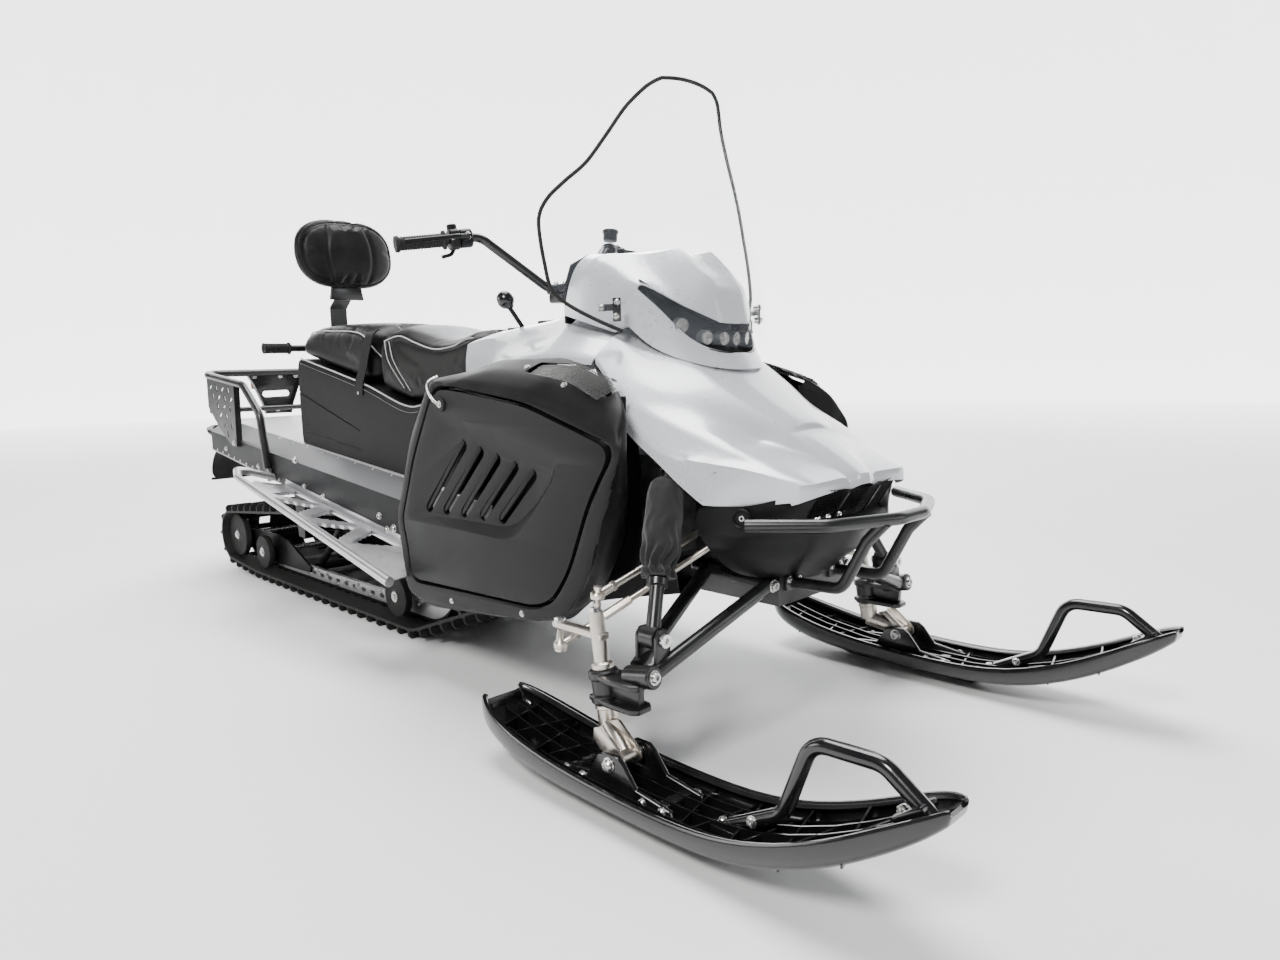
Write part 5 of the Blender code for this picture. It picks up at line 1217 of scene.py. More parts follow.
def makeCover(label, side):
    gap = coverSizes["doorGap"]
    inner, at, bend = moved(doorRing, gap), coverSizes["face"], 0.045
    rimHalf = [0.2676 if x < -0.70 else 0.285 if x < -0.20 else 0.302 for x, z in rimRing]
    rims = ringLine([(x, side * half, z) for (x, z), half in zip(rimRing, rimHalf)], 0.03)
    mids = ringLine([(x, side * 0.340, z) for x, z in midRing], 0.03)
    rings = [
        onPlane(ringLine(inner, bend), side * (at - 0.016)),
        onPlane(ringLine(inner, bend), side * (at - 0.0045)),
        onPlane(ringLine(moved(doorRing, gap + 0.0022), bend), side * (at - 0.0012)),
        onPlane(ringLine(moved(doorRing, gap + 0.006), bend), side * at),
        onPlane(ringLine(faceRing, 0.035), side * (at - 0.0035)),
        mids,
        rims,
    ]
    # the rim turns in and down behind the hood and the console
    inwards = [(Vector((0.004, -side * 0.013, -0.003)) if -0.75 < p[0] < -0.18 and p[2] > 0.66
                else Vector((0, -side * 0.004, 0))) for p in rims]
    rings.append([Vector(p) + step for p, step in zip(rims, inwards)])
    rings.insert(5, [a.lerp(Vector(b), 0.42) + Vector((0, side * 0.006, 0))
                     for a, b in zip(map(Vector, rings[4]), mids)])
    sheet = ringSheet(rings, 3)
    modified(sheet, "SOLIDIFY", thickness=coverSizes["wall"], offset=-1.0)
    sheet = outward(baked(sheet))
    vent = plate(ringLine(ventRing, 0.008, 6), *sorted((side * 0.20, side * 0.42)))
    covered = cut(sheet, [vent])
    return finished("coverPanel_" + label, covered, "moulding", replaces=["side_cover_" + label],
                    sharp=28)


def makeDoor(label, side):
    at = coverSizes["face"]
    body = "door_" + label
    low, high = sorted((side * at, side * (at - 0.0235)))
    panel = plate(ringLine(doorRing, 0.045), low, high)
    outer, floor = [], []
    for face, deep, depth in hollowRings:
        outer.append((face[0], side * at, face[1]))
        floor.append((deep[0], side * (at - depth), deep[1]))
    outer, floor = ringLine(outer, 0.03, 6), ringLine(floor, 0.02, 6)
    lifted = [p + (p - q) * 0.25 for p, q in zip(outer, floor)]
    bowl = outward(ringSheet([[p + Vector((0, side * 0.02, 0)) for p in lifted], lifted, outer, floor], 1, caps=True))
    panel = cut(panel, [bowl])
    slots = [plate(slotRing(k, 0.0125), *sorted((side * 0.34, side * 0.40))) for k in range(5)]
    panel = cut(panel, slots)
    modified(panel, "BEVEL", width=0.0032, segments=3, limit_method="ANGLE", angle_limit=math.radians(26))
    panel = baked(panel)
    blades = []
    for k in range(5):
        deep = at - (0.0085 + 0.0022 * k)
        blade = plate(slotRing(k, 0.0062, -0.0068, 0.001),
                      *sorted((side * (deep - 0.006), side * deep)), bevel=0.0016)
        blades.append(blade)
    return finished("doorPanel_" + label, joined([panel, *blades]), "moulding", body,
                    ["side_door_" + label], sharp=34)


def surfaceTree(obj):
    # the finished piece's faces, in the skis' frame
    points = [v.co - Vector((chassisX, 0, 0)) for v in obj.data.vertices]
    return BVHTree.FromPolygons(points, [list(face.vertices) for face in obj.data.polygons])


def inOutline(x, z, ring):
    inside = False
    for (x0, z0), (x1, z1) in zip(ring, list(ring[1:]) + [ring[0]]):
        if (z0 > z) != (z1 > z) and x < x0 + (x1 - x0) * (z - z0) / (z1 - z0):
            inside = not inside
    return inside


def hexCell(pitch, wire):
    # one cell of a wire mesh, its six sides
    cell = pipe([(pitch * 0.577 * math.cos(math.tau * k / 6), pitch * 0.577 * math.sin(math.tau * k / 6), 0)
                 for k in range(6)], wire, cyclic=True, resolution=0)
    return cell


def makeVent(label, side):
    # wire cells between the opening's lower and upper edges
    count, rise, run = 41, 0.066, 0.300
    low = smoothLine(onSide([(-0.452, 0.340, 0.750), (-0.300, 0.349, 0.7455), (-0.165, 0.372, 0.706)], side), count)
    high = smoothLine(onSide([(-0.446, 0.284, 0.7830), (-0.330, 0.288, 0.7785), (-0.165, 0.316, 0.731)], side), count)
    pitch, spots = coverSizes["meshPitch"], []
    ring = [tuple(p) for p in moved(ventRing, 0.004)]
    for j in range(int(rise / (pitch * 0.866)) + 1):
        for i in range(int(run / pitch)):
            u = (i + 0.5 * (j % 2)) * pitch / run * (count - 1.001)
            k, part = int(u), u % 1
            a, b = (line[k].lerp(line[k + 1], part) for line in (low, high))
            spot = a.lerp(b, j * pitch * 0.866 / rise)
            if inOutline(spot.x, spot.z, ring):
                spots.append((spot - Vector((0, side * 0.002, 0.003)), (0.02, side * 0.53, 0.85), (1, 0, -0.1)))
    mesh = scattered(hexCell(pitch, coverSizes["wire"]), spots, "tubeCoat")
    finished("coverMesh_" + label, mesh, "tubeCoat")
    # a dark sheet sunk behind the mesh, painted shade standing in for the shaded inside behind the vent
    sunk = [[p + Vector((0, -side * 0.010 * k, -0.014 * k)) for p in line[:32]] for k, line in ((1, low), (1, high))]
    back = modified(ringSheet(sunk, 1, closed=False), "SOLIDIFY", thickness=0.003, offset=0.0)
    finished("coverBack_" + label, outward(baked(back)), "mouldingSatin")
    # a dark sheet inside the bay, painted shade standing in for the machine's shaded inside, so that no light shows
    # through the machine
    shadeSheet = plate(ringLine([(-0.700, 0.300), (-0.300, 0.300), (-0.190, 0.360), (-0.180, 0.560), (-0.210, 0.700),
                            (-0.400, 0.770), (-0.640, 0.770), (-0.700, 0.700)], 0.02, 4),
                  *sorted((side * 0.2535, side * 0.2565)))
    finished("bayLiner_" + label, shadeSheet, "mouldingSatin")


def makeCoverBolts(label, side, cover):
    skin = surfaceTree(cover)
    spots = []
    for x, z in ((-0.452, 0.769), (-0.300, 0.732), (-0.158, 0.714), (-0.345, 0.782), (-0.215, 0.752),
                 (-0.700, 0.222), (-0.424, 0.244), (-0.240, 0.272)):
        hit, normal, _, _ = skin.ray_cast(Vector((x, side * 0.60, z)), Vector((0, -side, 0)))
        if hit:
            spots.append((hit, normal if normal.y * side > 0 else -normal))
    heads = scattered(boltHead(0.0058, 0.0034), spots)
    finished("coverBolts_" + label, heads, "boltMetal")


# The door's rubber latch: a strap from the cover over the door's corner, on a pin

def makeLatch(label, side):
    at = coverSizes["face"]
    line = onSide([(-0.727, at - 0.012, 0.752), (-0.741, at + 0.004, 0.741), (-0.739, at + 0.009, 0.722),
                   (-0.722, at + 0.009, 0.700), (-0.706, at + 0.0065, 0.690)], side)
    hook = pipe(smoothLine(line, 22), 0.0034, resolution=3)
    finished("latchHook_" + label, hook, "boltMetal")
    pad = [(-0.728, 0.700), (-0.716, 0.709), (-0.690, 0.703), (-0.680, 0.690), (-0.685, 0.674), (-0.700, 0.669),
           (-0.718, 0.676), (-0.727, 0.688)]
    low, high = sorted((side * (at - 0.0005), side * (at + 0.0045)))
    strap = plate(ringLine(pad, 0.01, 5), low, high, bevel=0.0015)
    finished("latchPad_" + label, strap, "rubber", "door_" + label)
    pin = scattered(boltHead(0.0065, 0.004), [((-0.700, side * (at + 0.0045), 0.688), (0, side, 0))])
    finished("latchPin_" + label, pin, "boltMetal", "door_" + label)


for label, side in sides:
    cover = makeCover(label, side)
    makeDoor(label, side)
    makeVent(label, side)
    makeCoverBolts(label, side, cover)
    makeLatch(label, side)
print("side covers made")
# The nose: a folded moulding under the hood, open under a wire mesh in front

noseSizes = {"wall": 0.0035, "levels": 2, "meshPitch": 0.0078, "wire": 0.0008, "hoop": 0.0122, "leg": 0.0115}


def makeNose():
    columns = (
        ((-0.030, 0.262, 0.506), (-0.026, 0.266, 0.470), (-0.020, 0.266, 0.452), (0.000, 0.262, 0.425),
         (0.012, 0.215, 0.372), (0.014, 0.150, 0.350)),
        ((0.050, 0.250, 0.503), (0.052, 0.252, 0.468), (0.054, 0.250, 0.452), (0.050, 0.230, 0.415),
         (0.034, 0.190, 0.364), (0.036, 0.130, 0.345)),
        ((0.105, 0.208, 0.514), (0.104, 0.210, 0.470), (0.106, 0.206, 0.452), (0.085, 0.185, 0.410),
         (0.045, 0.150, 0.357), (0.048, 0.100, 0.342)),
        ((0.146, 0.166, 0.534), (0.133, 0.162, 0.472), (0.140, 0.154, 0.452), (0.115, 0.130, 0.400),
         (0.056, 0.110, 0.350), (0.058, 0.070, 0.338)),
        ((0.164, 0.136, 0.530), (0.126, 0.134, 0.470), (0.160, 0.118, 0.450), (0.118, 0.092, 0.392),
         (0.064, 0.070, 0.346), (0.066, 0.040, 0.336)),
        (None, (0.148, 0.000, 0.470), (0.180, 0.000, 0.447), (0.138, 0.000, 0.392), (0.070, 0.000, 0.344),
         (0.070, 0.000, 0.334)),
    )
    points = {f"c{i}r{j}": p for i, column in enumerate(columns) for j, p in enumerate(column) if p}
    faces = [f"c{i}r{j} c{i}r{j + 1} c{i + 1}r{j + 1} c{i + 1}r{j}" for i in range(5) for j in range(5)
             if (i, j) != (4, 0)]
    creases = [(" ".join(f"c{i}r{j}" for i in range(6)), 0.85) for j in (2, 3)]
    creases += [("c0r0 c1r0 c2r0 c3r0 c4r0 c4r1 c5r1", 1.0), ("c4r1 c4r2 c4r3 c4r4", 0.7), ("c3r0 c3r1 c3r2", 0.4)]
    obj = cage(points, faces, creases)
    shell(obj, noseSizes["levels"], noseSizes["wall"])
    finished("nosePanel", obj, "moulding", replaces=["nose"])

    high, low = Vector((0.164, 0.136, 0.530)), Vector((0.126, 0.134, 0.470))
    highMiddle, lowMiddle = Vector((0.186, 0, 0.524)), Vector((0.148, 0, 0.470))
    pitch, spots = noseSizes["meshPitch"], []
    for side in (-1, 1):
        for j in range(10):
            for i in range(18):
                u = (i + 0.5 * (j % 2) + 0.25) * pitch / 0.136
                if u > 1 or (side > 0 and u > 0.99):
                    continue
                v = (j + 0.5) * pitch * 0.866 / 0.066
                spot = lowMiddle.lerp(low, u).lerp(highMiddle.lerp(high, u), v)
                spots.append(((spot.x - 0.002, side * spot.y, spot.z), (0.82, side * 0.12, -0.5), (0, 1, 0)))
    finished("noseMesh", scattered(hexCell(pitch, noseSizes["wire"]), spots, "mouldingSatin"), "mouldingSatin")
    # a dark sheet behind the mesh, painted shade standing in for the shaded inside of the nose
    back = [(0.085, -0.150, 0.462), (0.085, 0.150, 0.462), (0.125, 0.150, 0.540), (0.125, -0.150, 0.540)]
    bay = modified(meshPiece(back, [(0, 1, 2, 3)]), "SOLIDIFY", thickness=0.003, offset=0.0)
    finished("noseBack", outward(baked(bay)), "mouldingSatin")
    bars = [box((0.150, y - 0.0045, 0.466), (0.160, y + 0.0045, 0.530), 0.001) for y in (-0.055, 0.055)]
    for bar in bars:
        bar.data.transform(Matrix.Translation((0.155, 0, 0.5)) @ Matrix.Rotation(math.radians(33), 4, "Y")
                           @ Matrix.Translation((-0.155, 0, -0.5)))
    finished("noseBars", joined(bars), "moulding")


def makeFrontBumper():
    half = [(0.092, -0.266, 0.478), (0.215, -0.180, 0.480), (0.274, -0.045, 0.481)]
    parts = [pipe(half + mirroredPoints(half)[::-1], noseSizes["hoop"], 0.055, resolution=6)]
    cups, bolts = [], []
    for side in (-1, 1):
        y = side * 0.075
        leg = [(0.264, y, 0.477), (0.226, y, 0.438), (0.172, y, 0.337), (0.062, y, 0.333)]
        parts.append(pipe(leg, noseSizes["leg"], 0.035, resolution=6))
        parts.append(box((0.052, y - 0.022, 0.318), (0.062, y + 0.022, 0.348), 0.003))
        out = Vector((0.30, side * 0.95, 0.05)).normalized()
        at = Vector((0.072, side * 0.2515, 0.487))
        cups.append(turned([(0.0185, -0.002), (0.0185, 0.002), (0.0165, 0.0035), (0.0140, 0.0020), (0.0120, -0.006),
                            (0.0010, -0.0065)], at, out, 28))
        bolts.append((at - out * 0.005, out))
        bolts += [((0.063, y + dy, 0.341), (1, 0, 0)) for dy in (-0.015, 0.015)]
    finished("bumperTube", joined(parts), "tubeCoat", replaces=["front_bumper"], sharp=40)
    finished("bumperCups", joined(cups), "moulding")
    finished("bumperBolts", scattered(boltHead(0.0062, 0.004), bolts), "boltMetal")


# Bolts on the hood, each in a round hollow of the moulding

def makeHoodBolts(skin):
    spots, seats = [], []
    for x, y, z in ((0.006, 0.245, 0.568), (-0.270, 0.181, 0.80), (-0.045, 0.255, 0.606)):
        for side in (-1, 1):
            at = Vector((x, side * y, z))
            hit, normal, _, _ = skin.find_nearest(at)
            normal = normal if normal.z > 0 or normal.y * side > 0 else -normal
            if normal.y * side < 0:
                normal = -normal
            spots.append((hit + normal * 0.0004, normal))
            seats.append((hit, normal))
    finished("hoodBolts", scattered(boltHead(0.0062, 0.0030), spots), "boltMetal")
    rim = turned([(0.0125, -0.0008), (0.0120, 0.0008), (0.0105, 0.0004), (0.0092, -0.0006)], (0, 0, 0), (0, 0, 1), 24)
    finished("hoodSeats", scattered(rim, seats, "bodyGloss"), "bodyGloss")


# The headlamps: a dark bay under the visor, round reflectors in it and one clear lens over them

lampSizes = {"lamps": ((-0.196, 0.112, 0.848, 0.0135), (-0.168, 0.066, 0.822, 0.0135),
                       (-0.160, 0.020, 0.820, 0.0135)),
             "aim": (0.90, 0.34, -0.10)}


def setIn(line, back, lift):
    # a line of the bay's wall, behind the lens and a little narrower
    return [Vector((p.x - back, p.y * 0.86, p.z + lift)) for p in line]


def makeHeadlamps():
    upper = [(-0.141, 0, 0.8505), (-0.146, 0.048, 0.8525), (-0.193, 0.108, 0.888), (-0.259, 0.170, 0.944)]
    lower = [(-0.131, 0, 0.789), (-0.138, 0.058, 0.7925), (-0.181, 0.106, 0.816), (-0.228, 0.140, 0.882),
             (-0.262, 0.172, 0.930)]
    count = 15
    top = smoothLine(mirroredPoints(upper)[::-1] + upper[1:], count * 2 + 1)
    foot = smoothLine(mirroredPoints(lower)[::-1] + lower[1:], count * 2 + 1)
    middle = [a.lerp(b, 0.5) + Vector((0.003, 0, -0.001)) for a, b in zip(top, foot)]
    lens = ringSheet([top, middle, foot], 4, closed=False)
    modified(lens, "SOLIDIFY", thickness=0.002, offset=0.0)
    finished("podLens", outward(baked(lens)), "lensClear")
    bay = ringSheet([top, setIn(top, 0.040, 0.004), setIn(middle, 0.055, 0.0), setIn(foot, 0.034, -0.004),
                     foot], 3, closed=False)
    modified(bay, "SOLIDIFY", thickness=0.002, offset=0.0)
    finished("podBay", outward(baked(bay)), "moulding")
    cups, glows, rings = [], [], []
    for x, y, z, radius in lampSizes["lamps"]:
        for side in (-1, 1):
            aim = Vector(lampSizes["aim"])
            aim = Vector((aim.x, aim.y * side * (y / 0.09), aim.z)).normalized()
            at = Vector((x, side * y, z))
            cups.append(turned([(radius, 0.004), (radius * 0.98, 0.003), (radius * 0.82, -0.006),
                                (radius * 0.5, -0.013), (radius * 0.2, -0.015), (radius * 0.02, -0.015)],
                               at, aim, 28))
            rings.append(turned([(radius * 1.16, -0.016), (radius * 1.16, 0.003), (radius * 1.08, 0.0055),
                                 (radius * 1.0, 0.0035), (radius * 0.99, -0.016)], at, aim, 28))
            glows.append(turned([(0.0045, -0.014), (0.0045, -0.006), (0.003, -0.003), (0.0003, -0.002)], at, aim, 14))
    finished("lampCups", joined(cups), "reflector")
    finished("lampRings", joined(rings), "castGrey")
    finished("lampBulbs", joined(glows), "lampGlow")


makeNose()
makeFrontBumper()
makeHoodBolts(surfaceTree(bpy.data.objects["hoodShell"]))
makeHeadlamps()
print("nose, bumper and lamps made")


# The console: a white moulding from the seat to the hood, with wells for the steering post and the gear lever

consoleSizes = {"wall": 0.004, "postWell": ((-0.752, -0.060), (-0.550, 0.060)),
                "leverWell": ((-0.766, -0.146), (-0.664, -0.089))}


def makeConsole():
    # x, then outer lower edge, outer top edge, shoulder, inner shoulder and middle as (y, z)
    table = (
        (-0.885, (0.190, 0.745), (0.188, 0.790), (0.180, 0.830), (0.150, 0.842), (0, 0.852)),
        (-0.780, (0.212, 0.765), (0.206, 0.800), (0.196, 0.843), (0.150, 0.860), (0, 0.866)),
        (-0.680, (0.232, 0.776), (0.225, 0.795), (0.200, 0.838), (0.150, 0.868), (0, 0.878)),
        (-0.600, (0.262, 0.780), (0.255, 0.793), (0.205, 0.824), (0.155, 0.872), (0, 0.890)),
        (-0.520, (0.276, 0.782), (0.268, 0.797), (0.206, 0.830), (0.160, 0.882), (0, 0.906)),
        (-0.464, (0.278, 0.780), (0.270, 0.797), (0.210, 0.844), (0.175, 0.888), (0, 0.922)),
        (-0.452, (0.278, 0.780), (0.270, 0.797), (0.212, 0.843), (0.185, 0.862), (0, 0.870)),
        (-0.380, (0.278, 0.776), (0.270, 0.792), (0.214, 0.838), (0.195, 0.845), (0, 0.850)),
        (-0.309, (0.268, 0.770), (0.260, 0.782), (0.207, 0.826), (0.190, 0.832), (0, 0.842)),
    )
    rows = [[(x, y, z) for y, z in reversed(half)] for x, *half in table]
    sheet = gridCage(rows, ((1, 0.5), (2, 0.6), (3, 0.7), (4, 1.0)), True, ((0, 1.0), (5, 0.8), (8, 1.0)))
    shell(sheet, 2, consoleSizes["wall"])
    wells = []
    for low, high in (consoleSizes["postWell"], consoleSizes["leverWell"]):
        ring = [(low[0], low[1]), (high[0], low[1]), (high[0], high[1]), (low[0], high[1])]
        wells.append(plate(ringLine(ring, 0.016, 6), 0.70, 1.0, "z"))
    panel = cut(outward(baked(sheet)), wells)
    finished("consolePanel", panel, "bodyGloss", replaces=["console"])
    # dark sleeves inside the wells
    sleeves = []
    for low, high in (consoleSizes["postWell"], consoleSizes["leverWell"]):
        ring = [(low[0], low[1]), (high[0], low[1]), (high[0], high[1]), (low[0], high[1])]
        outer, inner = ringLine(ring, 0.016, 6), ringLine(moved(ring, -0.003), 0.013, 6)
        high = 0.884 if low[1] > -0.1 else 0.866
        levels = [[(p.x, p.y, z) for p in line] for line, z in
                  ((outer, high - 0.07), (outer, high), (inner, high), (inner, high - 0.068))]
        sleeve = outward(ringSheet(levels, 1, caps=True))
        sleeves.append(sleeve)
    finished("consoleSleeves", joined(sleeves), "mouldingSatin")


def makeGearLever():
    base = plate(ringLine([(-0.763, -0.143), (-0.667, -0.143), (-0.667, -0.092), (-0.763, -0.092)], 0.014, 5),
                 0.792, 0.806, "z")
    boot = turned([(0.021, -0.001), (0.019, 0.006), (0.0145, 0.009), (0.016, 0.014), (0.012, 0.019), (0.0125, 0.025),
                   (0.008, 0.031), (0.0065, 0.034)], (-0.700, -0.120, 0.805), (0, 0, 1), 24)
    stem = pipe([(-0.700, -0.120, 0.806), (-0.702, -0.121, 0.842), (-0.746, -0.149, 0.921)], 0.0058, 0.03)
    finished("leverBase", joined([base, boot, stem]), "mouldingSatin")
    knob = turned([(0.002, 0.0225), (0.009, 0.0215), (0.0155, 0.017), (0.0200, 0.009), (0.0215, 0.0),
                   (0.0205, -0.008), (0.0165, -0.0155), (0.011, -0.0195), (0.0085, -0.024), (0.0062, -0.026)],
                  (-0.752, -0.152, 0.935), (-0.48, -0.3, 0.85), 32)
    finished("leverKnob", knob, "skiGloss", replaces=["gear_lever"], sharp=60)


# The dash: a black panel with a round gauge, switches and a key, seen from the seat

def makeDash():
    ring = [(0.208, 0.862), (0.206, 0.945), (0.187, 0.992), (0.139, 1.015), (0.080, 1.009), (0.0, 1.001)]
    ring = ring + [(-y, z) for y, z in ring[-2::-1]]
    panel = plate(ring, -0.4605, -0.4535, "x", bevel=0.0015)
    finished("dashPanel", panel, "moulding", replaces=["dash"])
    bezel = turned([(0.052, 0.0), (0.052, 0.007), (0.049, 0.0095), (0.0445, 0.007), (0.0440, 0.002), (0.001, 0.0015)],
                   (-0.4605, 0, 0.955), (-1, 0, 0), 40)
    marks = [((-0.4626, 0.038 * math.sin(a), 0.955 + 0.038 * math.cos(a)), (-1, 0, 0), (0, math.sin(a), math.cos(a)))
             for a in (math.radians(-130 + 20 * k) for k in range(14))]
    tick = box((-0.0035, -0.0006, -0.0004), (0.0035, 0.0006, 0.0004))
    finished("gaugeBezel", bezel, "mouldingSatin")
    finished("gaugeMarks", scattered(tick, marks, "lampGlow"), "lampGlow")
    needle = box((-0.4645, -0.001, 0.955), (-0.4635, 0.001, 0.988))
    finished("gaugeNeedle", needle, "lampRed")
    glass = turned([(0.0440, 0.0065), (0.0440, 0.0078), (0.001, 0.0088)], (-0.4605, 0, 0.955), (-1, 0, 0), 40)
    finished("gaugeGlass", glass, "lensClear")
    switches = []
    for y in (-0.118, -0.086, 0.086, 0.118):
        frameBox = box((-0.4665, y - 0.012, 0.925), (-0.4600, y + 0.012, 0.962), 0.002)
        rocker = box((-0.4710, y - 0.0085, 0.930), (-0.4660, y + 0.0085, 0.957), 0.002)
        rocker.data.transform(Matrix.Translation((-0.466, 0, 0.9435)) @ Matrix.Rotation(0.16, 4, "Y")
                              @ Matrix.Translation((0.466, 0, -0.9435)))
        switches += [frameBox, rocker]
    finished("dashSwitches", joined(switches), "mouldingSatin")
    key = turned([(0.011, 0.0), (0.011, 0.004), (0.008, 0.005), (0.004, 0.006), (0.0035, 0.018), (0.0005, 0.0185)],
                 (-0.4605, -0.160, 0.938), (-1, 0, 0), 20)
    finished("dashKey", key, "boltMetal")


makeConsole()
makeGearLever()
makeDash()
print("console and dash made")
# The front shocks: a cloth sleeve gathered at its foot over a dark rod, and an eye with its bolt

shockSizes = {"rod": 0.0135, "collar": 0.021, "folds": 11, "around": 64, "rings": 60}
# share of the sleeve's length from the foot, radius, depth of the folds
sleeveStops = ((0.0, 0.0285, 0.0042), (0.04, 0.0310, 0.0040), (0.10, 0.0262, 0.0030), (0.15, 0.0300, 0.0036),
               (0.24, 0.0345, 0.0028), (0.36, 0.0350, 0.0012), (0.60, 0.0352, 0.0005), (0.84, 0.0340, 0.0004),
               (0.93, 0.0305, 0.0003), (0.98, 0.0225, 0.0002), (1.0, 0.0130, 0.0))


def shockEnds(side):
    low, high = Vector((-0.010, side * 0.405, 0.2835)), Vector((-0.095, side * 0.269, 0.555))
    return low, high, (high - low).normalized()


def makeShock(label, side):
    low, high, heading = shockEnds(side)
    start, end = low + heading * 0.112, high - heading * 0.006
    across = heading.cross(Vector((1, 0, 0))).normalized()
    other = heading.cross(across)
    shares, radii, depths = zip(*sleeveStops)
    rings = []
    for i in range(shockSizes["rings"]):
        t = i / (shockSizes["rings"] - 1)
        radius, depth = np.interp(t, shares, radii), np.interp(t, shares, depths)
        ring = []
        for k in range(shockSizes["around"]):
            angle = 2 * math.pi * k / shockSizes["around"]
            fold = math.sin(shockSizes["folds"] * angle + 2.4 * math.sin(t * 17)) + 0.5 * math.sin(
                5 * angle - t * 23)
            reach = radius + depth * fold
            ring.append(start.lerp(end, t) + (across * math.cos(angle) * 1.05 + other * math.sin(angle)) * reach)
        rings.append(ring)
    sleeve = outward(ringSheet(rings, 1, True, True))
    finished("shockSleeve_" + label, sleeve, "cloth", replaces=["shock_" + label], sharp=60)

    rod, collar = shockSizes["rod"], shockSizes["collar"]
    stem = turned([(rod, 0.0), (rod, 0.094), (collar, 0.096), (collar, 0.108), (0.018, 0.111), (rod, 0.130)],
                  low, heading, 28)
    eye = turned([(0.012, -0.0185), (0.0195, -0.0180), (0.021, -0.0165), (0.021, 0.0165), (0.0195, 0.0180),
                  (0.012, 0.0185)], low, (1, 0, 0), 28)
    top = turned([(0.014, -0.030), (0.014, 0.0085)], high, heading, 20)
    finished("shockRod_" + label, joined([stem, eye, top]), "tubeCoat")
    bolts = [turned([(0.0135, -0.032), (0.0135, -0.029), (0.0085, -0.029), (0.0085, 0.029), (0.0125, 0.029),
                     (0.0125, 0.036), (0.006, 0.036), (0.005, 0.032)], low, (1, 0, 0), 12)]
    finished("shockBolt_" + label, joined(bolts), "boltMetal")


# The lower arms: two tubes to a cast knuckle with an upper and a lower flange round the spindle

kneeSizes = {"hub": 0.0285, "low": 0.158, "high": 0.216, "flange": 0.011, "tube": 0.0145, "y": 0.450}


def kingpinAt(z):
    return -0.090 - (z - 0.187) * math.tan(math.radians(8.7))


def makeArm(label, side):
    y, low, high = side * kneeSizes["y"], kneeSizes["low"], kneeSizes["high"]
    lowPoint, highPoint = (Vector((kingpinAt(z), y, z)) for z in (low - 0.001, high + 0.001))
    tall = (highPoint - lowPoint).length
    hub = kneeSizes["hub"]
    pieces = [turned([(0.0156, 0), (hub - 0.003, 0), (hub, 0.003), (hub, 0.014), (hub - 0.004, 0.018),
                      (hub - 0.004, tall - 0.018), (hub, tall - 0.014), (hub, tall - 0.003), (hub - 0.003, tall),
                      (0.0156, tall)], lowPoint, highPoint - lowPoint, 36)]
    reach = ((-0.112, 0.022), (-0.060, 0.030), (0.000, 0.027), (0.014, 0.015))
    outline = [(x, y - half) for x, half in reach] + [(x, y + half) for x, half in reach[::-1]]
    thick = kneeSizes["flange"]
    pieces += [plate(outline, z, z + thick, "z", bevel=0.003) for z in (low + 0.002, high - 0.002 - thick)]
    pieces.append(plate([(-0.080, low + 0.006), (0.004, low + 0.006), (0.006, high - 0.006), (-0.080, high - 0.006)],
                        y - 0.007, y + 0.007, "y", bevel=0.001))
    tips = onSide([(-0.034, 0.442, 0.215), (0.030, 0.442, 0.228)], side)
    ear = (tips[1] - tips[0]).length
    pieces.append(turned([(0.010, 0), (0.019, 0), (0.021, 0.002), (0.021, ear - 0.002), (0.019, ear), (0.010, ear)],
                         tips[0], tips[1] - tips[0], 28))
    for points in ([(0.012, 0.440, 0.222), (0.040, 0.126, 0.335)], [(-0.030, 0.425, 0.230), (-0.120, 0.126, 0.345)]):
        pieces.append(pipe(onSide(points, side), kneeSizes["tube"], resolution=6))
    inner = onSide([(-0.150, 0.1283, 0.3465), (0.052, 0.1283, 0.334)], side)
    pieces.append(pipe(inner, 0.013, resolution=5))
    for x in (-0.036, 0.011):
        cheek = [(side * 0.386, 0.226), (side * 0.424, 0.226), (side * 0.423, 0.290), (side * 0.414, 0.302),
                 (side * 0.396, 0.302), (side * 0.387, 0.290)]
        pieces.append(plate(cheek, x, x + 0.006, "x", bevel=0.001))
    finished("lowerArm_" + label, joined(pieces), "tubeCoat", replaces=["a_arm_" + label])
    heading = (tips[1] - tips[0]).normalized()
    spots = [(tips[1], heading), (tips[0], -heading)]
    spots += [(end, end - middle) for end in inner for middle in [(inner[0] + inner[1]) / 2]]
    bolts = scattered(boltHead(0.0105, 0.008), spots)
    finished("armBolts_" + label, bolts, "boltMetal")


# Links and spindles: rod ends with their nuts, collars on the pin and a forked foot

linkSizes = {"rod": 0.0065, "housing": 0.0135, "nut": 0.0095}


def rodEnd(at, bolt, run, pinned=True):
    # a ball housing about its bolt, its neck and lock nut along the rod
    at, bolt, run = Vector(at), Vector(bolt).normalized(), Vector(run).normalized()
    ring = linkSizes["housing"]
    housing = turned([(0.006, -0.006), (ring - 0.002, -0.007), (ring, -0.004), (ring, 0.004),
                      (ring - 0.002, 0.007), (0.006, 0.006)], at, bolt, 24)
    neck = turned([(0.0085, 0.008), (0.0085, 0.030), (0.0072, 0.032), (0.0072, 0.046)], at, run, 16)
    nut = turned([(linkSizes["nut"], 0.034), (linkSizes["nut"], 0.041)], at, run, 6)
    if not pinned:
        return [housing, neck, nut]
    return [housing, neck, nut, turned([(0.0075, -0.020), (0.0075, -0.013), (0.005, -0.013), (0.005, 0.012),
                                        (0.0085, 0.012), (0.0085, 0.018)], at, bolt, 6)]


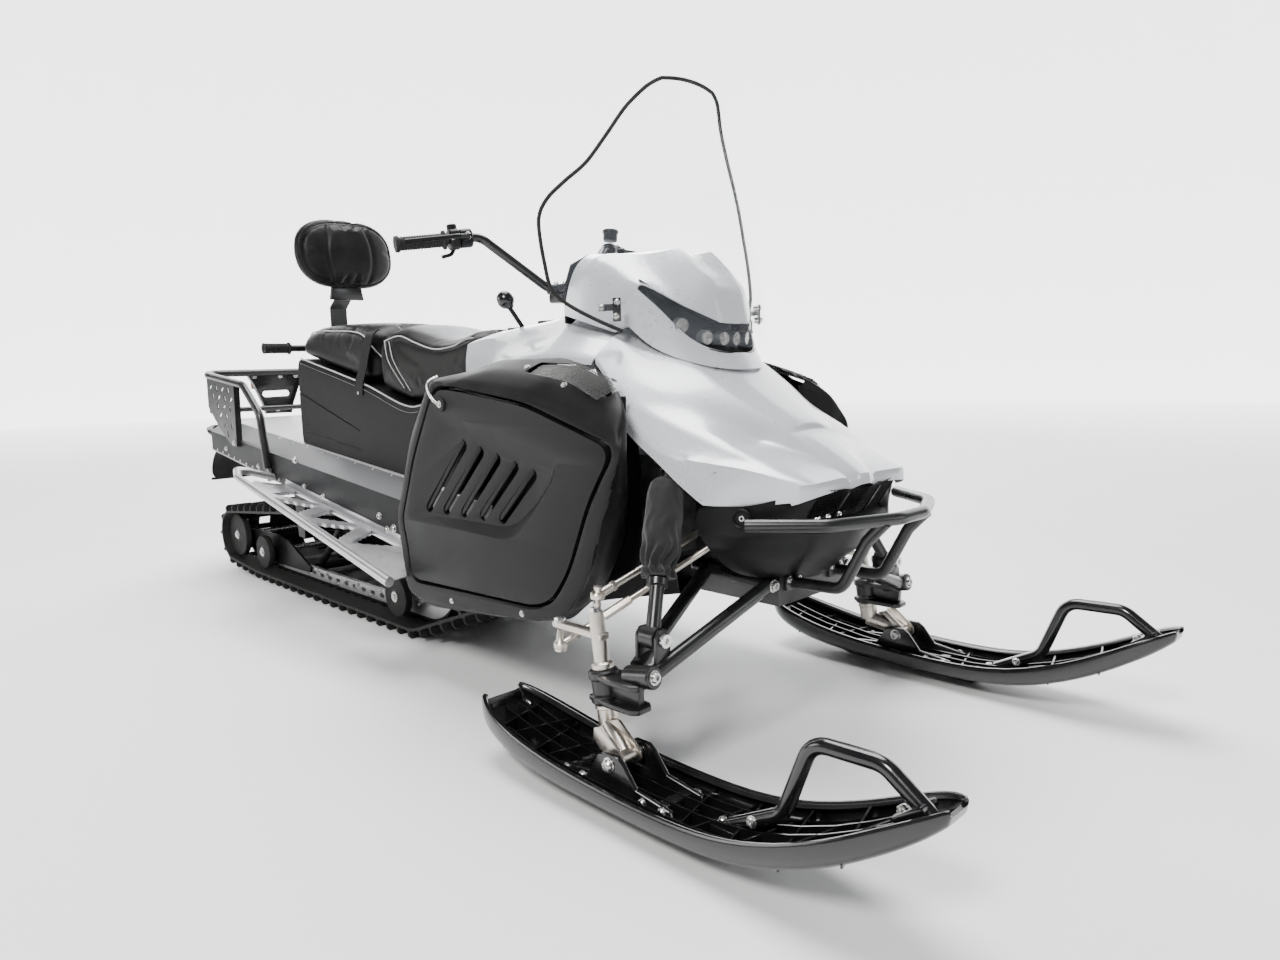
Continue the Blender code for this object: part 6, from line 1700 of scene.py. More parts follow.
def makeLinks(label, side):
    low, high = onSide([(-0.108, 0.446, 0.352), (-0.060, 0.118, 0.468)], side)
    rod = pipe([low, high], linkSizes["rod"], resolution=4)
    finished("upperLink_" + label, joined([rod, *rodEnd(low, (0.1, 0, 1), high - low)]), "zinc",
             replaces=["upper_link_" + label])

    armEnd = kingpinAt(0.302) - 0.105
    joint, inner = onSide([(armEnd, 0.452, 0.238), (-0.046, 0.190, 0.415)], side)
    rod = pipe([joint, inner], linkSizes["rod"], resolution=4)
    sleeve = turned([(0.0092, 0.10), (0.0092, 0.16)], joint, inner - joint, 6)
    ends = rodEnd(joint, (0, 0, 1), inner - joint, False)
    cup = turned([(0.006, -0.0125), (0.0115, -0.012), (0.0125, -0.009), (0.0125, 0.006), (0.009, 0.010),
                  (0.005, 0.031)], joint, (0, 0, 1), 24)
    finished("tieRod_" + label, joined([rod, sleeve, cup, *ends]), "zinc", "tie_rod_" + label,
             replaces=["tie_rod_" + label])


def makeSpindle(label, side):
    y, body = side * kneeSizes["y"], "ski_" + label
    foot = Vector((-0.002, side * 0.484, 0.088))
    low, top = (Vector((kingpinAt(z), y, z)) for z in (0.118, 0.322))
    heading = (top - low).normalized()
    collar = (0.156 - 0.118) / heading.z
    sleeve = turned([(0.017, -0.004), (0.0205, 0.0), (0.021, 0.004), (0.021, collar - 0.010),
                     (0.0235, collar - 0.008), (0.0235, collar - 0.002), (0.0145, collar - 0.001),
                     (0.0145, (top - low).length)], low, heading, 32)
    over = (0.219 - 0.118) / heading.z
    ring = turned([(0.0146, over), (0.0205, over + 0.001), (0.0205, over + 0.009), (0.0175, over + 0.012),
                   (0.0146, over + 0.013)], low, heading, 28)
    run = foot - low
    neck = turned([(0.0205, -0.004), (0.0205, 0.010), (0.0185, run.length * 0.5), (0.0150, run.length - 0.004)],
                  low, run, 28)
    cheeks = []
    for shift in (-0.0235, 0.0175):
        outline = [(-0.060, 0.132), (-0.040, 0.140), (-0.004, 0.112), (0.014, 0.096), (0.016, 0.082),
                   (0.004, 0.070), (-0.012, 0.072), (-0.030, 0.088), (-0.064, 0.112)]
        cheeks.append(plate(outline, foot.y + shift, foot.y + shift + 0.006, "y", bevel=0.0015))
    pivot = turned([(0.011, -0.0315), (0.011, 0.0315)], foot, (0, 1, 0), 20)
    armZ = 0.278
    armX = kingpinAt(0.302) - 0.105
    arm = plate([(kingpinAt(armZ) + 0.017, armZ - 0.005), (kingpinAt(armZ) + 0.017, armZ + 0.008),
                 (armX - 0.010, armZ + 0.006), (armX - 0.014, armZ), (armX - 0.010, armZ - 0.005)],
                y - 0.011, y + 0.011, "y", bevel=0.002)
    finished("spindle_" + label, joined([sleeve, ring, neck, *cheeks, pivot, arm]), "zinc", body,
             replaces=["spindle_" + label])
    nuts = scattered(boltHead(0.0115, 0.009, False, 6), [(top - heading * 0.0005, heading),
                                                        ((armX, side * 0.452, armZ + 0.006), (0, 0, 1))])
    finished("spindleNuts_" + label, nuts, "boltMetal", body)


# The skis: a thin moulding with rolled walls, ribs on its top, a keel, a saddle and a loop at the tip

skiSizes = {"y": 0.484, "skin": 0.006, "rib": 0.0035, "loop": 0.0125, "keel": 0.011}
# along the ski: x, height of the sole, height of the walls, half the width
skiRows = ((-0.366, 0.108, 0.118, 0.044), (-0.362, 0.084, 0.117, 0.051), (-0.330, 0.062, 0.106, 0.070),
           (-0.230, 0.038, 0.084, 0.085), (-0.100, 0.030, 0.066, 0.086), (0.060, 0.029, 0.060, 0.086),
           (0.210, 0.030, 0.062, 0.086), (0.320, 0.044, 0.082, 0.086), (0.440, 0.090, 0.130, 0.0834),
           (0.525, 0.141, 0.178, 0.070), (0.575, 0.174, 0.203, 0.050), (0.600, 0.196, 0.213, 0.028),
           (0.603, 0.208, 0.213, 0.024))
# across the ski: share of the half width, share of the wall's height
skiAcross = ((0.84, 0.82), (0.90, 0.99), (0.97, 1.0), (1.0, 0.86), (0.99, 0.45), (0.95, 0.14), (0.82, 0.0),
             (0.40, 0.0), (0.14, -0.02))


def skiAt(x):
    return [float(np.interp(x, [row[0] for row in skiRows], [row[k] for row in skiRows])) for k in (1, 2, 3)]


def ribLine(low, high, y, top, count=16):
    # a rib along the ski, from its sole to a share of the walls' height
    foot, head = [], []
    for k in range(count):
        x = low + (high - low) * k / (count - 1)
        sole, wall, half = skiAt(x)
        foot.append((x, sole + 0.001))
        head.append((x, sole + (wall - sole) * top))
    return plate(foot + head[::-1], y - skiSizes["rib"] / 2, y + skiSizes["rib"] / 2, "y")


def makeSki(label, side):
    middle, body = side * skiSizes["y"], "ski_" + label
    rows = []
    for x, sole, wall, half in skiRows:
        line = [(x, u * half, sole + (wall - sole) * w) for u, w in skiAcross]
        rows.append([(x, y + middle, z) for x, y, z in line + [(x, -y, z) for x, y, z in line[::-1]]])
    sheet = gridCage(rows, ((2, 0.5), (6, 0.6), (11, 0.6), (15, 0.5)), False, ((1, 0.6), (11, 0.6)))
    shell(sheet, 2, skiSizes["skin"], 0.0)
    ribs = [ribLine(-0.335, 0.53, middle + y, top) for y, top in ((-0.048, 0.62), (-0.016, 0.75), (0.016, 0.75),
                                                              (0.048, 0.62))]
    places = (-0.30, -0.25, -0.20, -0.15, 0.16, 0.21, 0.26, 0.31, 0.36, 0.41, 0.46, 0.50)
    for i, x in enumerate(places):
        sole, wall, half = skiAt(x)
        wide = half * 0.90
        sole += 0.002 + abs(skiAt(x + 0.01)[0] - skiAt(x - 0.01)[0]) * 0.35
        head = sole + (wall - sole) * 0.66
        slope = 0.022 * (-1) ** i
        rib = plate([(-wide, sole), (wide, sole), (wide, head), (-wide, head)], -0.0017, 0.0017, "x")
        rib.data.transform(Matrix.Translation((x, middle, 0)) @ Matrix.Rotation(math.atan2(slope, half), 4, "Z"))
        ribs.append(rib)
    keel = plate([(-0.300, 0.050), (-0.260, 0.022), (-0.150, 0.0005), (0.180, 0.0005), (0.300, 0.030),
                  (0.330, 0.048), (0.200, 0.036), (-0.200, 0.036)], middle - skiSizes["keel"],
                 middle + skiSizes["keel"], "y", bevel=0.003)
    finished("skiBody_" + label, joined([sheet, *ribs, keel]), "skiGloss", body,
             replaces=["ski_" + label])

    saddle = []
    outline = [(-0.150, 0.034), (0.150, 0.034), (0.140, 0.052), (0.062, 0.062), (0.032, 0.098), (0.018, 0.107),
               (-0.016, 0.107), (-0.030, 0.098), (-0.052, 0.062), (-0.140, 0.052)]
    for low in (-0.043, 0.033):
        saddle.append(plate(outline, middle + low, middle + low + 0.010, "y", bevel=0.002))
    for x in (-0.11, 0.11):
        saddle.append(box((x - 0.012, middle - 0.040, 0.034), (x + 0.012, middle + 0.040, 0.050), 0.003))
    loop = pipe(onSide([(0.235, 0, 0.050), (0.335, 0, 0.104), (0.385, 0, 0.232), (0.500, 0, 0.236),
                        (0.572, 0, 0.184)], 1), skiSizes["loop"], 0.045, resolution=6, steps=8)
    loop.data.transform(Matrix.Translation((0, middle, 0)))
    feet = [box((0.205, middle - 0.020, 0.036), (0.262, middle + 0.020, 0.050), 0.004)]
    tip = box((-0.026, -0.020, -0.006), (0.026, 0.020, 0.006), 0.003)
    tip.data.transform(Matrix.Translation((0.545, middle, 0.186)) @ Matrix.Rotation(-0.60, 4, "Y"))
    finished("skiLoop_" + label, joined([*saddle, loop, *feet, tip]), "skiGloss", body)
    spots = [((0.0, middle + s * 0.043, 0.088), (0, s, 0), (1, 0, 0), 1.5) for s in (-1, 1)]
    spots += [((x, middle + s * 0.043, 0.047), (0, s, 0)) for x in (-0.115, -0.07, 0.08, 0.125) for s in (-1, 1)]
    spots += [((x, middle, z), (-n, 0, 1)) for x, z, n in ((0.218, 0.050, 0.0), (0.528, 0.182, 0.65),
                                                           (0.556, 0.199, 0.65))]
    spots += [((0.285, middle + s * 0.012, 0.078), (0, s, 0.2)) for s in (-1, 1)]
    finished("skiBolts_" + label, scattered(boltHead(0.0075, 0.006), spots), "boltMetal", body)


for label, side in sides:
    makeShock(label, side)
    makeArm(label, side)
    makeLinks(label, side)
    makeSpindle(label, side)
    makeSki(label, side)
print("front suspension and skis made")
# The running boards: a sheet with toothed triangular openings between two edges, a tube round the outside

boardSizes = {"rear": -1.880, "front": -0.900, "inner": 0.2672, "outer": 0.430, "thick": 0.0024, "tube": 0.0128,
              "tooth": 0.0065, "bays": 6}


def skirtZ(x):
    return 0.475 - (x + 2.545) * 0.1335


def deckZ(x):
    return 0.586 - (x + 2.545) * 0.0958


def boardZ(x, y):
    share = (abs(y) - boardSizes["inner"]) / (boardSizes["outer"] - boardSizes["inner"])
    low = skirtZ(x) + 0.004
    return low + (0.424 - (x + 1.800) * 0.198 - low) * share


def toothed(corners):
    # an opening whose two long edges carry teeth, pressed out of the sheet
    line = []
    for i, (a, b) in enumerate(zip(corners, corners[1:] + corners[:1])):
        a, b = Vector(a), Vector(b)
        run = b - a
        line.append(a)
        if i == 0:
            continue
        count = max(3, int(run.length / 0.013))
        normal = Vector((-run.y, run.x)).normalized() * boardSizes["tooth"]
        inside = sum((Vector(c) for c in corners), Vector((0, 0))) / 3 - (a + b) / 2
        normal = normal if normal.dot(inside) > 0 else -normal
        for k in range(1, count):
            share = 0.06 + 0.88 * k / count
            line.append(a + run * share + (normal if k % 2 else Vector((0, 0))))
    return [tuple(p) for p in line]


def boardHoles():
    rear, inner, outer = boardSizes["rear"], boardSizes["inner"], boardSizes["outer"]
    bay = (boardSizes["front"] - rear - 0.232) / boardSizes["bays"]
    holes = []
    for k in range(boardSizes["bays"] - 1):
        low = rear + 0.10 + k * bay
        base, apex = (outer - 0.020, inner + 0.030) if k % 2 else (inner + 0.020, outer - 0.028)
        holes.append(toothed([(low + 0.02, base), (low + bay * 1.55, base), (low + bay * 0.80, apex)]))
    holes.append(toothed([(rear + 0.035, outer - 0.045), (rear + 0.035, inner + 0.045),
                          (rear + 0.095, inner + 0.085)]))
    return holes


def makeBoard(label, side):
    rear, front, inner, outer = (boardSizes[key] for key in ("rear", "front", "inner", "outer"))
    outline = [(rear, inner), (front, inner), (front, outer), (rear + 0.08, outer)]
    sheet = plate(outline, -boardSizes["thick"] / 2, boardSizes["thick"] / 2, "z", boardHoles())
    teeth = []
    for hole in boardHoles():
        wall = meshPiece([(x, y, z) for z in (-0.009, 0.0) for x, y in hole],
                         [(k, (k + 1) % len(hole), len(hole) + (k + 1) % len(hole), len(hole) + k)
                          for k in range(len(hole))])
        teeth.append(baked(modified(wall, "SOLIDIFY", thickness=0.0014, offset=1.0)))
    tube = pipe([(rear - 0.060, inner + 0.013, 0.010), (rear - 0.060, outer - 0.03, 0.010),
                 (rear + 0.040, outer + 0.006, 0.0012), (front + 0.004, outer + 0.006, 0.0012)],
                boardSizes["tube"], 0.06, resolution=5, steps=8)
    lip = plate([(rear + 0.01, inner + 0.0004), (front, inner + 0.0004), (front, inner + 0.0028),
                 (rear + 0.01, inner + 0.0028)], 0.0, 0.020, "z")
    board = joined([sheet, *teeth, tube, lip])
    for vertex in board.data.vertices:
        x, y, z = vertex.co
        vertex.co = (x, y * side, z + boardZ(x, y))
    outward(board)
    finished("footBoard_" + label, board, "boardMetal", replaces=["running_board_" + label])


# The tunnel's trim: a rolled lower edge, an edge strip on the deck and rows of rivets and bolts

tunnelSizes = {"y": 0.2665, "rear": -2.545, "front": -0.66, "strip": 0.003}
# bolts seen on the tunnel's side: x, height above the lower edge, size
tunnelBolts = ((-1.735, 0.030, 1.0), (-1.600, 0.026, 1.0), (-1.245, 0.050, 1.1), (-1.205, 0.020, 1.1),
               (-1.165, 0.034, 1.2), (-1.120, 0.018, 1.1), (-1.790, 0.105, 1.2), (-2.395, 0.030, 1.0),
               (-2.10, 0.022, 0.9))


def makeTunnelTrim():
    rear, front, y = tunnelSizes["rear"], tunnelSizes["front"], tunnelSizes["y"]
    spots, big, hems = [], [], []
    for label, side in sides:
        steps = [rear + (front - rear) * k / 34 for k in range(1, 34)]
        spots += [((x, side * y, skirtZ(x) + 0.009), (0, side, 0)) for x in steps]
        slope = Vector((0, side * 0.04, 0.065)).normalized()
        spots += [((x, side * 0.2072, deckZ(x) - 0.0036), slope) for x in steps[::2]]
        big += [((x, side * y, skirtZ(x) + up), (0, side, 0), (1, 0, 0), size) for x, up, size in tunnelBolts]
        hem = [(rear, side * (y - 0.001), skirtZ(rear)), (front, side * (y - 0.001), skirtZ(front))]
        hems.append(pipe(hem, tunnelSizes["strip"], resolution=3))
        bend = [(rear, side * 0.200, deckZ(rear) + 0.0003), (front, side * 0.200, deckZ(front) + 0.0003)]
        hems.append(pipe(bend, 0.0022, resolution=3))
    finished("tunnelRivets", scattered(boltHead(0.0036, 0.0022, False, 10), spots), "boltMetal")
    finished("tunnelBolts", scattered(boltHead(0.0080, 0.0065), big), "boltMetal")
    finished("tunnelHems", joined(hems), "boardMetal")
    deck = meshPiece([(rear + 0.004, -0.197, deckZ(rear + 0.004) + 0.0016), (-1.0, -0.197, deckZ(-1.0) + 0.0016),
                      (-1.0, 0.197, deckZ(-1.0) + 0.0016), (rear + 0.004, 0.197, deckZ(rear + 0.004) + 0.0016)],
                     [(0, 1, 2, 3)])
    modified(deck, "SOLIDIFY", thickness=0.0012, offset=0.0)
    finished("tunnelDeck", deck, "deckMetal")
    bevels = []
    for label, side in sides:
        low = [(x, side * 0.2668, deckZ(x) - 0.0405) for x in (rear + 0.004, front)]
        high = [(x, side * 0.2022, deckZ(x) - 0.0004) for x in (front, rear + 0.004)]
        strip = meshPiece(low + high, [(0, 1, 2, 3) if side < 0 else (3, 2, 1, 0)])
        bevels.append(baked(modified(strip, "SOLIDIFY", thickness=0.0012, offset=1.0)))
    finished("tunnelBevels", joined(bevels), "bevelMetal")


# The cargo rack: bent rail, side plates with slots, a lamp bracket facing back, the lamp

rackSizes = {"tube": 0.0135, "y": 0.2805, "plate": 0.0030}


def capsule(x, z, long, wide, turn):
    # a slot with round ends, as an outline
    line = []
    for k in range(12):
        angle = 2 * math.pi * k / 12
        u = math.cos(angle) * wide / 2 + (long - wide) / 2 * (1 if math.cos(angle) > 0 else -1)
        v = math.sin(angle) * wide / 2
        line.append((x + u * math.cos(turn) - v * math.sin(turn), z + u * math.sin(turn) + v * math.cos(turn)))
    return line


def makeRack():
    y = rackSizes["y"]
    right = [(-1.985, -y, 0.440), (-2.020, -y, 0.625), (-2.150, -y, 0.725), (-2.536, -y, 0.766)]
    path = right + mirroredPoints(right)[::-1]
    pieces = [pipe(path, rackSizes["tube"], 0.07, resolution=6, steps=10),
              pipe([(-2.490, -y, 0.625), (-2.490, y, 0.625)], 0.010, resolution=5)]
    for label, side in sides:
        holes = []
        for row in range(6):
            for column in range(4):
                x = -2.466 + column * 0.058 + (row % 2) * 0.018 + row * 0.002
                z = 0.716 - row * 0.033 - column * 0.004
                if x < -2.262 - row * 0.003 and x > -2.485 + row * 0.024:
                    holes.append(capsule(x, z, 0.026, 0.010, 0.9 * (-1) ** (row + column) - 0.3))
        outline = [(-2.500, 0.752), (-2.235, 0.726), (-2.250, 0.500), (-2.290, 0.500), (-2.400, 0.560),
                   (-2.505, 0.640)]
        half = rackSizes["plate"] / 2
        pieces.append(plate(outline, side * y - half, side * y + half, "y", holes))
        fold = [(-2.246, 0.722), (-2.236, 0.722), (-2.250, 0.505), (-2.260, 0.505)]
        pieces.append(plate(fold, min(side * y, side * (y - 0.020)), max(side * y, side * (y - 0.020)), "y"))
        pieces.append(box((-2.290, side * 0.274 - 0.0065, 0.500), (-2.250, side * 0.274 + 0.0065, 0.530), 0.001))
        foot = [(-2.004, 0.440), (-1.966, 0.440), (-1.962, 0.400), (-2.000, 0.392)]
        pieces.append(plate(foot, side * 0.2745 - 0.0045, side * 0.2745 + 0.0045, "y", bevel=0.001))
    finished("rackRail", joined(pieces), "tubeCoat", replaces=["rack_rail"])
    spots = [((x, side * (y + 0.0015), z), (0, side, 0)) for label, side in sides
             for x, z in ((-2.270, 0.514), (-1.983, 0.412))]
    spots += [((-2.5545, py, z), (-1, 0, 0)) for py, z in ((-0.085, 0.752), (0.085, 0.752), (0.0, 0.618))]
    spots += [((-2.5455, py, z), (1, 0, 0))
              for py, z in ((-0.085, 0.752), (0.085, 0.752), (0.0, 0.618), (0.02, 0.752))]
    finished("rackBolts", scattered(boltHead(0.0085, 0.006), spots), "boltMetal")

    rear = -2.5495
    outline = [(-0.120, 0.768), (0.120, 0.768), (0.092, 0.720), (0.060, 0.640), (0.050, 0.600), (-0.050, 0.600),
               (-0.060, 0.640), (-0.092, 0.720)]
    slot = capsule(0.0, 0.680, 0.110, 0.026, 0.0)
    bracket = plate(outline, rear - 0.0045, rear - 0.0005, "x", [slot], bevel=0.0008)
    flanges = []
    for side in (-1, 1):
        for (ya, za), (yb, zb) in zip(outline[1:4], outline[2:5]):
            quad = [(-2.5495, side * ya, za), (-2.5495, side * yb, zb), (-2.530, side * yb, zb),
                    (-2.530, side * ya, za)]
            flange = meshPiece(quad, [(0, 1, 2, 3)])
            flanges.append(baked(modified(flange, "SOLIDIFY", thickness=0.0024, offset=0.0)))
    finished("lampBracket", joined([bracket, *flanges]), "tubeCoat", replaces=["rack_bracket"])

    low, high = (-2.5935, -0.085, 0.700), (-2.5556, 0.085, 0.745)
    housing = box((-2.574, low[1], low[2]), high, 0.004)
    finished("lampHousing", housing, "mouldingSatin")
    lens = box(low, (-2.5745, high[1], high[2]), 0.007, 3)
    ribs = [box((-2.5955, -0.080 + k * 0.010, 0.704), (-2.592, -0.0765 + k * 0.010, 0.741), 0.0008)
            for k in range(16)]
    finished("lampLens", joined([lens, *ribs]), "lampRed", replaces=["tail_lamp"])


makeTunnelTrim()
for label, side in sides:
    makeBoard(label, side)
makeRack()
print("tunnel trim, boards and rack made")


# The track: its belt bands and lugs grown along the loop by geometry nodes

trackSizes = {"width": 0.500, "belt": 0.008, "lug": 0.025, "pitch": 0.0604}
# wheels and rails that the belt runs round: x, z, radius
trackCircles = ((-2.474, 0.138, 0.089), (-2.239, 0.1005, 0.0675), (-1.160, 0.193, 0.160), (-0.760, 0.258, 0.085))


def hullLine(circles):
    # the tight loop round the circles, its points in order
    points = sorted((cx + r * math.cos(math.radians(a)), cz + r * math.sin(math.radians(a)))
                    for cx, cz, r in circles for a in range(0, 360, 6))
    halves = []
    for run in (points, points[::-1]):
        half = []
        for p in run:
            while len(half) > 1 and ((half[-1][0] - half[-2][0]) * (p[1] - half[-2][1])
                                     - (half[-1][1] - half[-2][1]) * (p[0] - half[-2][0])) <= 0:
                half.pop()
            half.append(p)
        halves += half[:-1]
    return halves


def lugPiece():
    # one pitch of the track: cleats in three bands with cut corners, a root strip and two drive teeth
    depth, height, half = 0.0042, trackSizes["lug"], trackSizes["width"] / 2
    pieces = []
    bands = ((-half, -0.168, 1.0), (-0.150, -0.060, 0.92), (-0.046, 0.046, 1.0), (0.060, 0.150, 0.92),
             (0.168, half, 1.0))
    for low, high, tall in bands:
        notch = 0.008
        top = height * tall
        outline = [(low, 0.0), (high, 0.0), (high, top - notch), (high - notch, top), (low + notch, top),
                   (low, top - notch)]
        pieces.append(plate(outline, -depth, depth, "x", bevel=0.0012, segments=1))
        pieces.append(plate([(low + 0.01, 0.0), (high - 0.01, 0.0), (high - 0.01, height * 0.42),
                             (low + 0.01, height * 0.42)], -depth * 2.1, depth * 2.1, "x", bevel=0.002, segments=1))
    pieces.append(box((-0.010, -half, -0.0005), (0.010, half, 0.003), 0.001, 1))
    for y in (-0.128, 0.128):
        pieces.append(box((-0.011, y - 0.010, -0.028), (0.011, y + 0.010, -0.006), 0.004, 1))
    return joined(pieces)


def trackTree():
    # the belt bands are swept along the loop and the lug is set on it at every pitch
    inputs = [("Lug", "Object", None), ("Count", "Int", 90), ("Band", "Object", None)]
    graph, given = geometryTree("trackLoop", inputs)
    lug, band = (graph.add("GeometryNodeObjectInfo", None, {"Object": given.out(name)}, "Geometry")
                 for name in ("Lug", "Band"))
    curve = graph.add("GeometryNodeMeshToCurve", None, {"Mesh": given.out("Geometry")})
    spots = graph.add("GeometryNodeCurveToPoints", {"mode": "COUNT"}, {"Curve": curve, "Count": given.out("Count")})
    up = graph.add("GeometryNodeInputNamedAttribute", {"data_type": "FLOAT_VECTOR"}, {"Name": "facing"})
    along = graph.add("FunctionNodeAlignRotationToVector", {"axis": "Z"}, {"Vector": up})
    turn = graph.add("FunctionNodeAlignRotationToVector", {"axis": "Y", "pivot_axis": "Z"},
                     {"Rotation": along, "Vector": (0.0, 1.0, 0.0)})
    lugs = graph.add("GeometryNodeInstanceOnPoints", None, {"Points": spots, "Instance": lug, "Rotation": turn})
    both = graph.add("GeometryNodeJoinGeometry")
    for part in (band, lugs):
        graph.tree.links.new(part.socket, both.node.inputs[0])
    closeTree(graph, both, "trackRubber")
    return graph


def makeTrack():
    hull = [Vector((x, 0, z)) for x, z in hullLine(trackCircles)]
    loop = hull + hull[:1]
    total = sum((b - a).length for a, b in zip(loop, loop[1:]))
    count = round(total / trackSizes["pitch"])
    steps = count * 4
    line, travelled, at = [], 0.0, 0
    for k in range(steps):
        goal = total * k / steps
        while travelled + (loop[at + 1] - loop[at]).length < goal:
            travelled += (loop[at + 1] - loop[at]).length
            at += 1
        share = (goal - travelled) / (loop[at + 1] - loop[at]).length
        line.append(loop[at].lerp(loop[at + 1], share))
    normals = []
    for k in range(steps):
        run = line[(k + 2) % steps] - line[k - 2]
        normals.append(Vector((run.z, 0, -run.x)).normalized())
    belt, half = trackSizes["belt"], trackSizes["width"] / 2
    # bands of the belt across the track, with open windows between them
    edges = ((-half, -0.178), (-0.150, -0.104), (-0.060, 0.060), (0.104, 0.150), (0.178, half))
    points, faces = [], []
    for low, high in edges:
        base = len(points)
        for p, n in zip(line, normals):
            points += [p + Vector((0, low, 0)), p + Vector((0, high, 0)), p + n * belt + Vector((0, high, 0)),
                       p + n * belt + Vector((0, low, 0))]
        for k in range(steps):
            a, b = base + 4 * k, base + 4 * ((k + 1) % steps)
            faces += [(a + j, a + (j + 1) % 4, b + (j + 1) % 4, b + j) for j in range(4)]
    # strips that close the windows but for an opening in each pitch
    for low, high in zip([edge[1] for edge in edges], [edge[0] for edge in edges[1:]]):
        for k in range(0, steps, 4):
            base = len(points)
            for j in (0, 1, 2):
                p, n = line[(k + j - 1) % steps], normals[(k + j - 1) % steps]
                points += [p + Vector((0, low - 0.001, 0)), p + Vector((0, high + 0.001, 0)),
                           p + n * belt + Vector((0, high + 0.001, 0)), p + n * belt + Vector((0, low - 0.001, 0))]
            for j in (0, 4):
                faces += [(base + j + i, base + j + (i + 1) % 4, base + j + 4 + (i + 1) % 4, base + j + 4 + i)
                          for i in range(4)]
            faces += [(base, base + 1, base + 2, base + 3), (base + 11, base + 10, base + 9, base + 8)]
    band, lug = outward(meshPiece(points, faces)), lugPiece()
    path = meshPiece([p + n * belt for p, n in zip(line, normals)],
                     [])
    bm = bmesh.new()
    bm.from_mesh(path.data)
    bm.verts.ensure_lookup_table()
    for k in range(steps):
        bm.edges.new((bm.verts[k], bm.verts[(k + 1) % steps]))
    bm.to_mesh(path.data)
    bm.free()
    layer = path.data.attributes.new("facing", "FLOAT_VECTOR", "POINT")
    for item, normal in zip(layer.data, normals):
        item.vector = normal
    graph = trackTree()
    obj = grown(path, graph, Lug=lug, Count=count, Band=band)
    for spare in (lug, band):
        bpy.data.objects.remove(spare)
    finished("trackLoop", obj, "trackRubber", replaces=["track"], sharp=40)


# The wheels: a rubber tyre on a spoked disc, a bearing cap and its bolt; the axles and slide rails

wheelSizes = {"y": 0.212, "width": 0.022, "windows": 6}
# name, x, z, radius of the belt round it
wheelSets = (("idler_wheels", -2.474, 0.138, 0.089), ("rear_bogie_wheels", -2.239, 0.1005, 0.0675),
             ("front_bogie_wheels", -1.263, 0.1005, 0.0675))


def makeWheels():
    half = wheelSizes["width"] / 2
    discs, caps = [], []
    for node, x, z, belt in wheelSets:
        radius = belt - 0.0062
        tyres = []
        for side in (-1, 1):
            y = side * wheelSizes["y"]
            tyres.append(turned([(radius * 0.83, -half), (radius * 0.97, -half), (radius, -half + 0.003),
                                 (radius, half - 0.003), (radius * 0.97, half), (radius * 0.83, half)],
                                (x, y, z), (0, 1, 0), 48))
            holes = []
            for k in range(wheelSizes["windows"]):
                middle = 2 * math.pi * (k + 0.5) / wheelSizes["windows"]
                near, far = radius * 0.46, radius * 0.72
                ring = [(x + r * math.cos(middle + a), z + r * math.sin(middle + a))
                        for r, turns in ((near, (-0.26, 0.0, 0.26)), (far, (0.34, 0.17, 0.0, -0.17, -0.34)))
                        for a in turns]
                holes.append(ring)
            rim = [(x + radius * 0.845 * math.cos(2 * math.pi * k / 48),
                    z + radius * 0.845 * math.sin(2 * math.pi * k / 48)) for k in range(48)]
            discs.append(plate(rim, y - 0.004, y + 0.004, "y", holes, bevel=0.001, segments=1))
            for k in range(wheelSizes["windows"]):
                angle = 2 * math.pi * k / wheelSizes["windows"]
                rib = box((radius * 0.28, -0.0025, -0.008), (radius * 0.82, 0.0025, 0.008), 0.0008, 1)
                rib.data.transform(Matrix.Translation((x, y, z)) @ Matrix.Rotation(math.pi / 2, 4, "X")
                                   @ Matrix.Rotation(angle, 4, "Z"))
                discs.append(rib)
            discs.append(turned([(0.011, -0.013), (0.024, -0.011), (0.0255, 0.0), (0.024, 0.011), (0.011, 0.013)],
                                (x, y, z), (0, side, 0), 32))
            caps.append(turned([(0.0165, 0.0125), (0.016, 0.0145), (0.009, 0.015), (0.009, 0.019), (0.003, 0.019),
                                (0.001, 0.017)], (x, y, z), (0, side, 0), 24))
        caps.append(pipe([(x, -0.2285, z), (x, 0.2285, z)], 0.0098, resolution=4))
        finished("tyres_" + node.split("_")[0] + node.split("_")[1], joined(tyres), "rubber",
                 replaces=[node])
    finished("wheelDiscs", joined(discs), "mouldingSatin", sharp=40)
    finished("wheelCaps", joined(caps), "boltMetal")


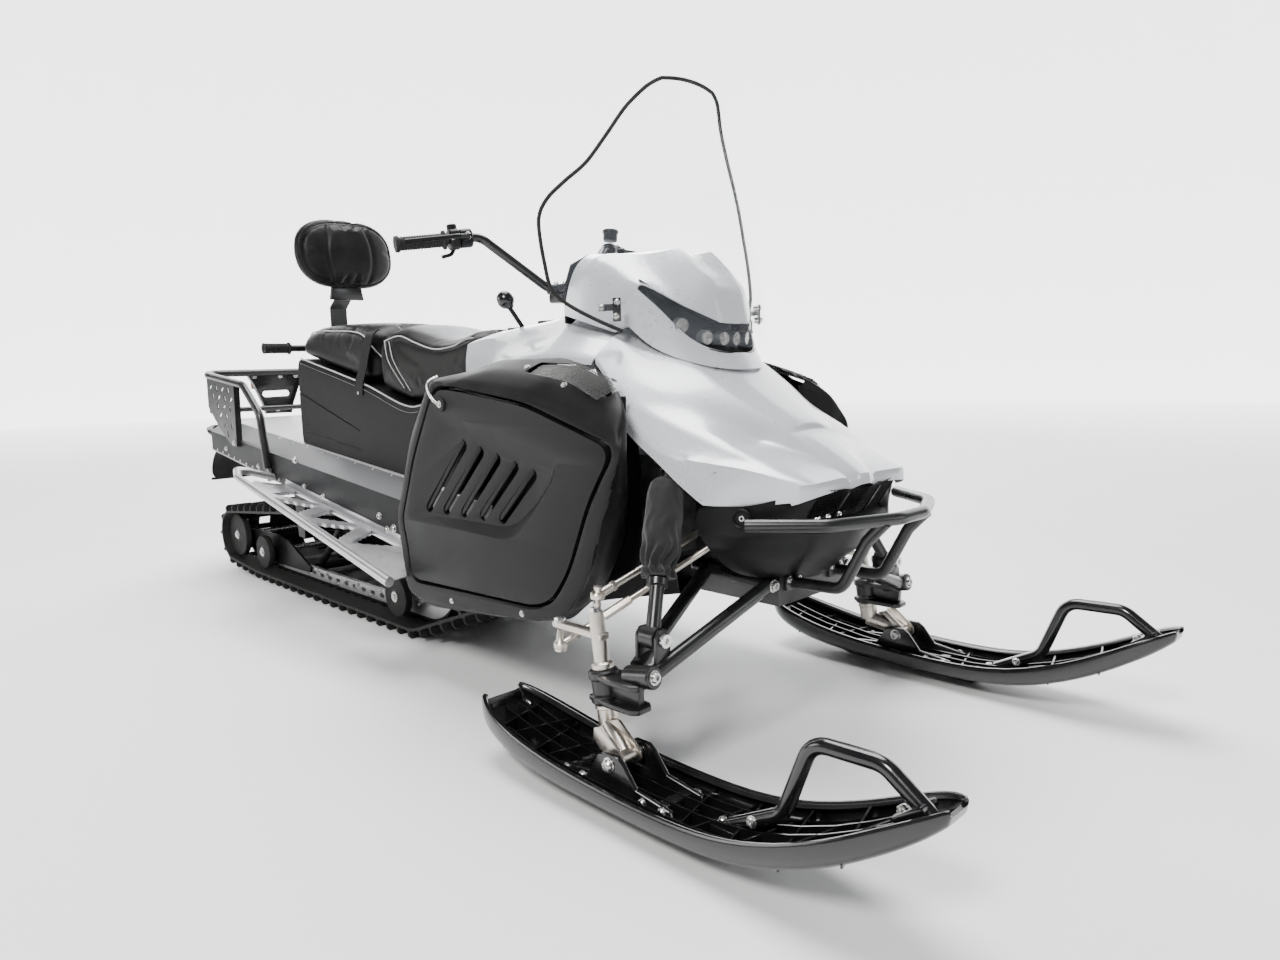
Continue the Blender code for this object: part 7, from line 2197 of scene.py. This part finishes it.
def makeRails():
    base = 0.0335
    low = [(-2.225, base)]
    for a in range(0, 61, 4):
        angle = math.radians(a)
        low.append((-1.16 + 0.158 * math.sin(angle), 0.193 - 0.158 * math.cos(angle)))
    tip = low[-1]
    top = [(tip[0] - 0.035, tip[1] + 0.02), (-1.13, 0.105), (-1.20, 0.083), (-1.241, 0.082), (-1.245, 0.1205),
           (-1.281, 0.1210), (-1.285, 0.0815), (-2.165, 0.0805), (-2.225, 0.070)]
    holes = [capsule(-2.10 + 0.060 * k, 0.062, 0.030, 0.013, 0.0) for k in range(13)]
    rails, shoes, spots = [], [], []
    for side in (-1, 1):
        y = side * 0.165
        rails.append(plate(low + top, y - 0.007, y + 0.007, "y", holes, bevel=0.001, segments=1))
        shoe = low + [(x, z + 0.009) for x, z in low[::-1]]
        shoes.append(plate(shoe, y - 0.0085, y + 0.0085, "y", bevel=0.001, segments=1))
        spots += [((x, y + s * 0.007, 0.0745 if k % 3 else 0.050), (0, s, 0))
                  for k, x in enumerate(np.linspace(-2.19, -1.22, 14)) for s in (-1, 1)]
    for x, z in ((-2.17, 0.060), (-1.62, 0.060), (-1.12, 0.075)):
        rails.append(pipe([(x, -0.167, z), (x, 0.167, z)], 0.009, resolution=4))
    finished("slideRails", joined(rails), "railMetal", replaces=["slide_rails"])
    finished("slideShoes", joined(shoes), "moulding")
    finished("railBolts", scattered(boltHead(0.0062, 0.0045), spots), "boltMetal")


makeTrack()
makeWheels()
makeRails()
print("track, wheels and rails made")
# The handlebar: bent tube, clamp, ribbed grips with flanges, switch blocks and levers

barSizes = {"tube": 0.011, "grip": 0.0165, "flange": 0.0225, "ribs": 15}
# outline of the switch block seen from its end, about the bar's axis: across, up
blockOutline = ((-0.026, -0.012), (-0.020, -0.024), (0.012, -0.026), (0.024, -0.014), (0.026, 0.010),
                (0.016, 0.024), (-0.014, 0.024), (-0.026, 0.012))


def makeBar():
    right = [(-0.842, -0.395, 1.061), (-0.775, -0.205, 1.086), (-0.692, -0.060, 0.960)]
    bar = pipe(right + mirroredPoints(right)[::-1], barSizes["tube"], 0.05, resolution=6, steps=10)
    tilt = math.radians(32)
    down = Vector((math.sin(tilt), 0, -math.cos(tilt)))
    pivot = Vector((-0.685, 0, 0.945))
    post = pipe([pivot - down * 0.018, pivot + down * 0.420], 0.016, resolution=6)
    clamp = [box((-0.715, -0.045, 0.927), (-0.655, 0.045, 0.950), 0.005),
             box((-0.712, -0.042, 0.952), (-0.658, -0.014, 0.974), 0.005),
             box((-0.712, 0.014, 0.952), (-0.658, 0.042, 0.974), 0.005)]
    cover = pipe([right[2], (-0.690, 0.0, 0.958), mirroredPoints(right)[2]], 0.0135, resolution=5)
    finished("barTube", joined([bar, post, *clamp, cover]), "tubeCoat", "steering",
             replaces=["handlebar"])
    spots = [((x, y, 0.974), (0, 0, 1)) for x in (-0.703, -0.667) for y in (-0.028, 0.028)]
    finished("clampBolts", scattered(boltHead(0.0065, 0.006), spots), "boltMetal", "steering")


def makeGrip(label, side):
    start, inner = onSide([(-0.842, 0.395, 1.061), (-0.7935, 0.2575, 1.0790)], side)
    heading = (inner - start).normalized()
    grip, flange = barSizes["grip"], barSizes["flange"]
    profile = [(0.004, -0.0030), (0.0185, -0.0030), (0.0195, 0.000), (0.0195, 0.005), (0.0160, 0.008)]
    for k in range(barSizes["ribs"]):
        at = 0.012 + k * 0.0063
        profile += [(0.0152, at), (grip, at + 0.0014), (grip, at + 0.0040), (0.0152, at + 0.0052)]
    profile += [(0.0160, 0.108), (flange, 0.112), (flange, 0.117), (0.0150, 0.120)]
    finished("grip_" + label, turned(profile, start, heading, 32), "rubber", "steering",
             replaces=["grip_" + label])

    across = heading.cross(Vector((0, 0, 1))).normalized()
    if across.x < 0:
        across = -across
    up = across.cross(heading).normalized()
    up = up if up.z > 0 else -up
    pieces = []
    for low, high, size in ((0.126, 0.150, 1.0), (0.151, 0.182, 0.90)):
        ends = []
        for share, at in ((0.86, low), (1.0, low + 0.003), (1.0, high - 0.003), (0.86, high)):
            ends.append([start + heading * at + (across * u + up * v) * share * size
                         for u, v in ringLine(blockOutline, 0.008, 4)])
        pieces.append(outward(ringSheet(ends, 1, True, True)))
    thumb = start + heading * 0.140 - up * 0.020 - across * 0.014
    pieces.append(pipe([thumb, thumb - up * 0.014 - heading * 0.010, thumb - up * 0.018 - heading * 0.034],
                       0.0048, 0.008, resolution=3))
    if side < 0:
        pieces.append(turned([(0.012, 0.0), (0.012, 0.010), (0.010, 0.013), (0.002, 0.014)],
                             start + heading * 0.138 + up * 0.022, up, 24))
    else:
        tank = start + heading * 0.166 + up * 0.030
        pieces.append(turned([(0.019, 0.0), (0.020, 0.003), (0.020, 0.022), (0.0225, 0.023), (0.0225, 0.029),
                              (0.020, 0.031), (0.002, 0.032)], tank, up, 28))
    hold = start + heading * 0.158 + across * 0.022
    perch = pipe([hold, hold + across * 0.016 + heading * 0.004], 0.009, resolution=4)
    root = hold + across * 0.018 + heading * 0.006
    blade = pipe([root, root + across * 0.022 - heading * 0.030, start + heading * 0.060 + across * 0.052,
                  start + heading * 0.012 + across * 0.046], 0.0052, 0.022, resolution=4)
    finished("leverSet_" + label, joined([*pieces, perch, blade]), "mouldingSatin", "steering",
             replaces=["control_" + label])
    spots = [(root + up * 0.006, up), (start + heading * 0.132 + across * 0.024, across),
             (start + heading * 0.170 + across * 0.022, across)]
    finished("leverBolts_" + label, scattered(boltHead(0.0048, 0.0035), spots), "boltMetal", "steering")


makeBar()
for label, side in sides:
    makeGrip(label, side)
print("handlebar made")
# The seat base: a moulded box with a rolled upper edge, a long groove on each side, piping and a strap

baseSizes = {"half": 0.195, "groove": 0.004, "strap": 0.052}


def makeSeatBase():
    half = baseSizes["half"]
    top = [(-1.862, 0.812), (-1.442, 0.729), (-1.171, 0.663), (-1.010, 0.712), (-0.905, 0.735)]
    rows = []
    for x, z in [(-1.885, 0.790), (-1.878, 0.812)] + top:
        low = deckZ(x) + 0.0018
        wide = half - 0.012 * max(0.0, (x + 1.30) / 0.4)
        rows.append([(x, 0, z), (x, wide - 0.016, z), (x, wide - 0.004, z - 0.003), (x, wide, z - 0.014),
                     (x, wide + 0.001, (z + low) / 2), (x, wide, low + 0.012), (x, wide - 0.003, low), (x, 0, low)])
    body = closedEnds(gridCage(rows, ((2, 0.3), (3, 0.3), (6, 0.7)), True, ((0, 0.8), (4, 0.5))))
    body = baked(modified(subdivided(body, 2), "BEVEL", width=0.003, segments=2, limit_method="ANGLE",
                          angle_limit=math.radians(50)))
    cutters = []
    for side in (-1, 1):
        line = [(-1.886, side * 0.1965, 0.700), (-1.56, side * 0.1965, 0.610), (-1.47, side * 0.1965, 0.585)]
        cutters.append(pipe(line, baseSizes["groove"], resolution=3))
        line = [(-1.886, side * 0.1965, 0.570), (-1.50, side * 0.1965, 0.532), (-1.36, side * 0.1965, 0.500)]
        cutters.append(pipe(line, baseSizes["groove"] * 0.6, resolution=2))
    body = cut(body, cutters)
    finished("seatBase", body, "seatSide", replaces=["seat_base"], sharp=40)
    piping, stitches = [], []
    for side in (-1, 1):
        edge = [(x, side * (0.1915 - 0.012 * max(0.0, (x + 1.30) / 0.4)), z - 0.0005) for x, z in top]
        piping.append(pipe(smoothLine(edge, 60), 0.0024, resolution=3))
        stitches.append([(x, side * 0.1958, z - 0.016) for x, y, z in smoothLine(edge, 60) if x < -1.12])
    finished("basePiping", joined(piping), "pipingGrey")
    stitched = grown(curveThrough(stitches), stitchTree())
    finished("baseStitches", stitched, "threadGrey")
    straps = []
    for side in (-1, 1):
        path = [(-1.398, 0.1640, 0.886), (-1.404, 0.1795, 0.868), (-1.418, 0.1880, 0.820), (-1.436, 0.1910, 0.770),
                (-1.452, 0.1968, 0.728), (-1.462, 0.1972, 0.690)]
        line = smoothLine(onSide(path, side), 24)
        points, faces = [], []
        for p in line:
            points += [p + Vector((-baseSizes["strap"] / 2, 0, 0)), p + Vector((baseSizes["strap"] / 2, 0, 0.003))]
        faces = [(2 * k, 2 * k + 1, 2 * k + 3, 2 * k + 2) for k in range(len(line) - 1)]
        band = meshPiece(points, faces)
        straps.append(outward(baked(modified(band, "SOLIDIFY", thickness=0.0028, offset=0.0))))
    finished("seatStraps", joined(straps), "seatSide")
    spots = [((x, side * (0.1968 if x < -1.2 else 0.187), z), (0, side, 0), (1, 0, 0), 0.9) for side in (-1, 1)
             for x, z in ((-1.462, 0.700), (-1.08, 0.50))]
    bracket = plate([(-0.062, 1.012), (0.062, 1.012), (0.050, 1.075), (-0.050, 1.075)], -1.893, -1.880, "x",
                    bevel=0.002)
    finished("padBracket", bracket, "tubeCoat")
    finished("baseStuds", scattered(boltHead(0.0055, 0.003), spots), "boltMetal")


# The snow flap with its ribs and its hem

def makeTail():
    line = [(-2.490, 0.490), (-2.540, 0.478), (-2.585, 0.455), (-2.625, 0.415), (-2.652, 0.345)]
    rows = [[(x, y, z) for y in np.linspace(-0.245, 0.245, 9)] for x, z in line]
    flap = gridCage(rows, mirror=False)
    shell(flap, 2, 0.006, 0.0)
    ribs = [pipe(smoothLine([(x - 0.003, y, z) for x, z in line], 20), 0.0034, resolution=2)
            for y in (-0.20, -0.12, -0.04, 0.04, 0.12, 0.20)]
    hem = pipe([(-2.652, -0.243, 0.347), (-2.652, 0.243, 0.347)], 0.0055, resolution=3)
    finished("snowFlap", joined([flap, *ribs, hem]), "rubber", replaces=["snow_flap"])


# The passenger's handle: a bar behind the seat with a ribbed grip at each end

def makeHandle():
    x, z = -1.9723, 0.848
    bar = pipe([(x, -0.200, z), (x, 0.200, z)], 0.0115, resolution=5)
    finished("handleBar", bar, "tubeCoat", replaces=["passenger_handle"])
    profile = [(0.0118, 0.0), (0.0205, 0.001), (0.0205, 0.005), (0.0160, 0.007)]
    for k in range(10):
        at = 0.009 + k * 0.0075
        profile += [(0.0152, at), (0.0172, at + 0.0018), (0.0172, at + 0.0050), (0.0152, at + 0.0066)]
    profile += [(0.0165, 0.085), (0.0185, 0.0865), (0.0185, 0.0895), (0.0120, 0.0905), (0.0060, 0.0880),
                (0.0040, 0.0840)]
    grips = [turned(profile, (x, side * 0.1797, z), (0, side, 0), 28) for side in (-1, 1)]
    finished("handleGrips", joined(grips), "rubber")


makeSeatBase()
makeTail()
makeHandle()
print("seat base and tail made")
